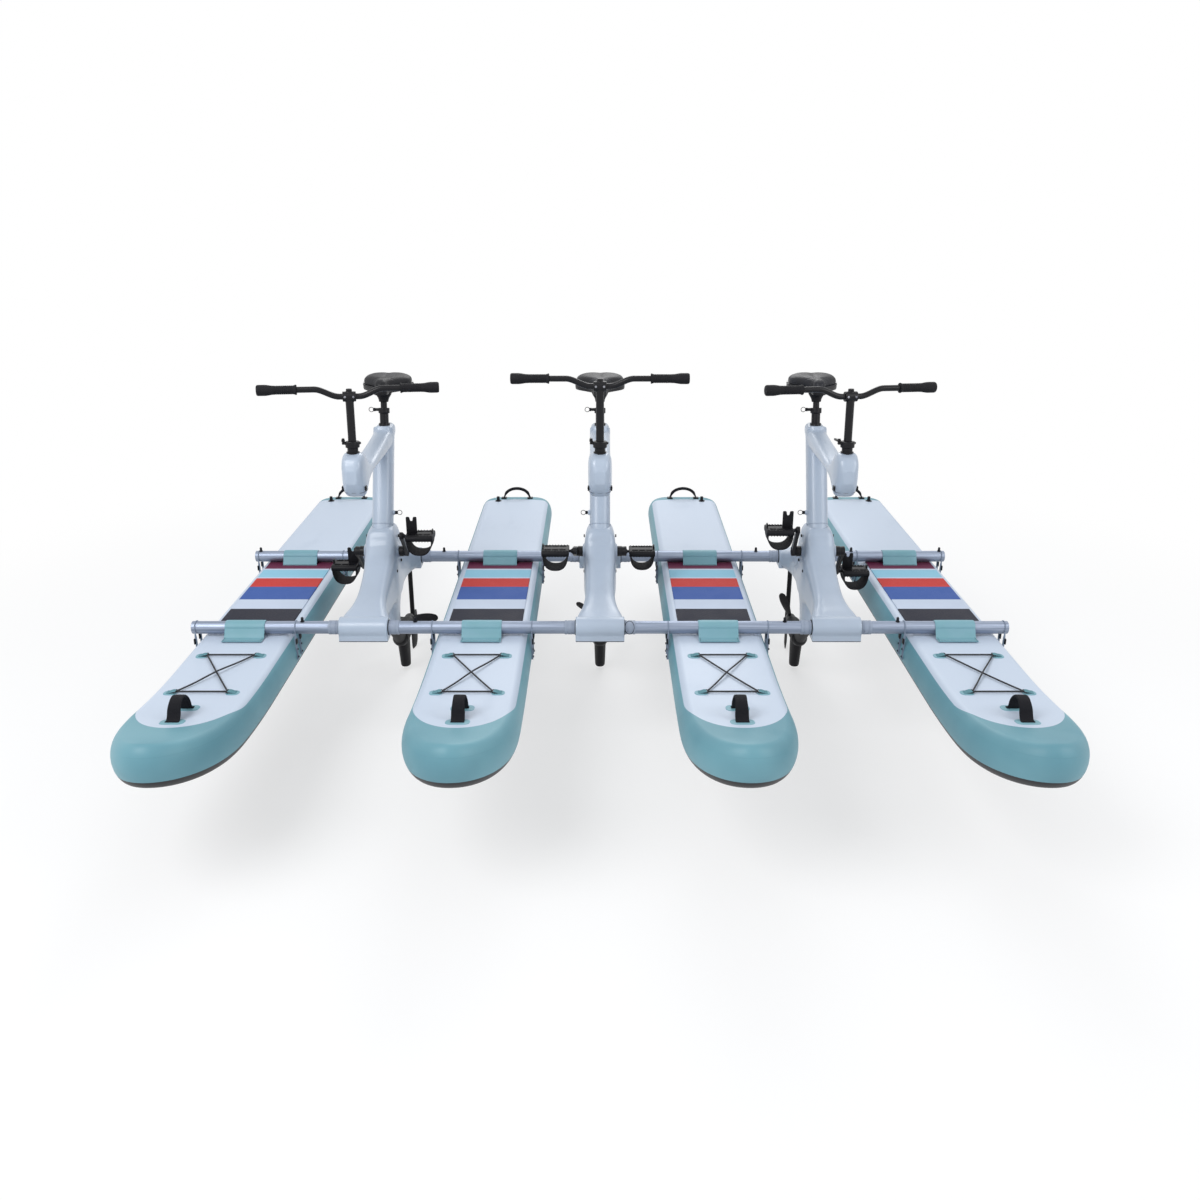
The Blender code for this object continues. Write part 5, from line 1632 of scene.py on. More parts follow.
    def tail_handle(self) -> Mesh:
        """The narrow grab handle across the tail.

        Returns:
            The mesh.
        """
        mesh = self.handle(0.145, 0.059, 0.020, 0.004, 0.0105, 0.06)
        place = Matrix.Translation((0, self.tail_handle_y, DECK_DROP)) @ Matrix.Rotation(pi / 2, 4, "Z")
        mesh.transform(place)
        return mesh

    def cord(self) -> Mesh:
        """The elastic loop: two runs across and two that cross.

        Returns:
            The mesh.
        """
        front, rear = self.cord_ends
        corners = ((-1, front), (1, rear), (-1, rear), (1, front))
        path = []
        for index, (side, y) in enumerate(corners):
            start = Vector((side * self.cord_half, y))
            other_side, other_y = corners[(index + 1) % 4]
            end = Vector((other_side * self.cord_half, other_y))
            middle = (start + end) / 2
            lift = {0: 2.3, 2: 0.1}.get(index, 0.0) * self.cord_radius
            for step in range(1, 48):
                spot = start.lerp(end, step / 48)
                near = sqrt((spot - middle).length_squared) / 0.085
                height = self.deck(spot.y) + 0.0034 + self.cord_radius + lift * bell(near)
                path.append(Vector((spot.x, spot.y, height)))
        return swept(path, [self.cord_radius] * len(path), 12, closed=True)

    def cord_anchor(self, side: int, y: float) -> tuple[Mesh, Mesh, Mesh]:
        """A corner's glued patch, webbing tab and ring.

        Args:
            side: Which side, -1 or 1.
            y: How far back it is.

        Returns:
            The patch, the tab and the ring.
        """
        x = side * self.cord_half
        outer = x + side * 0.036
        patch = self.plate((min(x, outer) - 0.006, y - 0.020), (max(x, outer) + 0.004, y + 0.020), 0.016, 0.0022)
        deck = self.deck(y)
        keys = [
            (side * d, h)
            for d, h in ((0.030, 0.0035), (0.022, 0.0040), (0.014, 0.0070), (0.007, 0.0085), (0.001, 0.0065))
        ]
        path = [Vector((x + dx, y, deck + z)) for dx, z in curve_through(keys, 5)]
        tab = ribbon(path, Y_WAY, [0.024] * len(path), [0.0028] * len(path))
        ring_path = []
        for i in range(28):
            angle = 2 * pi * i / 28
            flat = max(cos(angle) * side, -0.45) * side
            ring_path.append(Vector((x + side * 0.002 + 0.010 * flat, y + 0.012 * sin(angle), deck + 0.0072)))
        return patch, tab, swept(ring_path, [0.0017] * 28, 10, closed=True)

    @staticmethod
    def valve(side: int) -> Mesh:
        """The inflation valve's rim and its standing cap, near the tail.

        Args:
            side: Which side, -1 or 1.

        Returns:
            The valve.
        """
        x, y = side * 0.100, 1.880
        foot = (x, y, DECK_DROP)
        rim = turned(foot, (0, 0, 1), ((-0.002, 0.017), (0.0012, 0.017), (0.0022, 0.0155)), 40)
        profile = (
            (0, 0.0130), (0.0040, 0.0130), (0.0052, 0.0120), (0.0058, 0.0086), (0.0240, 0.0080), (0.0255, 0.0068),
            (0.0255, 0.001),
        )
        grip = block((x - 0.0015, y - 0.0105, DECK_DROP + 0.0100), (x + 0.0015, y + 0.0105, DECK_DROP + 0.0230))
        return joined(rim, turned(foot, (0, 0, 1), profile, 40), rounded(grip, 0.001))

    def build(self, shop: Workshop) -> list[Part]:
        """Makes all of a board's pieces.

        Args:
            shop: The workshop that makes the rows and sets.

        Returns:
            The pieces.
        """
        tubes = (0.0, TUBE_SPACING)
        flaps = {0.0: 0.082, TUBE_SPACING: 0.053}
        anchors = [self.cord_anchor(side, y) for side in (-1, 1) for y in self.cord_ends]
        half = self.pad_width / 2
        pad = self.plate((-half, self.pad_front), (half, self.pad_front + self.pad_length), 0.03, 0.005)
        y = self.handle_y - 0.015
        patches = [self.plate((-0.040, s - 0.026), (0.040, s + 0.026), 0.020, 0.0022) for s in (y - 0.066, y + 0.066)]
        end = self.tail_handle_y
        tail_feet = [
            rounded(
                block((x - 0.015, end - 0.015, DECK_DROP - 0.001), (x + 0.015, end + 0.015, DECK_DROP + 0.006)), 0.003
            )
            for x in (-0.072, 0.072)
        ]
        spots = []
        for side in (-1, 1):
            for tube in tubes:
                for way in (-1, 1):
                    for z in (-0.080, -0.112):
                        spot = Vector((side * (self.width / 2 + 0.0075), tube + way * (TUBE_RADIUS + 0.003), z))
                        spots.append((spot, Vector((side, 0, 0))))
        rivets = shop.set_of(spots, socket_bolt(0.0042, 0.0026), DARK_STEEL)
        seams = []
        z = DECK_DROP + 0.0076
        for tube in tubes:
            for start, finish in ((tube - flaps[tube] + 0.003, tube - 0.048), (tube + 0.050, tube + 0.054)):
                lines = [((x, start, z), (x, finish, z)) for x in (-0.072, 0.072)]
                lines.append(((-0.072, start, z), (0.072, start, z)))
                seams += [shop.row([Vector(a), Vector(b)], stitch(), 0.0055, THREAD) for a, b in lines]
        ties = [self.side_tie(side, tube) for side in (-1, 1) for tube in tubes]
        slot = "board_fabric"
        return [
            Part("board_hull", self.hull(), SKIN, slot, node="board", angle=60),
            Part("deck_pad", pad, FOAM, slot),
            Part("tube_straps", joined(*(self.tube_strap(t, flaps[t]) for t in tubes)), VINYL, slot, angle=50),
            Part("strap_stitching", joined(*seams), THREAD, slot, angle=60),
            Part("side_ties", joined(*ties), TIE_WEBBING, slot, angle=50),
            Part(
                "tie_buckles", joined(*(self.tie_buckle(s, t, w) for s in (-1, 1) for t in tubes for w in (-1, 1))),
                BLACK, slot,
            ),
            Part("tie_rivets", rivets, DARK_STEEL, slot),
            Part("handle_patches", joined(*patches, *(a[0] for a in anchors)), VINYL, slot),
            Part("nose_grab_handle", self.nose_handle(), WEBBING, slot, angle=60),
            Part("tail_grab_handle", self.tail_handle(), WEBBING, slot, angle=60),
            Part("tail_handle_feet", joined(*tail_feet), BLACK, slot),
            Part("cord_tabs", joined(*(a[1] for a in anchors)), TAB_WEBBING, slot, angle=60),
            Part("cord_rings", joined(*(a[2] for a in anchors)), DARK_STEEL, slot, angle=60),
            Part("deck_cord", self.cord(), CORD, slot, angle=60),
            Part("valve", self.valve(-1), BLACK, slot, only=(1, 2)),
            Part("valve", self.valve(1), BLACK, slot, only=(3, 4)),
        ]


@dataclass
class CrossTube:
    """A cross tube with its couplers, lock pins and end plugs."""

    length: float = 3.18
    radius: float = TUBE_RADIUS
    wall: float = 0.003
    coupler_radius: float = 0.0275
    coupler_start: float = 0.0955
    coupler_length: float = 0.042
    pins: tuple[float, ...] = (0.72, 1.16)
    end_pin: float = 1.566

    def tube(self) -> Mesh:
        """The drawn tube.

        Returns:
            The mesh.
        """
        half, r, bore = self.length / 2, self.radius, self.radius - self.wall
        lip = 0.0012
        profile = (
            (0, r - lip), (lip, r), (2 * half - lip, r), (2 * half, r - lip), (2 * half, bore), (2 * half - 0.02, bore),
        )
        profile += ((2 * half - 0.02, 0.001),)
        head = ((0.02, 0.001), (0.02, bore), (0, bore))
        return turned((-half, 0, 0), (1, 0, 0), (*head, *profile), 72)

    def coupler(self, start: float) -> Mesh:
        """One coupling sleeve with its two grooves.

        Args:
            start: Where the sleeve starts.

        Returns:
            The sleeve.
        """
        r, long = self.coupler_radius, self.coupler_length
        floor = r - 0.0012
        end = ((0.001, r), (0.009, r), (0.0095, floor), (0.0125, floor), (0.013, r))
        profile = [(0, self.radius), (0, r - 0.001), *end]
        profile += [(long - d, q) for d, q in reversed(end)]
        profile += [(long, r - 0.001), (long, self.radius)]
        return turned((start, 0, 0), (1, 0, 0), profile, 64)

    def plug(self, side: int) -> Mesh:
        """An end plug with its vent hole.

        Args:
            side: Which end, -1 or 1.

        Returns:
            The plug.
        """
        bore = self.radius - self.wall - 0.0003
        foot = (side * (self.length / 2 - 0.015), 0, 0)
        body = turned(foot, (side, 0, 0), ((0, bore), (0.0125, bore), (0.0140, bore - 0.002), (0.0146, 0.002)), 48)
        return carved(body, turned(foot, (side, 0, 0), ((-0.01, 0.004), (0.03, 0.004)), 24))

    def pin(self, x: float) -> Mesh:
        """A spring lock pin standing out of the tube, in its collar.

        Args:
            x: Where it stands on the tube.

        Returns:
            The pin.
        """
        foot = (x, 0, self.radius - 0.002)
        profile = (
            (0, 0.0085), (0.0028, 0.0085), (0.0036, 0.0075), (0.0036, 0.0055), (0.0160, 0.0055), (0.0185, 0.0045),
        )
        return turned(foot, (0, 0, 1), (*profile, (0.0200, 0.0025)), 32)

    def build(self, name: str) -> list[Part]:
        """Makes a tube's pieces.

        Args:
            name: What the pieces' names start with.

        Returns:
            The pieces.
        """
        starts = []
        for index in (-1, 0, 1):
            middle = index * BIKE_PITCH
            starts += [middle - self.coupler_start - self.coupler_length, middle + self.coupler_start]
        slot = "tube_aluminium"
        return [
            Part(f"{name}_pipe", self.tube(), TUBE_METAL, slot),
            Part(f"{name}_couplers", joined(*(self.coupler(s) for s in starts)), COUPLER_GREY, slot),
            Part(f"{name}_plugs", joined(self.plug(-1), self.plug(1)), BLACK, slot),
            Part(f"{name}_pins", joined(*(self.pin(s * x) for s in (-1, 1) for x in self.pins)), DARK_STEEL, slot),
        ]


# Mouldings of a bike


@dataclass
class Housing:
    """The base moulding: two sleeves, the crankcase, the socket, the lower leg and the rudder's bush."""

    voxel: float = 0.0035
    sleeve_radius: float = 0.042
    sleeve_half: float = 0.095
    foot: float = -0.047
    crank: Pair = (CRANK_Y, CRANK_Z)
    rudder_y: float = RUDDER_Y
    keys: tuple[tuple[float, float, float, float], ...] = (
        (0.0, 0.0938, -0.041, 0.037),
        (0.045, 0.0890, -0.047, 0.049),
        (0.100, 0.0730, -0.047, 0.061),
        (0.185, 0.0610, -0.048, 0.086),
        (0.320, 0.062, -0.050, 0.142),
        (0.395, 0.067, -0.057, 0.205),
        (0.440, 0.067, -0.075, 0.264),
        (0.550, 0.061, -0.077, 0.260),
        (0.629, 0.054, -0.061, 0.155),
        (0.719, 0.059, -0.051, 0.088),
        (0.774, 0.074, -0.047, 0.061),
        (0.815, 0.0890, -0.047, 0.049),
        (0.854, 0.0938, -0.041, 0.037),
    )
    leg_keys: tuple[tuple[float, float, float, float], ...] = (
        (0.460, 0.772, -0.027, 0.045),
        (0.470, 0.742, -0.057, 0.042),
        (0.486, 0.666, -0.109, 0.0324),
        (0.500, 0.622, -0.185, 0.030),
        (0.514, 0.625, -0.235, 0.0282),
    )

    def body(self) -> Mesh:
        """The long shell from sleeve to sleeve."""
        return lofted([upright_ring(*key, 4.5) for key in curve_through(self.keys, 4)])

    def sleeve(self, y: float) -> Mesh:
        """A barrel round a cross tube on its flat foot.

        Args:
            y: Where the tube is.

        Returns:
            The barrel.
        """
        outline = arc((y, 0), self.sleeve_radius, radians(-28), radians(208), 40)
        outline += [(y - self.sleeve_radius + 0.002, self.foot), (y + self.sleeve_radius - 0.002, self.foot)]
        origin = Vector((-self.sleeve_half, 0, 0))
        return pressed(outline, origin, Y_WAY, Z_WAY, Vector((2 * self.sleeve_half, 0, 0)))

    def leg(self) -> Mesh:
        """The lower leg, swept up behind into the rear arm.

        Returns:
            The mesh.
        """
        rings = []
        for front, rear, z, half in curve_through(self.leg_keys, 5):
            rings.append(level_ring((front + rear) / 2, z, half, (rear - front) / 2, 48, 2.6))
        return lofted(rings)

    def bracket(self) -> Mesh:
        """The tongue and bush that hold the rudder's stock.

        Returns:
            The mesh.
        """
        outline = [(0.8708, -0.010), (self.rudder_y, -0.046), (self.rudder_y, -0.076), (0.8708, -0.070)]
        tongue = pressed(outline, Vector((-0.0165, 0, 0)), Y_WAY, Z_WAY, Vector((0.033, 0, 0)))
        bush = turned(
            (0, self.rudder_y, -0.082), (0, 0, 1), ((0, 0.021), (0.001, 0.022), (0.041, 0.022), (0.042, 0.021)), 40,
        )
        return joined(tongue, bush)

    def shell(self) -> Mesh:
        """The one moulding with its bores.

        Returns:
            The mesh.
        """
        y, z = self.crank
        boss = rod((-0.073, y, z), (1, 0, 0), 0.030, 0.146, 56)
        parts = (self.body(), self.sleeve(0), self.sleeve(TUBE_SPACING), self.leg(), self.bracket(), boss)
        skin = moulded(joined(*parts), self.voxel, 4)
        bores = [rod((-0.15, t, 0), (1, 0, 0), 0.0262, 0.30, 72) for t in (0, TUBE_SPACING)]
        bores.append(rod((-0.15, y, z), (1, 0, 0), 0.0125, 0.30, 40))
        bores.append(rod((0, self.rudder_y, -0.13), (0, 0, 1), 0.0120, 0.14, 32))
        bores.append(column_shape(0.0009, 0.30))
        return carved(skin, *bores)

    def build(self, shop: Workshop) -> list[Part]:
        """Makes the housing's pieces.

        Args:
            shop: The workshop that makes the rows and sets.

        Returns:
            The pieces.
        """
        spots = []
        for side in (-1, 1):
            for y, z in ((0.475, 0.222), (0.395, 0.092), (0.500, 0.105)):
                spots.append((Vector((side * 0.0652, y, z)), Vector((side, 0, 0))))
        bolts = shop.set_of(spots, socket_bolt(0.0065, 0.0050), BLACK)
        mouth = ((0, 0.0305), (0.0025, 0.0305), (0.0035, 0.0295), (0.0035, 0.0268), (-0.004, 0.0268), (-0.004, 0.0305))
        bearing = ((-0.003, 0.0125), (-0.003, 0.020), (0.0006, 0.020), (0.0006, 0.0125))
        ends = [(side, tube) for tube in (0.0, TUBE_SPACING) for side in (-1, 1)]
        lining = [turned((side * 0.0942, tube, 0), (side, 0, 0), mouth, 56) for side, tube in ends]
        lining += [turned((side * 0.0725, *self.crank), (side, 0, 0), bearing, 48) for side in (-1, 1)]
        slot = "white_moulding"
        return [
            Part("housing_shell", self.shell(), HOUSING_SHELL, slot, node="housing", angle=40),
            Part("housing_bolts", bolts, BLACK, slot),
            Part("housing_linings", joined(*lining), COVER_RUBBER, slot),
            Part("socket_seal", self.seam(), SHELL, slot),
            Part("sleeve_snap_wire", self.snap_wire(), DARK_STEEL, "pin_steel", only=(2,)),
        ]

    def snap_wire(self) -> Mesh:
        """The wire loop of the middle bike's front lock, hanging by the sleeve's end.

        Returns:
            The mesh.
        """
        path = []
        for i in range(36):
            angle = 2 * pi * i / 36
            path.append(Vector((0.1140 + 0.018 * cos(angle), -0.046 + 0.006 * sin(angle), 0.018 + 0.025 * sin(angle))))
        return swept(path, [0.0011] * 36, 8, closed=True)

    def seam(self) -> Mesh:
        """The sealing bead round the column where it enters the socket.

        Returns:
            The mesh.
        """
        side, up = frame_of(COLUMN_AXIS)
        centre = column_point(0.2655)
        path = [centre + side * a + up * b for a, b in superellipse(0.0442, 0.0492, 72, 2.6)]
        return swept(path, [0.0012] * len(path), 10, closed=True)


def column_point(height: float) -> Vector:
    """The column's axis at a height."""
    return Vector((0, COLUMN_Y, COLUMN_Z)) + COLUMN_AXIS * ((height - COLUMN_Z) / COLUMN_AXIS.z)


def column_shape(clearance: float, reach: float) -> Mesh:
    """The oval column from its foot in the socket, or the pocket that it fits.

    Args:
        clearance: How much wider than the column it is.
        reach: How long it is.

    Returns:
        The column, or its pocket.
    """
    foot = Vector((0, COLUMN_Y, COLUMN_Z)) - COLUMN_AXIS * 0.060
    side, up = frame_of(COLUMN_AXIS)
    rings = []
    for i in range(9):
        centre = foot + COLUMN_AXIS * (reach * i / 8)
        oval = superellipse(0.043 + clearance, 0.048 + clearance, 64, 2.6)
        rings.append([centre + side * a + up * b for a, b in oval])
    return lofted(rings)


@dataclass
class FrameMoulding:
    """Column, arm and head in one white moulding, with the lid under the arm."""

    voxel: float = 0.003
    keys: tuple[tuple[float, float, float, float, float], ...] = (
        (-0.014, 0.0198, 0.577, 0.627, 4.4),
        (0.006, 0.0370, 0.541, 0.667, 4.0),
        (0.046, 0.0440, 0.515, 0.684, 4.6),
        (0.082, 0.0440, 0.526, 0.678, 4.2),
        (0.110, 0.0434, 0.540, 0.658, 3.6),
        (0.134, 0.0425, 0.549, 0.636, 3.1),
        (0.197, 0.0415, 0.565, 0.611, 2.7),
        (0.300, 0.0415, 0.568, 0.614, 2.7),
        (0.575, 0.0415, 0.562, 0.638, 2.7),
        (0.675, 0.0415, 0.584, 0.654, 2.7),
        (0.717, 0.0385, 0.602, 0.656, 2.7),
        (0.729, 0.0295, 0.610, 0.650, 2.7),
    )

    def beam(self) -> Mesh:
        """The head and the arm."""
        return lofted([upright_ring(*key) for key in curve_through(self.keys, 4)])

    @staticmethod
    def cover_shape(grow: float) -> Mesh:
        """The lid under the arm behind the head, or its notch.

        Args:
            grow: How much larger than the lid it is.

        Returns:
            The lid, or its notch.
        """
        front, rear, half = 0.100 - grow, 0.244 + grow, 0.026 + grow
        outline = [(front, 0.5320 - grow), (0.134, 0.5455 - grow), (0.190, 0.5610 - grow), (rear, 0.5680 - grow)]
        outline += [(rear, 0.580 + grow), (0.197, 0.577 + grow), (0.134, 0.561 + grow), (front, 0.548 + grow)]
        origin, wide = Vector((-half, 0, 0)), Vector((2 * half, 0, 0))
        return pressed(outline, origin, Y_WAY, Z_WAY, wide)

    def moulding(self, pin_side: int) -> Mesh:
        """The white moulding with its bores and the lid's notch.

        Args:
            pin_side: Which side the pin is on, -1 or 1.

        Returns:
            The moulding.
        """
        reach = (0.640 - 0.264) / COLUMN_AXIS.z + 0.060
        pin = column_point(0.312)
        boss = turned(pin, (pin_side, 0, 0), ((0, 0.0105), (0.052, 0.0095)), 32)
        skin = moulded(joined(self.beam(), column_shape(0, reach), boss), self.voxel, 3)
        tools = [
            self.cover_shape(0.0006),
            rod(pin + Vector((pin_side * 0.016, 0, 0)), (pin_side, 0, 0), 0.0046, 0.08, 24),
            along_stem(0.5595, ((0, 0.0206), (0.3, 0.0206))),
            along_seat(0.6147, ((0, 0.0190), (0.3, 0.0190))),
            along_seat(0.566, ((0, 0.0141), (0.3, 0.0141))),
        ]
        return carved(skin, *tools)

    def seam_ring(self) -> Mesh:
        """The dark parting line round the head.

        Returns:
            The mesh.
        """
        rings = []
        for y, half, low, high, power in curve_through(self.keys[:6], 6):
            middle, tall = (low + high) / 2, (high - low) / 2
            share = min(abs((0.5392 - middle) / tall), 1.0)
            reach = half * (1 - share**power) ** (1 / power)
            rings.append((y, reach))
        right = [Vector((x + 0.0001, y, 0.5392)) for y, x in rings if x > 0.012]
        left = [Vector((-p.x, p.y, p.z)) for p in reversed(right)]
        front = curve_through([(left[-1].x, left[-1].y), (0, right[0].y - 0.0030), (right[0].x, right[0].y)], 8)
        path = [*left, *(Vector((x, y, 0.5392)) for x, y in front[1:-1]), *right]
        return swept(path, [0.0009] * len(path), 8)

    def clips(self) -> Mesh:
        """The two clips on the head's parting line.

        Returns:
            The mesh.
        """
        shapes = []
        for side in (-1, 1):
            low, high = sorted((side * 0.0405, side * 0.0462))
            clip = rounded(block((low, 0.018, 0.545), (high, 0.040, 0.562)), 0.002, 3)
            shapes.append(clip)
            shapes.append(turned((side * 0.0462, 0.029, 0.5535), (side, 0, 0), ((-0.001, 0.004), (0.0008, 0.0034)), 24))
        return joined(*shapes)

    def build(self) -> list[Part]:
        """Makes the frame's pieces.

        Returns:
            The pieces.
        """
        slot = "white_moulding"
        parts = []
        for side, berths in ((1, (1,)), (-1, (2, 3))):
            shape = self.moulding(side)
            parts.append(Part("frame_moulding", shape, SHELL, slot, node="frame", angle=40, only=berths))
        bush = along_stem(0.684, ((0, 0.0205), (0, 0.0245), (0.0025, 0.0245), (0.0035, 0.0235), (0.0035, 0.0205)))
        cuff = along_seat(0.648, ((0, 0.0188), (0, 0.0240), (0.0100, 0.0235), (0.0120, 0.0215), (0.0120, 0.0188)))
        cover = rounded(self.cover_shape(0.0), 0.0025, 3, 50)
        return parts + [
            Part("head_cover_shell", cover, SHELL, "white_moulding", node="head_cover"),
            Part("head_clips", joined(self.clips(), self.seam_ring()), BLACK, "black_moulding"),
            Part("head_bush", joined(bush, cuff), BLACK, "black_moulding"),
        ]


# Steering


@dataclass
class Steering:
    """Steerer, clamp lever, sliding stem, bar and grips."""

    bar_radius: float = 0.011
    bar_half: float = 0.3275
    rise: float = 0.028
    flat: float = 0.035
    bend_end: float = 0.125
    grip_length: float = 0.142

    def steerer(self) -> Mesh:
        """The turning sleeve with its split collar and the lever's stud.

        Returns:
            The mesh.
        """
        top = (0.703 - 0.560) / STEM_AXIS.z
        total = (0.726 - 0.560) / STEM_AXIS.z
        profile = [(0, 0.0195), (0.001, 0.020), (top, 0.020), (top, 0.0250), (top + 0.001, 0.026)]
        profile += [(total - 0.006, 0.026), (total - 0.0055, 0.0252), (total - 0.0045, 0.0252), (total - 0.004, 0.026)]
        profile += [(total - 0.001, 0.026), (total, 0.025)]
        body = along_stem(0.560, profile)
        middle = stem_point(COLLAR_HEIGHT)
        ears = rounded(
            block(middle + Vector((-0.038, -0.006, -0.0045)), middle + Vector((0.029, 0.006, 0.0045))), 0.0015, 3,
        )
        stud = turned(
            self.stud(), STEM_AXIS,
            ((0, 0.0035), (0.0150, 0.0035), (0.0150, 0.0063), (0.0168, 0.0063), (0.0172, 0.0055)), 32,
        )
        body = joined(body, ears, stud)
        bolt = turned(
            middle + Vector((0.029, 0, 0)), (1, 0, 0), ((-0.002, 0.0040), (0.002, 0.0040), (0.0025, 0.0034)), 24,
        )
        bore = along_stem(0.566, ((0, 0.0157), (0.3, 0.0157)))
        return joined(carved(moulded(body, 0.0012, 1), bore), bolt)

    @staticmethod
    def stud() -> Vector:
        """The stud's foot on the collar."""
        return stem_point(COLLAR_HEIGHT) + Vector((-0.033, 0, 0))

    def lever(self) -> Mesh:
        """The clamp lever with its eye and finger tip.

        Returns:
            The mesh.
        """
        outline = arc((0, 0), 0.0066, pi / 2, pi * 1.5, 16)
        outline += [(0.018, -0.0036), (0.040, -0.0013)]
        outline += arc((0.040, 0.0019), 0.0032, -pi / 2, pi / 2, 10)
        outline += [(0.022, 0.0052)]
        shape = pressed(outline, Vector((0, 0, 0)), Y_WAY, Vector((-1, 0, 0)), Vector((0, 0, 0.0075)))
        shape = rounded(shape, 0.0018, 3)
        shape = carved(shape, rod((0, 0, -0.01), (0, 0, 1), 0.0042, 0.03, 32))
        lean = Z_WAY.rotation_difference(STEM_AXIS).to_matrix().to_4x4()
        shape.transform(Matrix.Translation(self.stud() + STEM_AXIS * 0.0055) @ lean)
        return shape

    def post(self) -> Mesh:
        """The sliding stem with its bar clamp.

        Returns:
            The mesh.
        """
        length = (BAR_HEIGHT - 0.605) / STEM_AXIS.z
        profile = [(0, 0.0140), (0.001, 0.0150)]
        for distance in (0.235, 0.245, 0.255):
            profile += groove(distance, 0.0004, 0.0012, 0.0016, 0.0150, 0.0146)
        profile += [(length, 0.0150)]
        centre = stem_point(BAR_HEIGHT)
        clamp = turned(
            centre - Vector((0.024, 0, 0)), (1, 0, 0), ((0, 0.0175), (0.001, 0.0185), (0.047, 0.0185), (0.048, 0.0175)),
            56,
        )
        cap = turned(centre - STEM_AXIS * 0.004, STEM_AXIS, ((0, 0.011), (0.0305, 0.011), (0.0325, 0.009)), 40)
        shape = moulded(joined(along_stem(0.605, profile), clamp, cap), 0.0014, 2)
        return carved(shape, rod(centre - Vector((0.05, 0, 0)), (1, 0, 0), 0.0113, 0.10, 48))

    def bar_height(self, x: float) -> float:
        """How far the bar has risen at a distance from its middle."""
        t = min(max((x - self.flat) / (self.bend_end - self.flat), 0.0), 1.0)
        return self.rise * t * t * (3 - 2 * t)

    def bar(self) -> Mesh:
        """The bent bar, knurled in its clamp.

        Returns:
            The mesh.
        """
        centre = stem_point(BAR_HEIGHT)
        reach = self.bar_half - 0.004
        path, radii = [], []
        for i in range(121):
            x = -reach + 2 * reach * i / 120
            path.append(centre + Vector((x, 0, self.bar_height(abs(x)))))
            radii.append(self.bar_radius - (0.0004 if abs(abs(x) - 0.030) < 0.003 else 0))
        return swept(path, radii, 32)

    def grip(self, side: int) -> Mesh:
        """A moulded grip: inner flange, ribbed finger rest and thicker palm.

        Args:
            side: Which side, -1 or 1.

        Returns:
            The grip.
        """
        inner = self.bar_half - self.grip_length
        start = stem_point(BAR_HEIGHT) + Vector((side * inner, 0, self.rise))
        profile = [(0, 0.0112), (0, 0.0175), (0.0015, 0.0186), (0.0045, 0.0186), (0.0060, 0.0176), (0.0085, 0.0164)]
        spot = 0.0125
        while spot < 0.078:
            profile += groove(spot, 0.0011, 0.0022, 0.0033, 0.0160, 0.0152)
            spot += 0.0066
        profile += [
            (0.086, 0.0163), (0.104, 0.0192), (0.112, 0.0199), (0.134, 0.0199), (0.139, 0.0190), (0.1415, 0.0165),
        ]
        profile += [(0.1420, 0.0120), (0.1412, 0.0020)]
        return turned(start, (side, 0, 0), profile, 48)

    def build(self, shop: Workshop) -> list[Part]:
        """Makes the steering's pieces.

        Args:
            shop: The workshop that makes the rows and sets.

        Returns:
            The pieces.
        """
        centre = stem_point(BAR_HEIGHT)
        front = -STEM_AXIS.cross(X_WAY).normalized()
        front = front if front.y < 0 else -front
        spots = [(centre + Vector((x, 0, 0)) + front * 0.0178, front) for x in (-0.015, 0.015)]
        bolts = shop.set_of(spots, socket_bolt(0.0042, 0.0034), STEEL)
        slot = "black_aluminium"
        return [
            Part("steerer", self.steerer(), BLACK, slot, Body.STEERER, "stem_sleeve"),
            Part("clamp_lever", self.lever(), BLACK, slot, Body.CLAMP, "stem_lever"),
            Part("stem_tube", self.post(), POST, slot, Body.STEM, "stem_post"),
            Part("bar_bolts", bolts, STEEL, slot, Body.STEM),
            Part("bar", self.bar(), POST, "soft_black", Body.STEM, "handlebar"),
            Part("grips", joined(self.grip(-1), self.grip(1)), RUBBER, "soft_black", Body.STEM),
        ]


# Seat


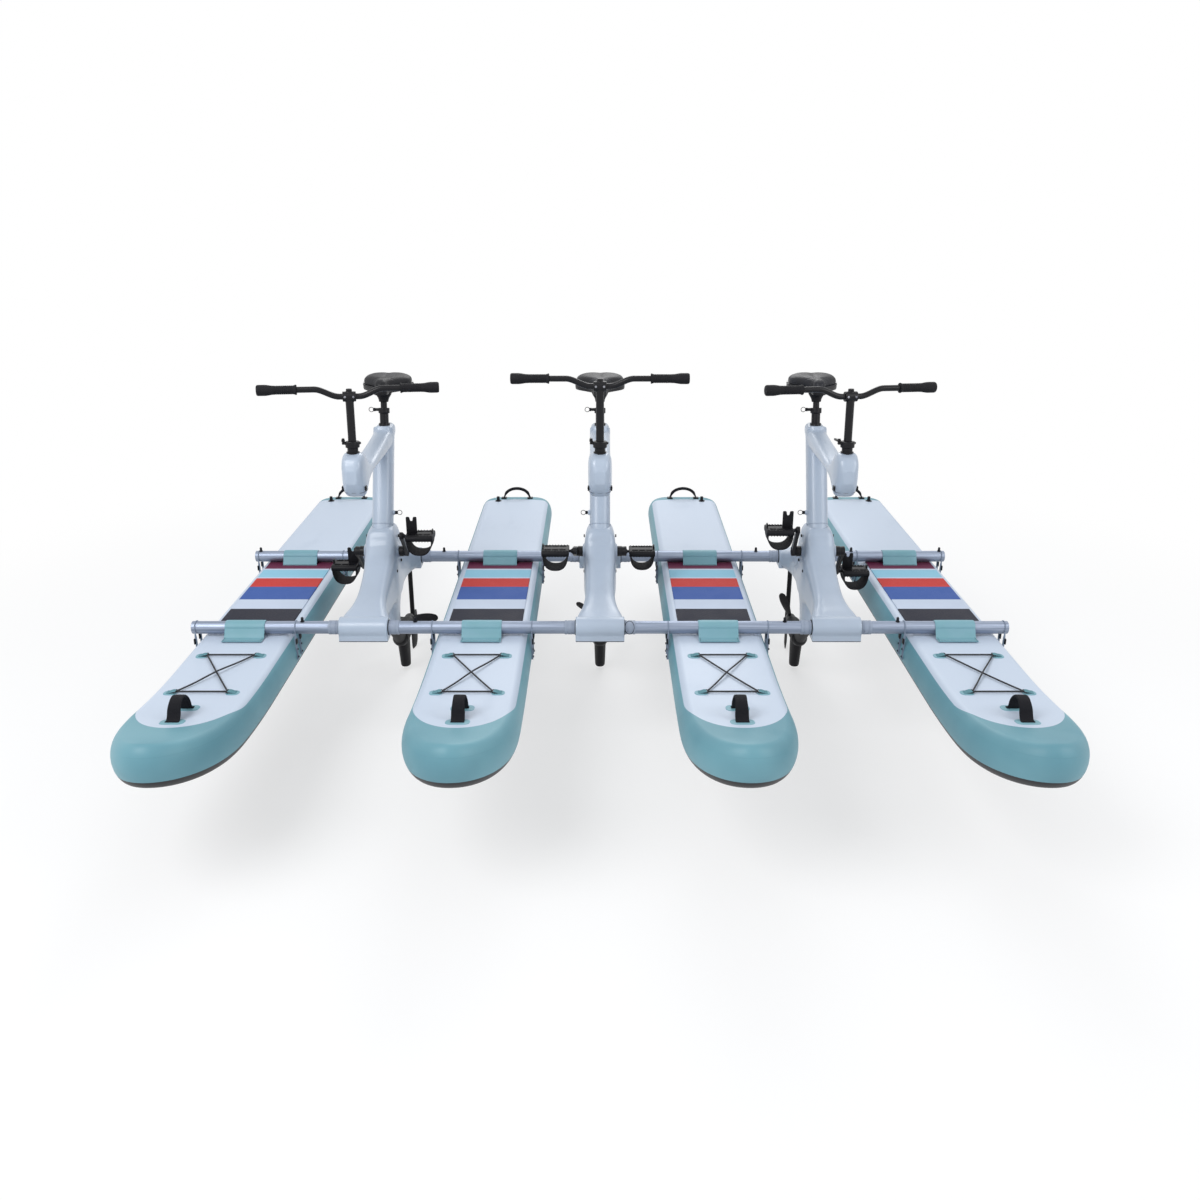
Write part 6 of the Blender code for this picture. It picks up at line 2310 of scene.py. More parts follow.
@dataclass
class Seat:
    """Saddle cushion with its shell, seams and clamp, the seat post, and its guide collar."""

    nose_y: float = 0.625
    length: float = 0.275
    width: float = 0.216
    nose_width: float = 0.060
    base: float = 0.776
    height: float = 0.074

    def half_width(self, share: float) -> float:
        """Half its width from the nose, 0, to the back, 1.

        Args:
            share: The share of the length.

        Returns:
            Half the width there.
        """
        t = min(max((share - 0.22) / 0.50, 0), 1)
        half = self.nose_width / 2 + (self.width - self.nose_width) / 2 * t * t * (3 - 2 * t)
        nose = sqrt(max(1 - (1 - share / 0.10) ** 2, 0.10)) if share < 0.10 else 1.0
        back = sqrt(max(1 - ((share - 0.80) / 0.20) ** 2, 0.08)) if share > 0.80 else 1.0
        return half * nose * back

    def heights(self, share: float) -> Pair:
        """The underside and the crown at a share of its length.

        Args:
            share: The share of the length, from the nose.

        Returns:
            The lower and the upper height.
        """
        dip = 0.006 * sin(pi * share)
        edge = min((1 - share) / 0.16, share / 0.10, 1.0)
        base = self.base + 0.012 * (1 - share)
        return base, base + self.height * (0.72 + 0.28 * sqrt(max(edge, 0.0))) - dip - 0.010 * (1 - share)

    def ring(self, share: float, profile: Profile, shrink: float = 0.0) -> Ring:
        """One section of the cushion or its shell.

        Args:
            share: Where it is, from nose to back.
            profile: Share of the width and of the height, up the right side.
            shrink: How much smaller it is all round.

        Returns:
            The section's points.
        """
        half = max(self.half_width(share) - shrink, 0.004)
        base, top = self.heights(share)
        base, top = base + shrink, top - shrink
        y = self.nose_y + shrink + (self.length - 2 * shrink) * share
        right = [Vector((half * w, y, base + (top - base) * h)) for w, h in profile]
        return right + [Vector((-p.x, p.y, p.z)) for p in reversed(right)]

    def cage(self, shrink: float) -> Mesh:
        """The cushion before it swells.

        Args:
            shrink: How much smaller than the seat it is.

        Returns:
            The closed mesh.
        """
        keys = (
            (0.82, 0.18), (0.96, 0.27), (1.0, 0.47), (0.985, 0.70), (0.86, 0.87), (0.60, 0.97), (0.30, 1.0),
            (0.06, 0.985),
        )
        profile = curve_through(keys, 3)
        shares = [i / 40 for i in range(41)]
        return lofted([self.ring(share, profile, shrink) for share in shares])

    def cushion(self) -> Mesh:
        """The padded cover, swollen by air and drawn in along its seams.

        Returns:
            The mesh.
        """
        start = self.cage(0.0045)
        mesh = worked(start, ("REMESH", {"mode": "VOXEL", "voxel_size": 0.005, "use_smooth_shade": True}))
        mesh = self.swollen(mesh, 0.0035)
        mesh = softened(mesh, 1)
        self.draw_in(mesh)
        return mesh

    @staticmethod
    def swollen(mesh: Mesh, most: float) -> Mesh:
        """Lets cloth swell under pressure, no point further than a limit.

        Args:
            mesh: The shape at rest.
            most: The furthest that a point may go.

        Returns:
            The swollen shape.
        """
        item = bpy.data.objects.new("cover", mesh.copy())
        scene = bpy.context.scene
        scene.collection.objects.link(item)
        cloth = item.modifiers.new("cover", "CLOTH")
        cloth.settings.use_pressure = True
        cloth.settings.uniform_pressure_force = 4.0
        cloth.settings.effector_weights.gravity = 0.0
        cloth.settings.quality = 6
        cloth.settings.mass = 0.3
        cloth.settings.tension_stiffness = 20
        cloth.settings.compression_stiffness = 20
        cloth.settings.bending_stiffness = 2.0
        for number in range(1, 21):
            scene.frame_set(number)
        graph = bpy.context.evaluated_depsgraph_get()
        moved = bpy.data.meshes.new_from_object(item.evaluated_get(graph), depsgraph=graph)
        for vertex, before in zip(moved.vertices, mesh.vertices):
            step = vertex.co - before.co
            if step.length > most:
                vertex.co = before.co + step.normalized() * most
        bpy.data.objects.remove(item, do_unlink=True)
        scene.frame_set(1)
        return moved

    def draw_in(self, mesh: Mesh) -> None:
        """Presses the cross seam and the relief channel into the cover.

        Args:
            mesh: The cover's mesh.
        """
        for vertex in mesh.vertices:
            spot = vertex.co
            share = (spot.y - self.nose_y) / self.length
            base, top = self.heights(min(max(share, 0), 1))
            if spot.z < base + (top - base) * 0.45:
                continue
            seam = self.nose_y + self.length * 0.40 + 0.35 * spot.x * spot.x / 0.1
            across = abs(spot.y - seam) / 0.0024
            channel = abs(spot.x) / 0.011
            fade = max(0.0, 1 - abs(share - 0.62) / 0.34)
            spot.z -= 0.0014 * bell(across) + 0.0030 * fade * bell(channel)

    def shell(self) -> Mesh:
        """The black base shell that shows as a skirt under the cushion."""
        profile = curve_through(((0.90, -0.04), (0.975, -0.02), (1.0, 0.09), (1.0, 0.27), (0.97, 0.33)), 3)
        return lofted([self.ring(i / 40, profile, 0.0012) for i in range(41)])

    def piping(self) -> list[Vector]:
        """The seam's path round the cushion, a little under its widest line.

        Returns:
            The path's points, in order.
        """
        right = []
        for i in range(61):
            share = i / 60
            base, top = self.heights(share)
            y = self.nose_y + 0.0012 + (self.length - 0.0024) * share
            right.append(Vector((self.half_width(share) - 0.0016, y, base + (top - base) * 0.335)))
        return right + [Vector((-p.x, p.y, p.z)) for p in reversed(right)]

    def clamp(self) -> Mesh:
        """The cone and bolt that hold the saddle on its post.

        Returns:
            The mesh.
        """
        profile = ((0, 0.0185), (0.001, 0.0195), (0.010, 0.0210), (0.018, 0.0240), (0.030, 0.0315), (0.040, 0.0355))
        cone = along_seat(0.746, profile, 56)
        middle = seat_point(0.752)
        ear = rounded(
            block(middle + Vector((-0.0095, 0.015, -0.007)), middle + Vector((0.0095, 0.030, 0.007))), 0.002, 3,
        )
        bolt = rod(middle + Vector((-0.014, 0.024, 0)), (1, 0, 0), 0.0040, 0.0280, 6)
        shape = carved(moulded(joined(cone, ear), 0.0016, 2), along_seat(0.700, ((0, 0.0141), (0.062, 0.0141))))
        return joined(shape, bolt)

    def post(self) -> Mesh:
        """The seat post with its height rings.

        Returns:
            The mesh.
        """
        length = (0.776 - 0.585) / SEAT_AXIS.z - 0.012
        profile = [(0, 0.0125), (0.001, 0.0135)]
        for i in range(5):
            spot = 0.148 + i * 0.0065
            profile += groove(spot, 0.0003, 0.0009, 0.0012, 0.0135, 0.0132)
        profile += [(length, 0.0135)]
        return along_seat(0.585, profile)

    def collar(self) -> Mesh:
        """The guide sleeve and its collar, with the pin's boss.

        Returns:
            The mesh.
        """
        top = (0.700 - 0.615) / SEAT_AXIS.z
        total = (0.722 - 0.615) / SEAT_AXIS.z
        profile = (
            (0, 0.0185), (top, 0.0185), (top, 0.0225), (top + 0.001, 0.0235), (total - 0.001, 0.0235), (total, 0.0225),
        )
        middle = seat_point(0.715)
        boss = turned(middle, (-1, 0, 0), ((0, 0.0064), (0.0345, 0.0064), (0.0355, 0.0056)), 32)
        shape = moulded(joined(along_seat(0.615, profile), boss), 0.0013, 2)
        pin_hole = rod(middle, (-1, 0, 0), 0.0045, 0.06, 24)
        return carved(shape, along_seat(0.566, ((0, 0.0140), (0.3, 0.0140))), pin_hole)

    def build(self, shop: Workshop) -> list[Part]:
        """Makes the seat's pieces.

        Args:
            shop: The workshop that makes the rows and sets.

        Returns:
            The pieces.
        """
        line = self.piping()
        cord = swept(line, [0.0019] * len(line), 10, closed=True)
        lower = [Vector((p.x, p.y, p.z + 0.0075)) for p in line]
        stitches = shop.row([*lower, lower[0]], stitch(0.0038, 0.0005), 0.0058, THREAD)
        slot = "saddle_cover"
        return [
            Part("saddle_cushion", self.cushion(), SADDLE_SKIN, slot, Body.SEAT, "saddle", 60, 0.75),
            Part("saddle_shell", self.shell(), BLACK, slot, Body.SEAT, angle=45),
            Part("saddle_piping", cord, SADDLE_SKIN, slot, Body.SEAT, angle=60),
            Part("saddle_stitching", stitches, THREAD, slot, Body.SEAT, angle=60),
            Part("saddle_clamp", self.clamp(), CASTING, slot, Body.SEAT),
            Part("seat_tube", self.post(), POST, "black_aluminium", Body.SEAT, "seat_post"),
            Part("seat_guide", self.collar(), BLACK, "black_aluminium", Body.CRAFT, "seat_collar"),
        ]


@dataclass
class PullPin:
    """A spring pin with a knob and a pull ring."""

    pin_radius: float = 0.004
    knob_radius: float = 0.0075
    knob_length: float = 0.010
    ring_radius: float = 0.0098
    wire: float = 0.0013

    def build(self, name: str, start: Vector, side: int, depth: float, body: Body, only: tuple[int, ...]) -> list[Part]:
        """Makes a pin out of its boss.

        Args:
            name: The CAD node that it stands for.
            start: The boss's outer face.
            side: The side that it points to.
            depth: How deep the pin goes.
            body: The body that it rides on.
            only: The bikes that have it.

        Returns:
            The pin and its ring.
        """
        way = Vector((side, 0, 0))
        gap, knob = depth + 0.0005, self.knob_radius
        profile = [(0, self.pin_radius * 0.8), (0.001, self.pin_radius), (gap, self.pin_radius), (gap, knob - 0.0006)]
        profile += [(gap + 0.0006, knob)]
        for i in range(3):
            spot = gap + 0.0018 + i * 0.0022
            profile += groove(spot, 0.0003, 0.0009, 0.0012, knob, knob - 0.0005)
        profile += [(gap + self.knob_length - 0.001, knob * 0.9), (gap + self.knob_length, knob * 0.75)]
        pin = turned(start - way * depth, way, profile, 36)
        centre = start + way * (self.knob_length + self.ring_radius - self.wire)
        path = []
        for i in range(40):
            angle = 2 * pi * i / 40
            path.append(centre + Vector((cos(angle) * self.ring_radius, 0, sin(angle) * self.ring_radius)))
        ring = swept(path, [self.wire] * 40, 12, closed=True)
        return [
            Part(f"{name}_pin", pin, DARK_STEEL, "pin_steel", body, name, only=only),
            Part(f"{name}_ring", ring, DARK_STEEL, "pin_steel", body, angle=60, only=only),
        ]


# Drive


@dataclass
class CrankDrive:
    """The crankset, about its own axle."""

    length: float = CRANK_LENGTH
    hub_start: float = 0.0735
    hub_length: float = 0.038
    hub_radius: float = 0.022

    def arm(self, side: int) -> Mesh:
        """A forged arm, from its hub to its pedal eye.

        Args:
            side: Which side, -1 or 1.

        Returns:
            The arm.
        """
        turn = 0.0 if side > 0 else pi
        reach = side * self.length
        outline = arc((0, 0), 0.0205, turn + pi / 2, turn + pi * 1.5, 24)
        outline += [(reach * 0.35, -side * 0.0150), (reach * 0.75, -side * 0.0125)]
        outline += arc((reach, 0), 0.0158, turn - pi / 2, turn + pi / 2, 24)
        outline += [(reach * 0.75, side * 0.0125), (reach * 0.35, side * 0.0150)]
        x0 = side * (self.hub_start + self.hub_length - 0.014)
        depth = Vector((side * 0.0145, 0, 0))
        shape = pressed(outline, Vector((x0, 0, 0)), Y_WAY, Z_WAY, depth)
        return rounded(shape, 0.0030, 3)

    def hub(self, side: int) -> Mesh:
        """The arm's boss, its bolt and the pedal's eye.

        Args:
            side: Which side, -1 or 1.

        Returns:
            The boss, the bolt and the eye.
        """
        start = (side * self.hub_start, 0, 0)
        r, long = self.hub_radius, self.hub_length
        profile = (
            (0, r - 0.001), (0.001, r), (long * 0.45, r), (long * 0.52, r - 0.002), (long - 0.001, r - 0.001),
            (long + 0.0005, r - 0.003),
        )
        boss = turned(start, (side, 0, 0), profile, 48)
        edge = side * (self.hub_start + long)
        cap = turned(
            (edge, 0, 0), (side, 0, 0),
            ((-0.002, 0.012), (0.0014, 0.012), (0.0022, 0.0105), (0.0022, 0.0060), (0.0005, 0.0055), (0.0005, 0.001)),
            40,
        )
        eye = turned(
            (edge, side * self.length, 0), (side, 0, 0), ((-0.014, 0.0125), (0.0020, 0.0125), (0.0030, 0.0110)), 40,
        )
        return joined(boss, cap, eye)

    def pins(self) -> Mesh:
        """The axle and both pedal pins.

        Returns:
            The mesh.
        """
        reach = self.hub_start + self.hub_length / 2
        axle = turned((-reach, 0, 0), (1, 0, 0), ((0, 0.011), (2 * reach, 0.011)), 40)
        shapes = [axle]
        for side in (-1, 1):
            foot = (side * (self.hub_start + self.hub_length), side * self.length, 0)
            profile = (
                (-0.002, 0.006), (0.002, 0.006), (0.002, 0.0085), (0.0075, 0.0085), (0.0085, 0.006), (0.099, 0.006),
                (0.100, 0.005),
            )
            shapes.append(turned(foot, (side, 0, 0), profile, 32))
        return joined(*shapes)

    def build(self) -> list[Part]:
        """Makes the crankset's pieces.

        Returns:
            The pieces.
        """
        shapes = [shape for side in (-1, 1) for shape in (self.arm(side), self.hub(side))]
        return [
            Part("crank_arms", joined(*shapes), BLACK, "black_moulding", Body.CRANKS, "crankset"),
            Part("crank_pins", self.pins(), DARK_STEEL, "black_moulding", Body.CRANKS),
        ]


@dataclass
class Pedal:
    """A pedal block with studded treads, toe strap, outer lug and, on two bikes, a forked strap tail."""

    side: int = 1
    width: float = 0.112
    depth: float = 0.094
    height: float = 0.026
    strap_drop: float = 0.071
    strap_width: float = 0.098

    def frame_block(self) -> Mesh:
        """The block with six shallow wells in each face and the axle's bore.

        Returns:
            The mesh.
        """
        half_y, half_z = self.depth / 2, self.height / 2
        outline = arc((half_y - 0.012, 0), half_z, -pi / 2, pi / 2, 14)
        outline += arc((0.012 - half_y, 0), half_z, pi / 2, pi * 1.5, 14)
        origin, wide = Vector((-self.width / 2, 0, 0)), Vector((self.width, 0, 0))
        body = rounded(pressed(outline, origin, Y_WAY, Z_WAY, wide), 0.003, 3)
        tools = []
        for way in (-1, 1):
            low, high = sorted((way * 0.0175, way * (half_y - 0.014)))
            for start, end in ((-0.044, -0.0165), (-0.0135, 0.0135), (0.0165, 0.044)):
                tools.append(block((start, low, half_z - 0.0035), (end, high, 0.03)))
                tools.append(block((start, low, -0.03), (end, high, 0.0035 - half_z)))
        tools.append(rod((-0.07 * self.side, 0, 0), (self.side, 0, 0), 0.0066, 0.114, 32))
        return carved(joined(body), *tools)

    def barrel(self) -> Mesh:
        """The bearing barrel across the middle.

        Returns:
            The mesh.
        """
        profile = (
            (0, 0.0090), (0, 0.0125), (0.001, 0.0135), (0.109, 0.0135), (0.110, 0.0125), (0.110, 0.0010),
            (0.106, 0.0010), (0.106, 0.0066),
        )
        inner = ((0.106, 0.0066), (0.0, 0.0066))
        start = (-self.side * 0.055, 0, 0)
        return turned(start, (self.side, 0, 0), (*profile, *inner), 40)

    def treads(self, shop: Workshop) -> Mesh:
        """Rows of grip studs on both faces.

        Args:
            shop: The workshop that makes the rows and sets.

        Returns:
            All the studs.
        """
        spots = []
        for way in (-1, 1):
            for z in (-1, 1):
                for i in range(9):
                    x = -0.048 + i * 0.012
                    spots.append((Vector((x, way * 0.038, z * 0.0126)), Vector((0, 0, z))))
        stud = turned((0, 0, -0.001), (0, 0, 1), ((0, 0.0024), (0.0024, 0.0020), (0.0030, 0.0012)), 12)
        return shop.set_of(spots, stud, BLACK)

    def strap(self) -> Mesh:
        """The toe strap hanging under the block.

        Returns:
            The mesh.
        """
        half = self.width / 2 - 0.005
        loop = superellipse(half, self.strap_drop - 0.002, 32, 2.5)
        keys = [(half, 0.004), *((a, b) for a, b in [loop[0], *loop[:15:-1]]), (-half, 0.004)]
        path = [Vector((x, 0, z)) for x, z in curve_through(keys, 4)]
        return ribbon(path, Y_WAY, [self.strap_width] * len(path), [0.0036] * len(path))

    def buckle(self) -> Mesh:
        """The strap's slide and the block's outer lug.

        Returns:
            The mesh.
        """
        x = self.side * (self.width / 2 - 0.005)
        lug = rounded(block((x - 0.003, -0.009, 0.0), (x + 0.003, 0.009, 0.030)), 0.0018, 3)
        slide = rounded(block((-0.011, -0.040, -0.0730), (0.011, 0.040, -0.0675)), 0.0014, 3)
        gaps = [block((-0.0075 + s, -0.0373, -0.09), (-0.0015 + s, 0.0373, -0.06)) for s in (0.0, 0.009)]
        return joined(lug, carved(slide, *gaps))

    def tail(self) -> Mesh:
        """The forked free end of the strap.

        Returns:
            The mesh.
        """
        inner = -self.side * (self.width / 2 - 0.001)
        root, tip = 0.0440, 0.082
        notch = tip * 0.80
        outline = [
            (0, 0), (root, 0), (root, tip - 0.003), (root * 0.94, tip), (root * 0.72, tip), (root * 0.66, tip - 0.003),
        ]
        outline += arc((root * 0.5, notch + 0.004), root * 0.12, 0, -pi, 8)
        outline += [(root * 0.34, tip - 0.003), (root * 0.28, tip), (root * 0.06, tip), (0, tip - 0.003)]
        first = Vector((self.side, 0, 0))
        shape = pressed(outline, Vector((inner, -0.0022, 0)), first, Z_WAY, Vector((0, 0.0044, 0)))
        return rounded(shape, 0.0012, 2)

    def build(self, shop: Workshop) -> list[Part]:
        """Makes the pedal's pieces.

        Args:
            shop: The workshop that makes the rows and sets.

        Returns:
            The pieces.
        """
        word, body = ("left", Body.PEDAL_LEFT) if self.side > 0 else ("right", Body.PEDAL_RIGHT)
        name, slot = f"pedal_{word}", "soft_black"
        return [
            Part(f"{name}_block", self.frame_block(), CASTING, slot, body, name),
            Part(f"{name}_barrel", self.barrel(), BLACK, slot, body),
            Part(f"{name}_studs", self.treads(shop), BLACK, slot, body),
            Part(f"{name}_strap", self.strap(), WEBBING, slot, body, angle=50),
            Part(f"{name}_slide", self.buckle(), BLACK, slot, body),
            Part(f"{name}_tail", self.tail(), COVER_RUBBER, slot, body, only=(1, 3)),
        ]


# Underwater


@dataclass
class Underwater:
    """Drive leg with its gear pod and fin, two-bladed propeller, and rudder."""

    pod_y: float = 0.660
    pod_z: float = POD_Z
    pod_length: float = 0.270
    fin_y: float = 0.790
    blade_radius: float = 0.1375
    rudder_y: float = RUDDER_Y

    def casting(self) -> Mesh:
        """Strut, pod and fin in one.

        Returns:
            The mesh.
        """
        keys = (
            (0, 0.004), (0.004, 0.013), (0.016, 0.026), (0.034, 0.0335), (0.055, 0.0375), (0.200, 0.0375),
            (0.236, 0.0335), (0.270, 0.024),
        )
        pod = turned((0, self.pod_y, self.pod_z), (0, 1, 0), curve_through(keys, 3), 56)
        leg_y, bottom = 0.5695, -0.2353
        half_x, half_y = 0.0282, 0.0555
        strut_keys = (
            (leg_y, bottom, half_x, half_y),
            (leg_y + 0.030, bottom - 0.024, half_x * 0.97, half_y * 1.01),
            (leg_y + 0.075, (bottom + self.pod_z) / 2, half_x * 0.92, half_y * 1.05),
            (0.730, self.pod_z, half_x * 0.9, half_y * 1.3),
        )
        strut = [level_ring(*key, 48, 2.6) for key in curve_through(strut_keys, 5)]
        fin_keys = (
            (self.fin_y - 0.020, self.pod_z, 0.029, 0.0625),
            (self.fin_y - 0.008, -0.435, 0.026, 0.0475),
            (self.fin_y - 0.001, -0.512, 0.0232, 0.0310),
            (self.fin_y, -0.520, 0.0200, 0.0270),
        )
        fin = [level_ring(*key, 48, 2.0) for key in curve_through(fin_keys, 5)]
        skin = moulded(joined(pod, lofted(strut), lofted(fin)), 0.0026, 3)
        end = self.pod_y + self.pod_length
        bore = rod((0, end - 0.041, self.pod_z), (0, 1, 0), 0.0082, 0.08, 32)
        return carved(skin, bore)

    def pod_fittings(self, shop: Workshop) -> Mesh:
        """The bolts of the pod's cover.

        Args:
            shop: The workshop that makes the rows and sets.

        Returns:
            The bolts.
        """
        spots = []
        for side in (-1, 1):
            for y in (0.725, 0.775, 0.825):
                spots.append((Vector((side * 0.0368, y, self.pod_z + 0.004)), Vector((side, 0, 0))))
        return shop.set_of(spots, socket_bolt(0.0042, 0.0026), DARK_STEEL)

    def blade(self, turn: float) -> Mesh:
        """One twisted blade, from inside the hub to its round tip.

        Args:
            turn: How far it is turned about the shaft.

        Returns:
            The blade.
        """
        rings = []
        root = 0.0144
        for i in range(25):
            share = i / 24
            radius = root + (self.blade_radius - root) * share
            pitch = radians(58 - 34 * share)
            chord = 0.050 * (0.62 + 0.9 * share - 1.05 * share**3)
            chord *= sqrt(max(1 - max(share - 0.90, 0) ** 2 / 0.0118, 0.08))
            thick = 0.006 * (1.2 - 0.7 * share)
            ring = []
            for a, b in superellipse(chord / 2, thick / 2, 28, 1.8):
                across = a * cos(pitch) - b * sin(pitch)
                along = a * sin(pitch) + b * cos(pitch)
                ring.append(Matrix.Rotation(turn, 3, "Y") @ Vector((radius, along + 0.026, across)))
            rings.append(ring)
        return lofted(rings)

    def propeller(self) -> Mesh:
        """Hub, shaft end and both blades.

        Returns:
            The mesh.
        """
        keys = (
            (0, 0.0235), (0.0015, 0.024), (0.014, 0.0238), (0.0286, 0.0228), (0.0380, 0.0195), (0.0442, 0.0156),
            (0.0495, 0.0100), (0.0520, 0.0040),
        )
        hub = turned((0, 0, 0), (0, 1, 0), curve_through(keys, 2), 48)
        shaft = rod((0, -0.040, 0), (0, 1, 0), 0.0070, 0.050, 32)
        return joined(hub, shaft, self.blade(0), self.blade(pi))

    def rudder(self) -> Mesh:
        """Stock, nut, collar and blade, in the bike's frame.

        Returns:
            The mesh.
        """
        y = self.rudder_y
        stock = rod((0, y, -0.430), (0, 0, 1), 0.011, 0.3945, 40)
        nut = turned(
            (0, y, -0.0395), (0, 0, 1),
            ((0, 0.0165), (0.0008, 0.0175), (0.0065, 0.0175), (0.0080, 0.0155), (0.0080, 0.0060)), 6,
        )
        collar = turned((0, y, -0.0945), (0, 0, 1), ((0, 0.017), (0.001, 0.018), (0.011, 0.018), (0.012, 0.017)), 40)
        keys = (
            (y + 0.013, -0.360, 0.0400), (y + 0.013, -0.380, 0.0487), (y + 0.011, -0.440, 0.0462),
            (y + 0.007, -0.510, 0.0408), (y + 0.004, -0.532, 0.0350), (y + 0.003, -0.540, 0.0300),
        )
        rings = []
        for middle, z, reach in curve_through(keys, 5):
            thick = 0.007 * min(1.0, 0.55 + (z + 0.540) * 20)
            rings.append(level_ring(middle, z, thick, reach, 40, 1.7))
        return joined(stock, nut, collar, lofted(rings))

    def build(self, shop: Workshop) -> list[Part]:
        """Makes the underwater pieces.

        Args:
            shop: The workshop that makes the rows and sets.

        Returns:
            The pieces.
        """
        slot = "black_moulding"
        return [
            Part("drive_casting", self.casting(), CASTING, slot, node="drive_leg", angle=40),
            Part("pod_bolts", self.pod_fittings(shop), DARK_STEEL, slot),
            Part("screw", self.propeller(), BLACK, slot, Body.SCREW, "propeller"),
            Part("rudder_blade", self.rudder(), CASTING, slot, Body.RUDDER, "rudder"),
        ]


# The craft


@dataclass
class Berth:
    """How one bike stands: its place across, the turns of its moving pieces and how far its stem is drawn out."""

    number: int
    x: float
    crank: float
    screw: float
    steer: float
    lift: float

    def place(self, body: Body) -> Matrix:
        """Where a body's pieces stand.

        Args:
            body: The body.

        Returns:
            Its place and turn.
        """
        origin = Matrix.Translation((self.x, FRONT_TUBE_Y, TUBE_Z))
        if body in (Body.STEERER, Body.CLAMP, Body.STEM):
            pivot = stem_point(PIVOT_Z)
            turn = Matrix.Rotation(self.steer, 4, STEM_AXIS)
            drawn = STEM_AXIS * (self.lift if body is Body.STEM else 0.0)
            return origin @ Matrix.Translation(pivot) @ turn @ Matrix.Translation(drawn - pivot)
        if body is Body.CRANKS:
            return origin @ Matrix.Translation((0, CRANK_Y, CRANK_Z)) @ Matrix.Rotation(self.crank, 4, "X")
        if body in (Body.PEDAL_LEFT, Body.PEDAL_RIGHT):
            side = 1 if body is Body.PEDAL_LEFT else -1
            reach = side * CRANK_LENGTH
            spot = (side * PEDAL_X, CRANK_Y + reach * cos(self.crank), CRANK_Z + reach * sin(self.crank))
            return origin @ Matrix.Translation(spot)
        if body is Body.SCREW:
            return origin @ Matrix.Translation((0, SCREW_Y, POD_Z)) @ Matrix.Rotation(self.screw, 4, "Y")
        if body is Body.RUDDER:
            stock = Vector((0, RUDDER_Y, 0))
            turn = Matrix.Rotation(-self.steer, 4, "Z")
            return origin @ Matrix.Translation(stock) @ turn @ Matrix.Translation(-stock)
        return origin


@dataclass
class Craft:
    """The whole water bike."""

    berths: tuple[Berth, ...] = (
        Berth(1, -BIKE_PITCH, radians(136), 0.0, radians(9.5), -0.010),
        Berth(2, 0.0, radians(-19), radians(35), 0.0, 0.027),
        Berth(3, BIKE_PITCH, radians(-55), radians(68), radians(9.5), -0.010),
    )

    def bike_parts(self, shop: Workshop) -> list[Part]:
        """Makes each piece of a bike once.

        Args:
            shop: The workshop that makes the rows and sets.

        Returns:
            The pieces.
        """
        seat_start = seat_point(0.715)
        seat_start.x = -0.0355
        column_start = column_point(0.312)
        parts = [*Housing().build(shop), *FrameMoulding().build(), *Steering().build(shop), *Seat().build(shop)]
        parts += PullPin().build("seat_lock", seat_start, -1, 0.0210, Body.SEAT_PIN, (1, 2, 3))
        for side, only in ((1, (1,)), (-1, (2, 3))):
            start = Vector((side * 0.052, column_start.y, column_start.z))
            parts += PullPin().build("column_lock", start, side, 0.032, Body.COLUMN_PIN, only)
        parts += CrankDrive().build()
        for side in (1, -1):
            parts += Pedal(side).build(shop)
        return parts + Underwater().build(shop)

    def build(self) -> None:
        """Makes and sets every piece."""
        shop = Workshop()
        for part in Board().build(shop):
            for number in range(1, 5):
                place = Matrix.Translation(((number - 2.5) * BIKE_PITCH, FRONT_TUBE_Y, TUBE_Z))
                part.set_in(shop, number, place)
        rear = CrossTube(pins=(*CrossTube.pins, CrossTube.end_pin))
        for name, y, tube in (("front_tube", 0.0, CrossTube()), ("rear_tube", TUBE_SPACING, rear)):
            for part in tube.build(name):
                place = Matrix.Translation((0, FRONT_TUBE_Y + y, TUBE_Z))
                node = name if part.name.endswith("pipe") else None
                shop.fit(part.mesh, part.name, "craft", part.finish, place, node)
        for part in self.bike_parts(shop):
            for berth in self.berths:
                part.set_in(shop, berth.number, berth.place(part.body))


# Studio


def seen_directly(graph: Graph) -> Wire:
    """One for what the camera, a reflection or glass shows; zero for the light on the object.

    Args:
        graph: The tree that it goes into.

    Returns:
        One or zero.
    """
    path = graph.node("ShaderNodeLightPath")
    seen = Wire(graph, path.outputs["Is Camera Ray"]).most(Wire(graph, path.outputs["Is Glossy Ray"]))
    return seen.most(Wire(graph, path.outputs["Is Transmission Ray"]))


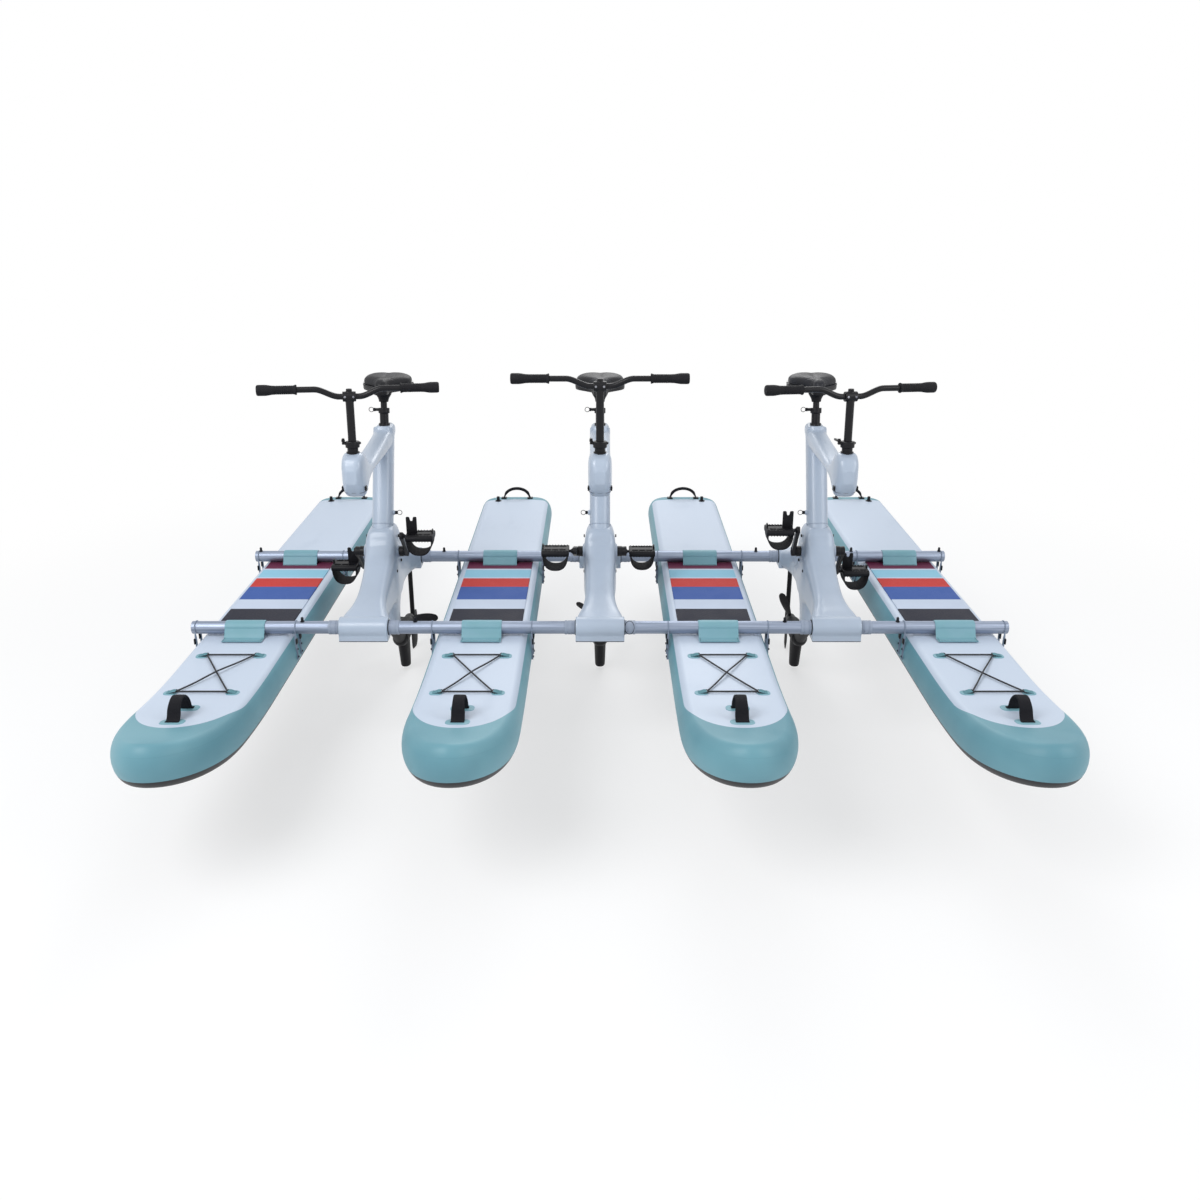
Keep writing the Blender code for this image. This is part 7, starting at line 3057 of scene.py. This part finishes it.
@dataclass
class Studio:
    """Pale floor, soft lamps, white surroundings and the camera."""

    floor_z: float = -0.4300
    floor_half: float = 30.0
    eye: Vector = field(default_factory=lambda: Vector((0, -4.393, 1.769)))
    pitch: float = 21.26
    lens: float = 33.0

    def floor(self) -> None:
        """Lays the floor."""
        mesh = bpy.data.meshes.new("floor")
        size = self.floor_half
        corners = [(-size, -size, 0), (size, -size, 0), (size, size, 0), (-size, size, 0)]
        mesh.from_pydata([(x, y, self.floor_z) for x, y, _ in corners], [], [(0, 1, 2, 3)])
        paint = Paint("studio_floor")
        across, along, _ = paint.axes()
        speckle = paint.noise(30, 3)
        base = paint.blend(speckle * 0.05, (0.95, 0.95, 0.955), (0.84, 0.84, 0.85))
        shader = paint.node("ShaderNodeBsdfPrincipled", None, {"Base Color": base, "Roughness": 0.85 + speckle * 0.1})
        white = paint.node("ShaderNodeEmission", None, {0: (1.0, 1.0, 1.0), 1: 1.0})
        reach = (across * across + along * along) ** 0.5
        share = reach.ramp(1.9, 4.6, 0.60, 1.0) * seen_directly(paint)
        mixed = paint.node("ShaderNodeMixShader", None, {0: share, 1: shader.outputs[0], 2: white.outputs[0]})
        paint.feed(paint.output.inputs[0], mixed.outputs[0])
        mesh.materials.append(paint.material)
        floor = bpy.data.objects.new("floor", mesh)
        bpy.context.scene.collection.objects.link(floor)

    def lamp(self, name: str, spot: Vector, size: float, power: float) -> None:
        """Hangs a soft lamp that looks at the craft's middle.

        Args:
            name: The lamp's name.
            spot: Where it hangs.
            size: How wide it is.
            power: Its power in watts.
        """
        data = bpy.data.lights.new(name, "AREA")
        data.shape = "DISK"
        data.size = size
        data.energy = power
        lamp = bpy.data.objects.new(name, data)
        lamp.location = spot
        lamp.rotation_euler = (Vector((0, 0, 0.2)) - spot).to_track_quat("-Z", "Y").to_euler()
        bpy.context.scene.collection.objects.link(lamp)

    def surroundings(self) -> None:
        """Sets a white background and a soft, pale blue sky light."""
        world = bpy.data.worlds.new("surroundings")
        bpy.context.scene.world = world
        world.use_nodes = True
        graph = Graph(world.node_tree)
        graph.tree.nodes.clear()
        seen = seen_directly(graph)
        white = graph.node("ShaderNodeBackground", None, {0: (1.0, 1.0, 1.0), 1: 1.0})
        sky = graph.node("ShaderNodeBackground", None, {0: (0.93, 0.96, 1.0), 1: 0.50})
        mixed = graph.node("ShaderNodeMixShader", None, {0: seen, 1: sky.outputs[0], 2: white.outputs[0]})
        graph.node("ShaderNodeOutputWorld", None, {0: mixed.outputs[0]})

    def camera(self) -> None:
        """Sets the camera where the picture was taken from."""
        data = bpy.data.cameras.new("camera")
        data.lens = self.lens
        data.sensor_width = 36.0
        camera = bpy.data.objects.new("camera", data)
        camera.location = self.eye
        camera.rotation_euler = (radians(90 - self.pitch), 0, 0)
        bpy.context.scene.collection.objects.link(camera)
        bpy.context.scene.camera = camera

    def build(self) -> None:
        """Sets up the whole studio."""
        self.floor()
        self.lamp("key", Vector((-3.2, -3.6, 4.6)), 3.6, 205)
        self.lamp("fill", Vector((4.2, -2.6, 3.0)), 3.2, 80)
        self.lamp("back", Vector((0.5, 4.6, 4.2)), 3.6, 118)
        self.surroundings()
        self.camera()
        bpy.context.scene.view_settings.view_transform = "Standard"


def main() -> None:
    """Builds the craft and the studio."""
    logging.basicConfig(level=logging.INFO, format="%(message)s")
    Craft().build()
    Studio().build()


if __name__ == "__main__":
    main()
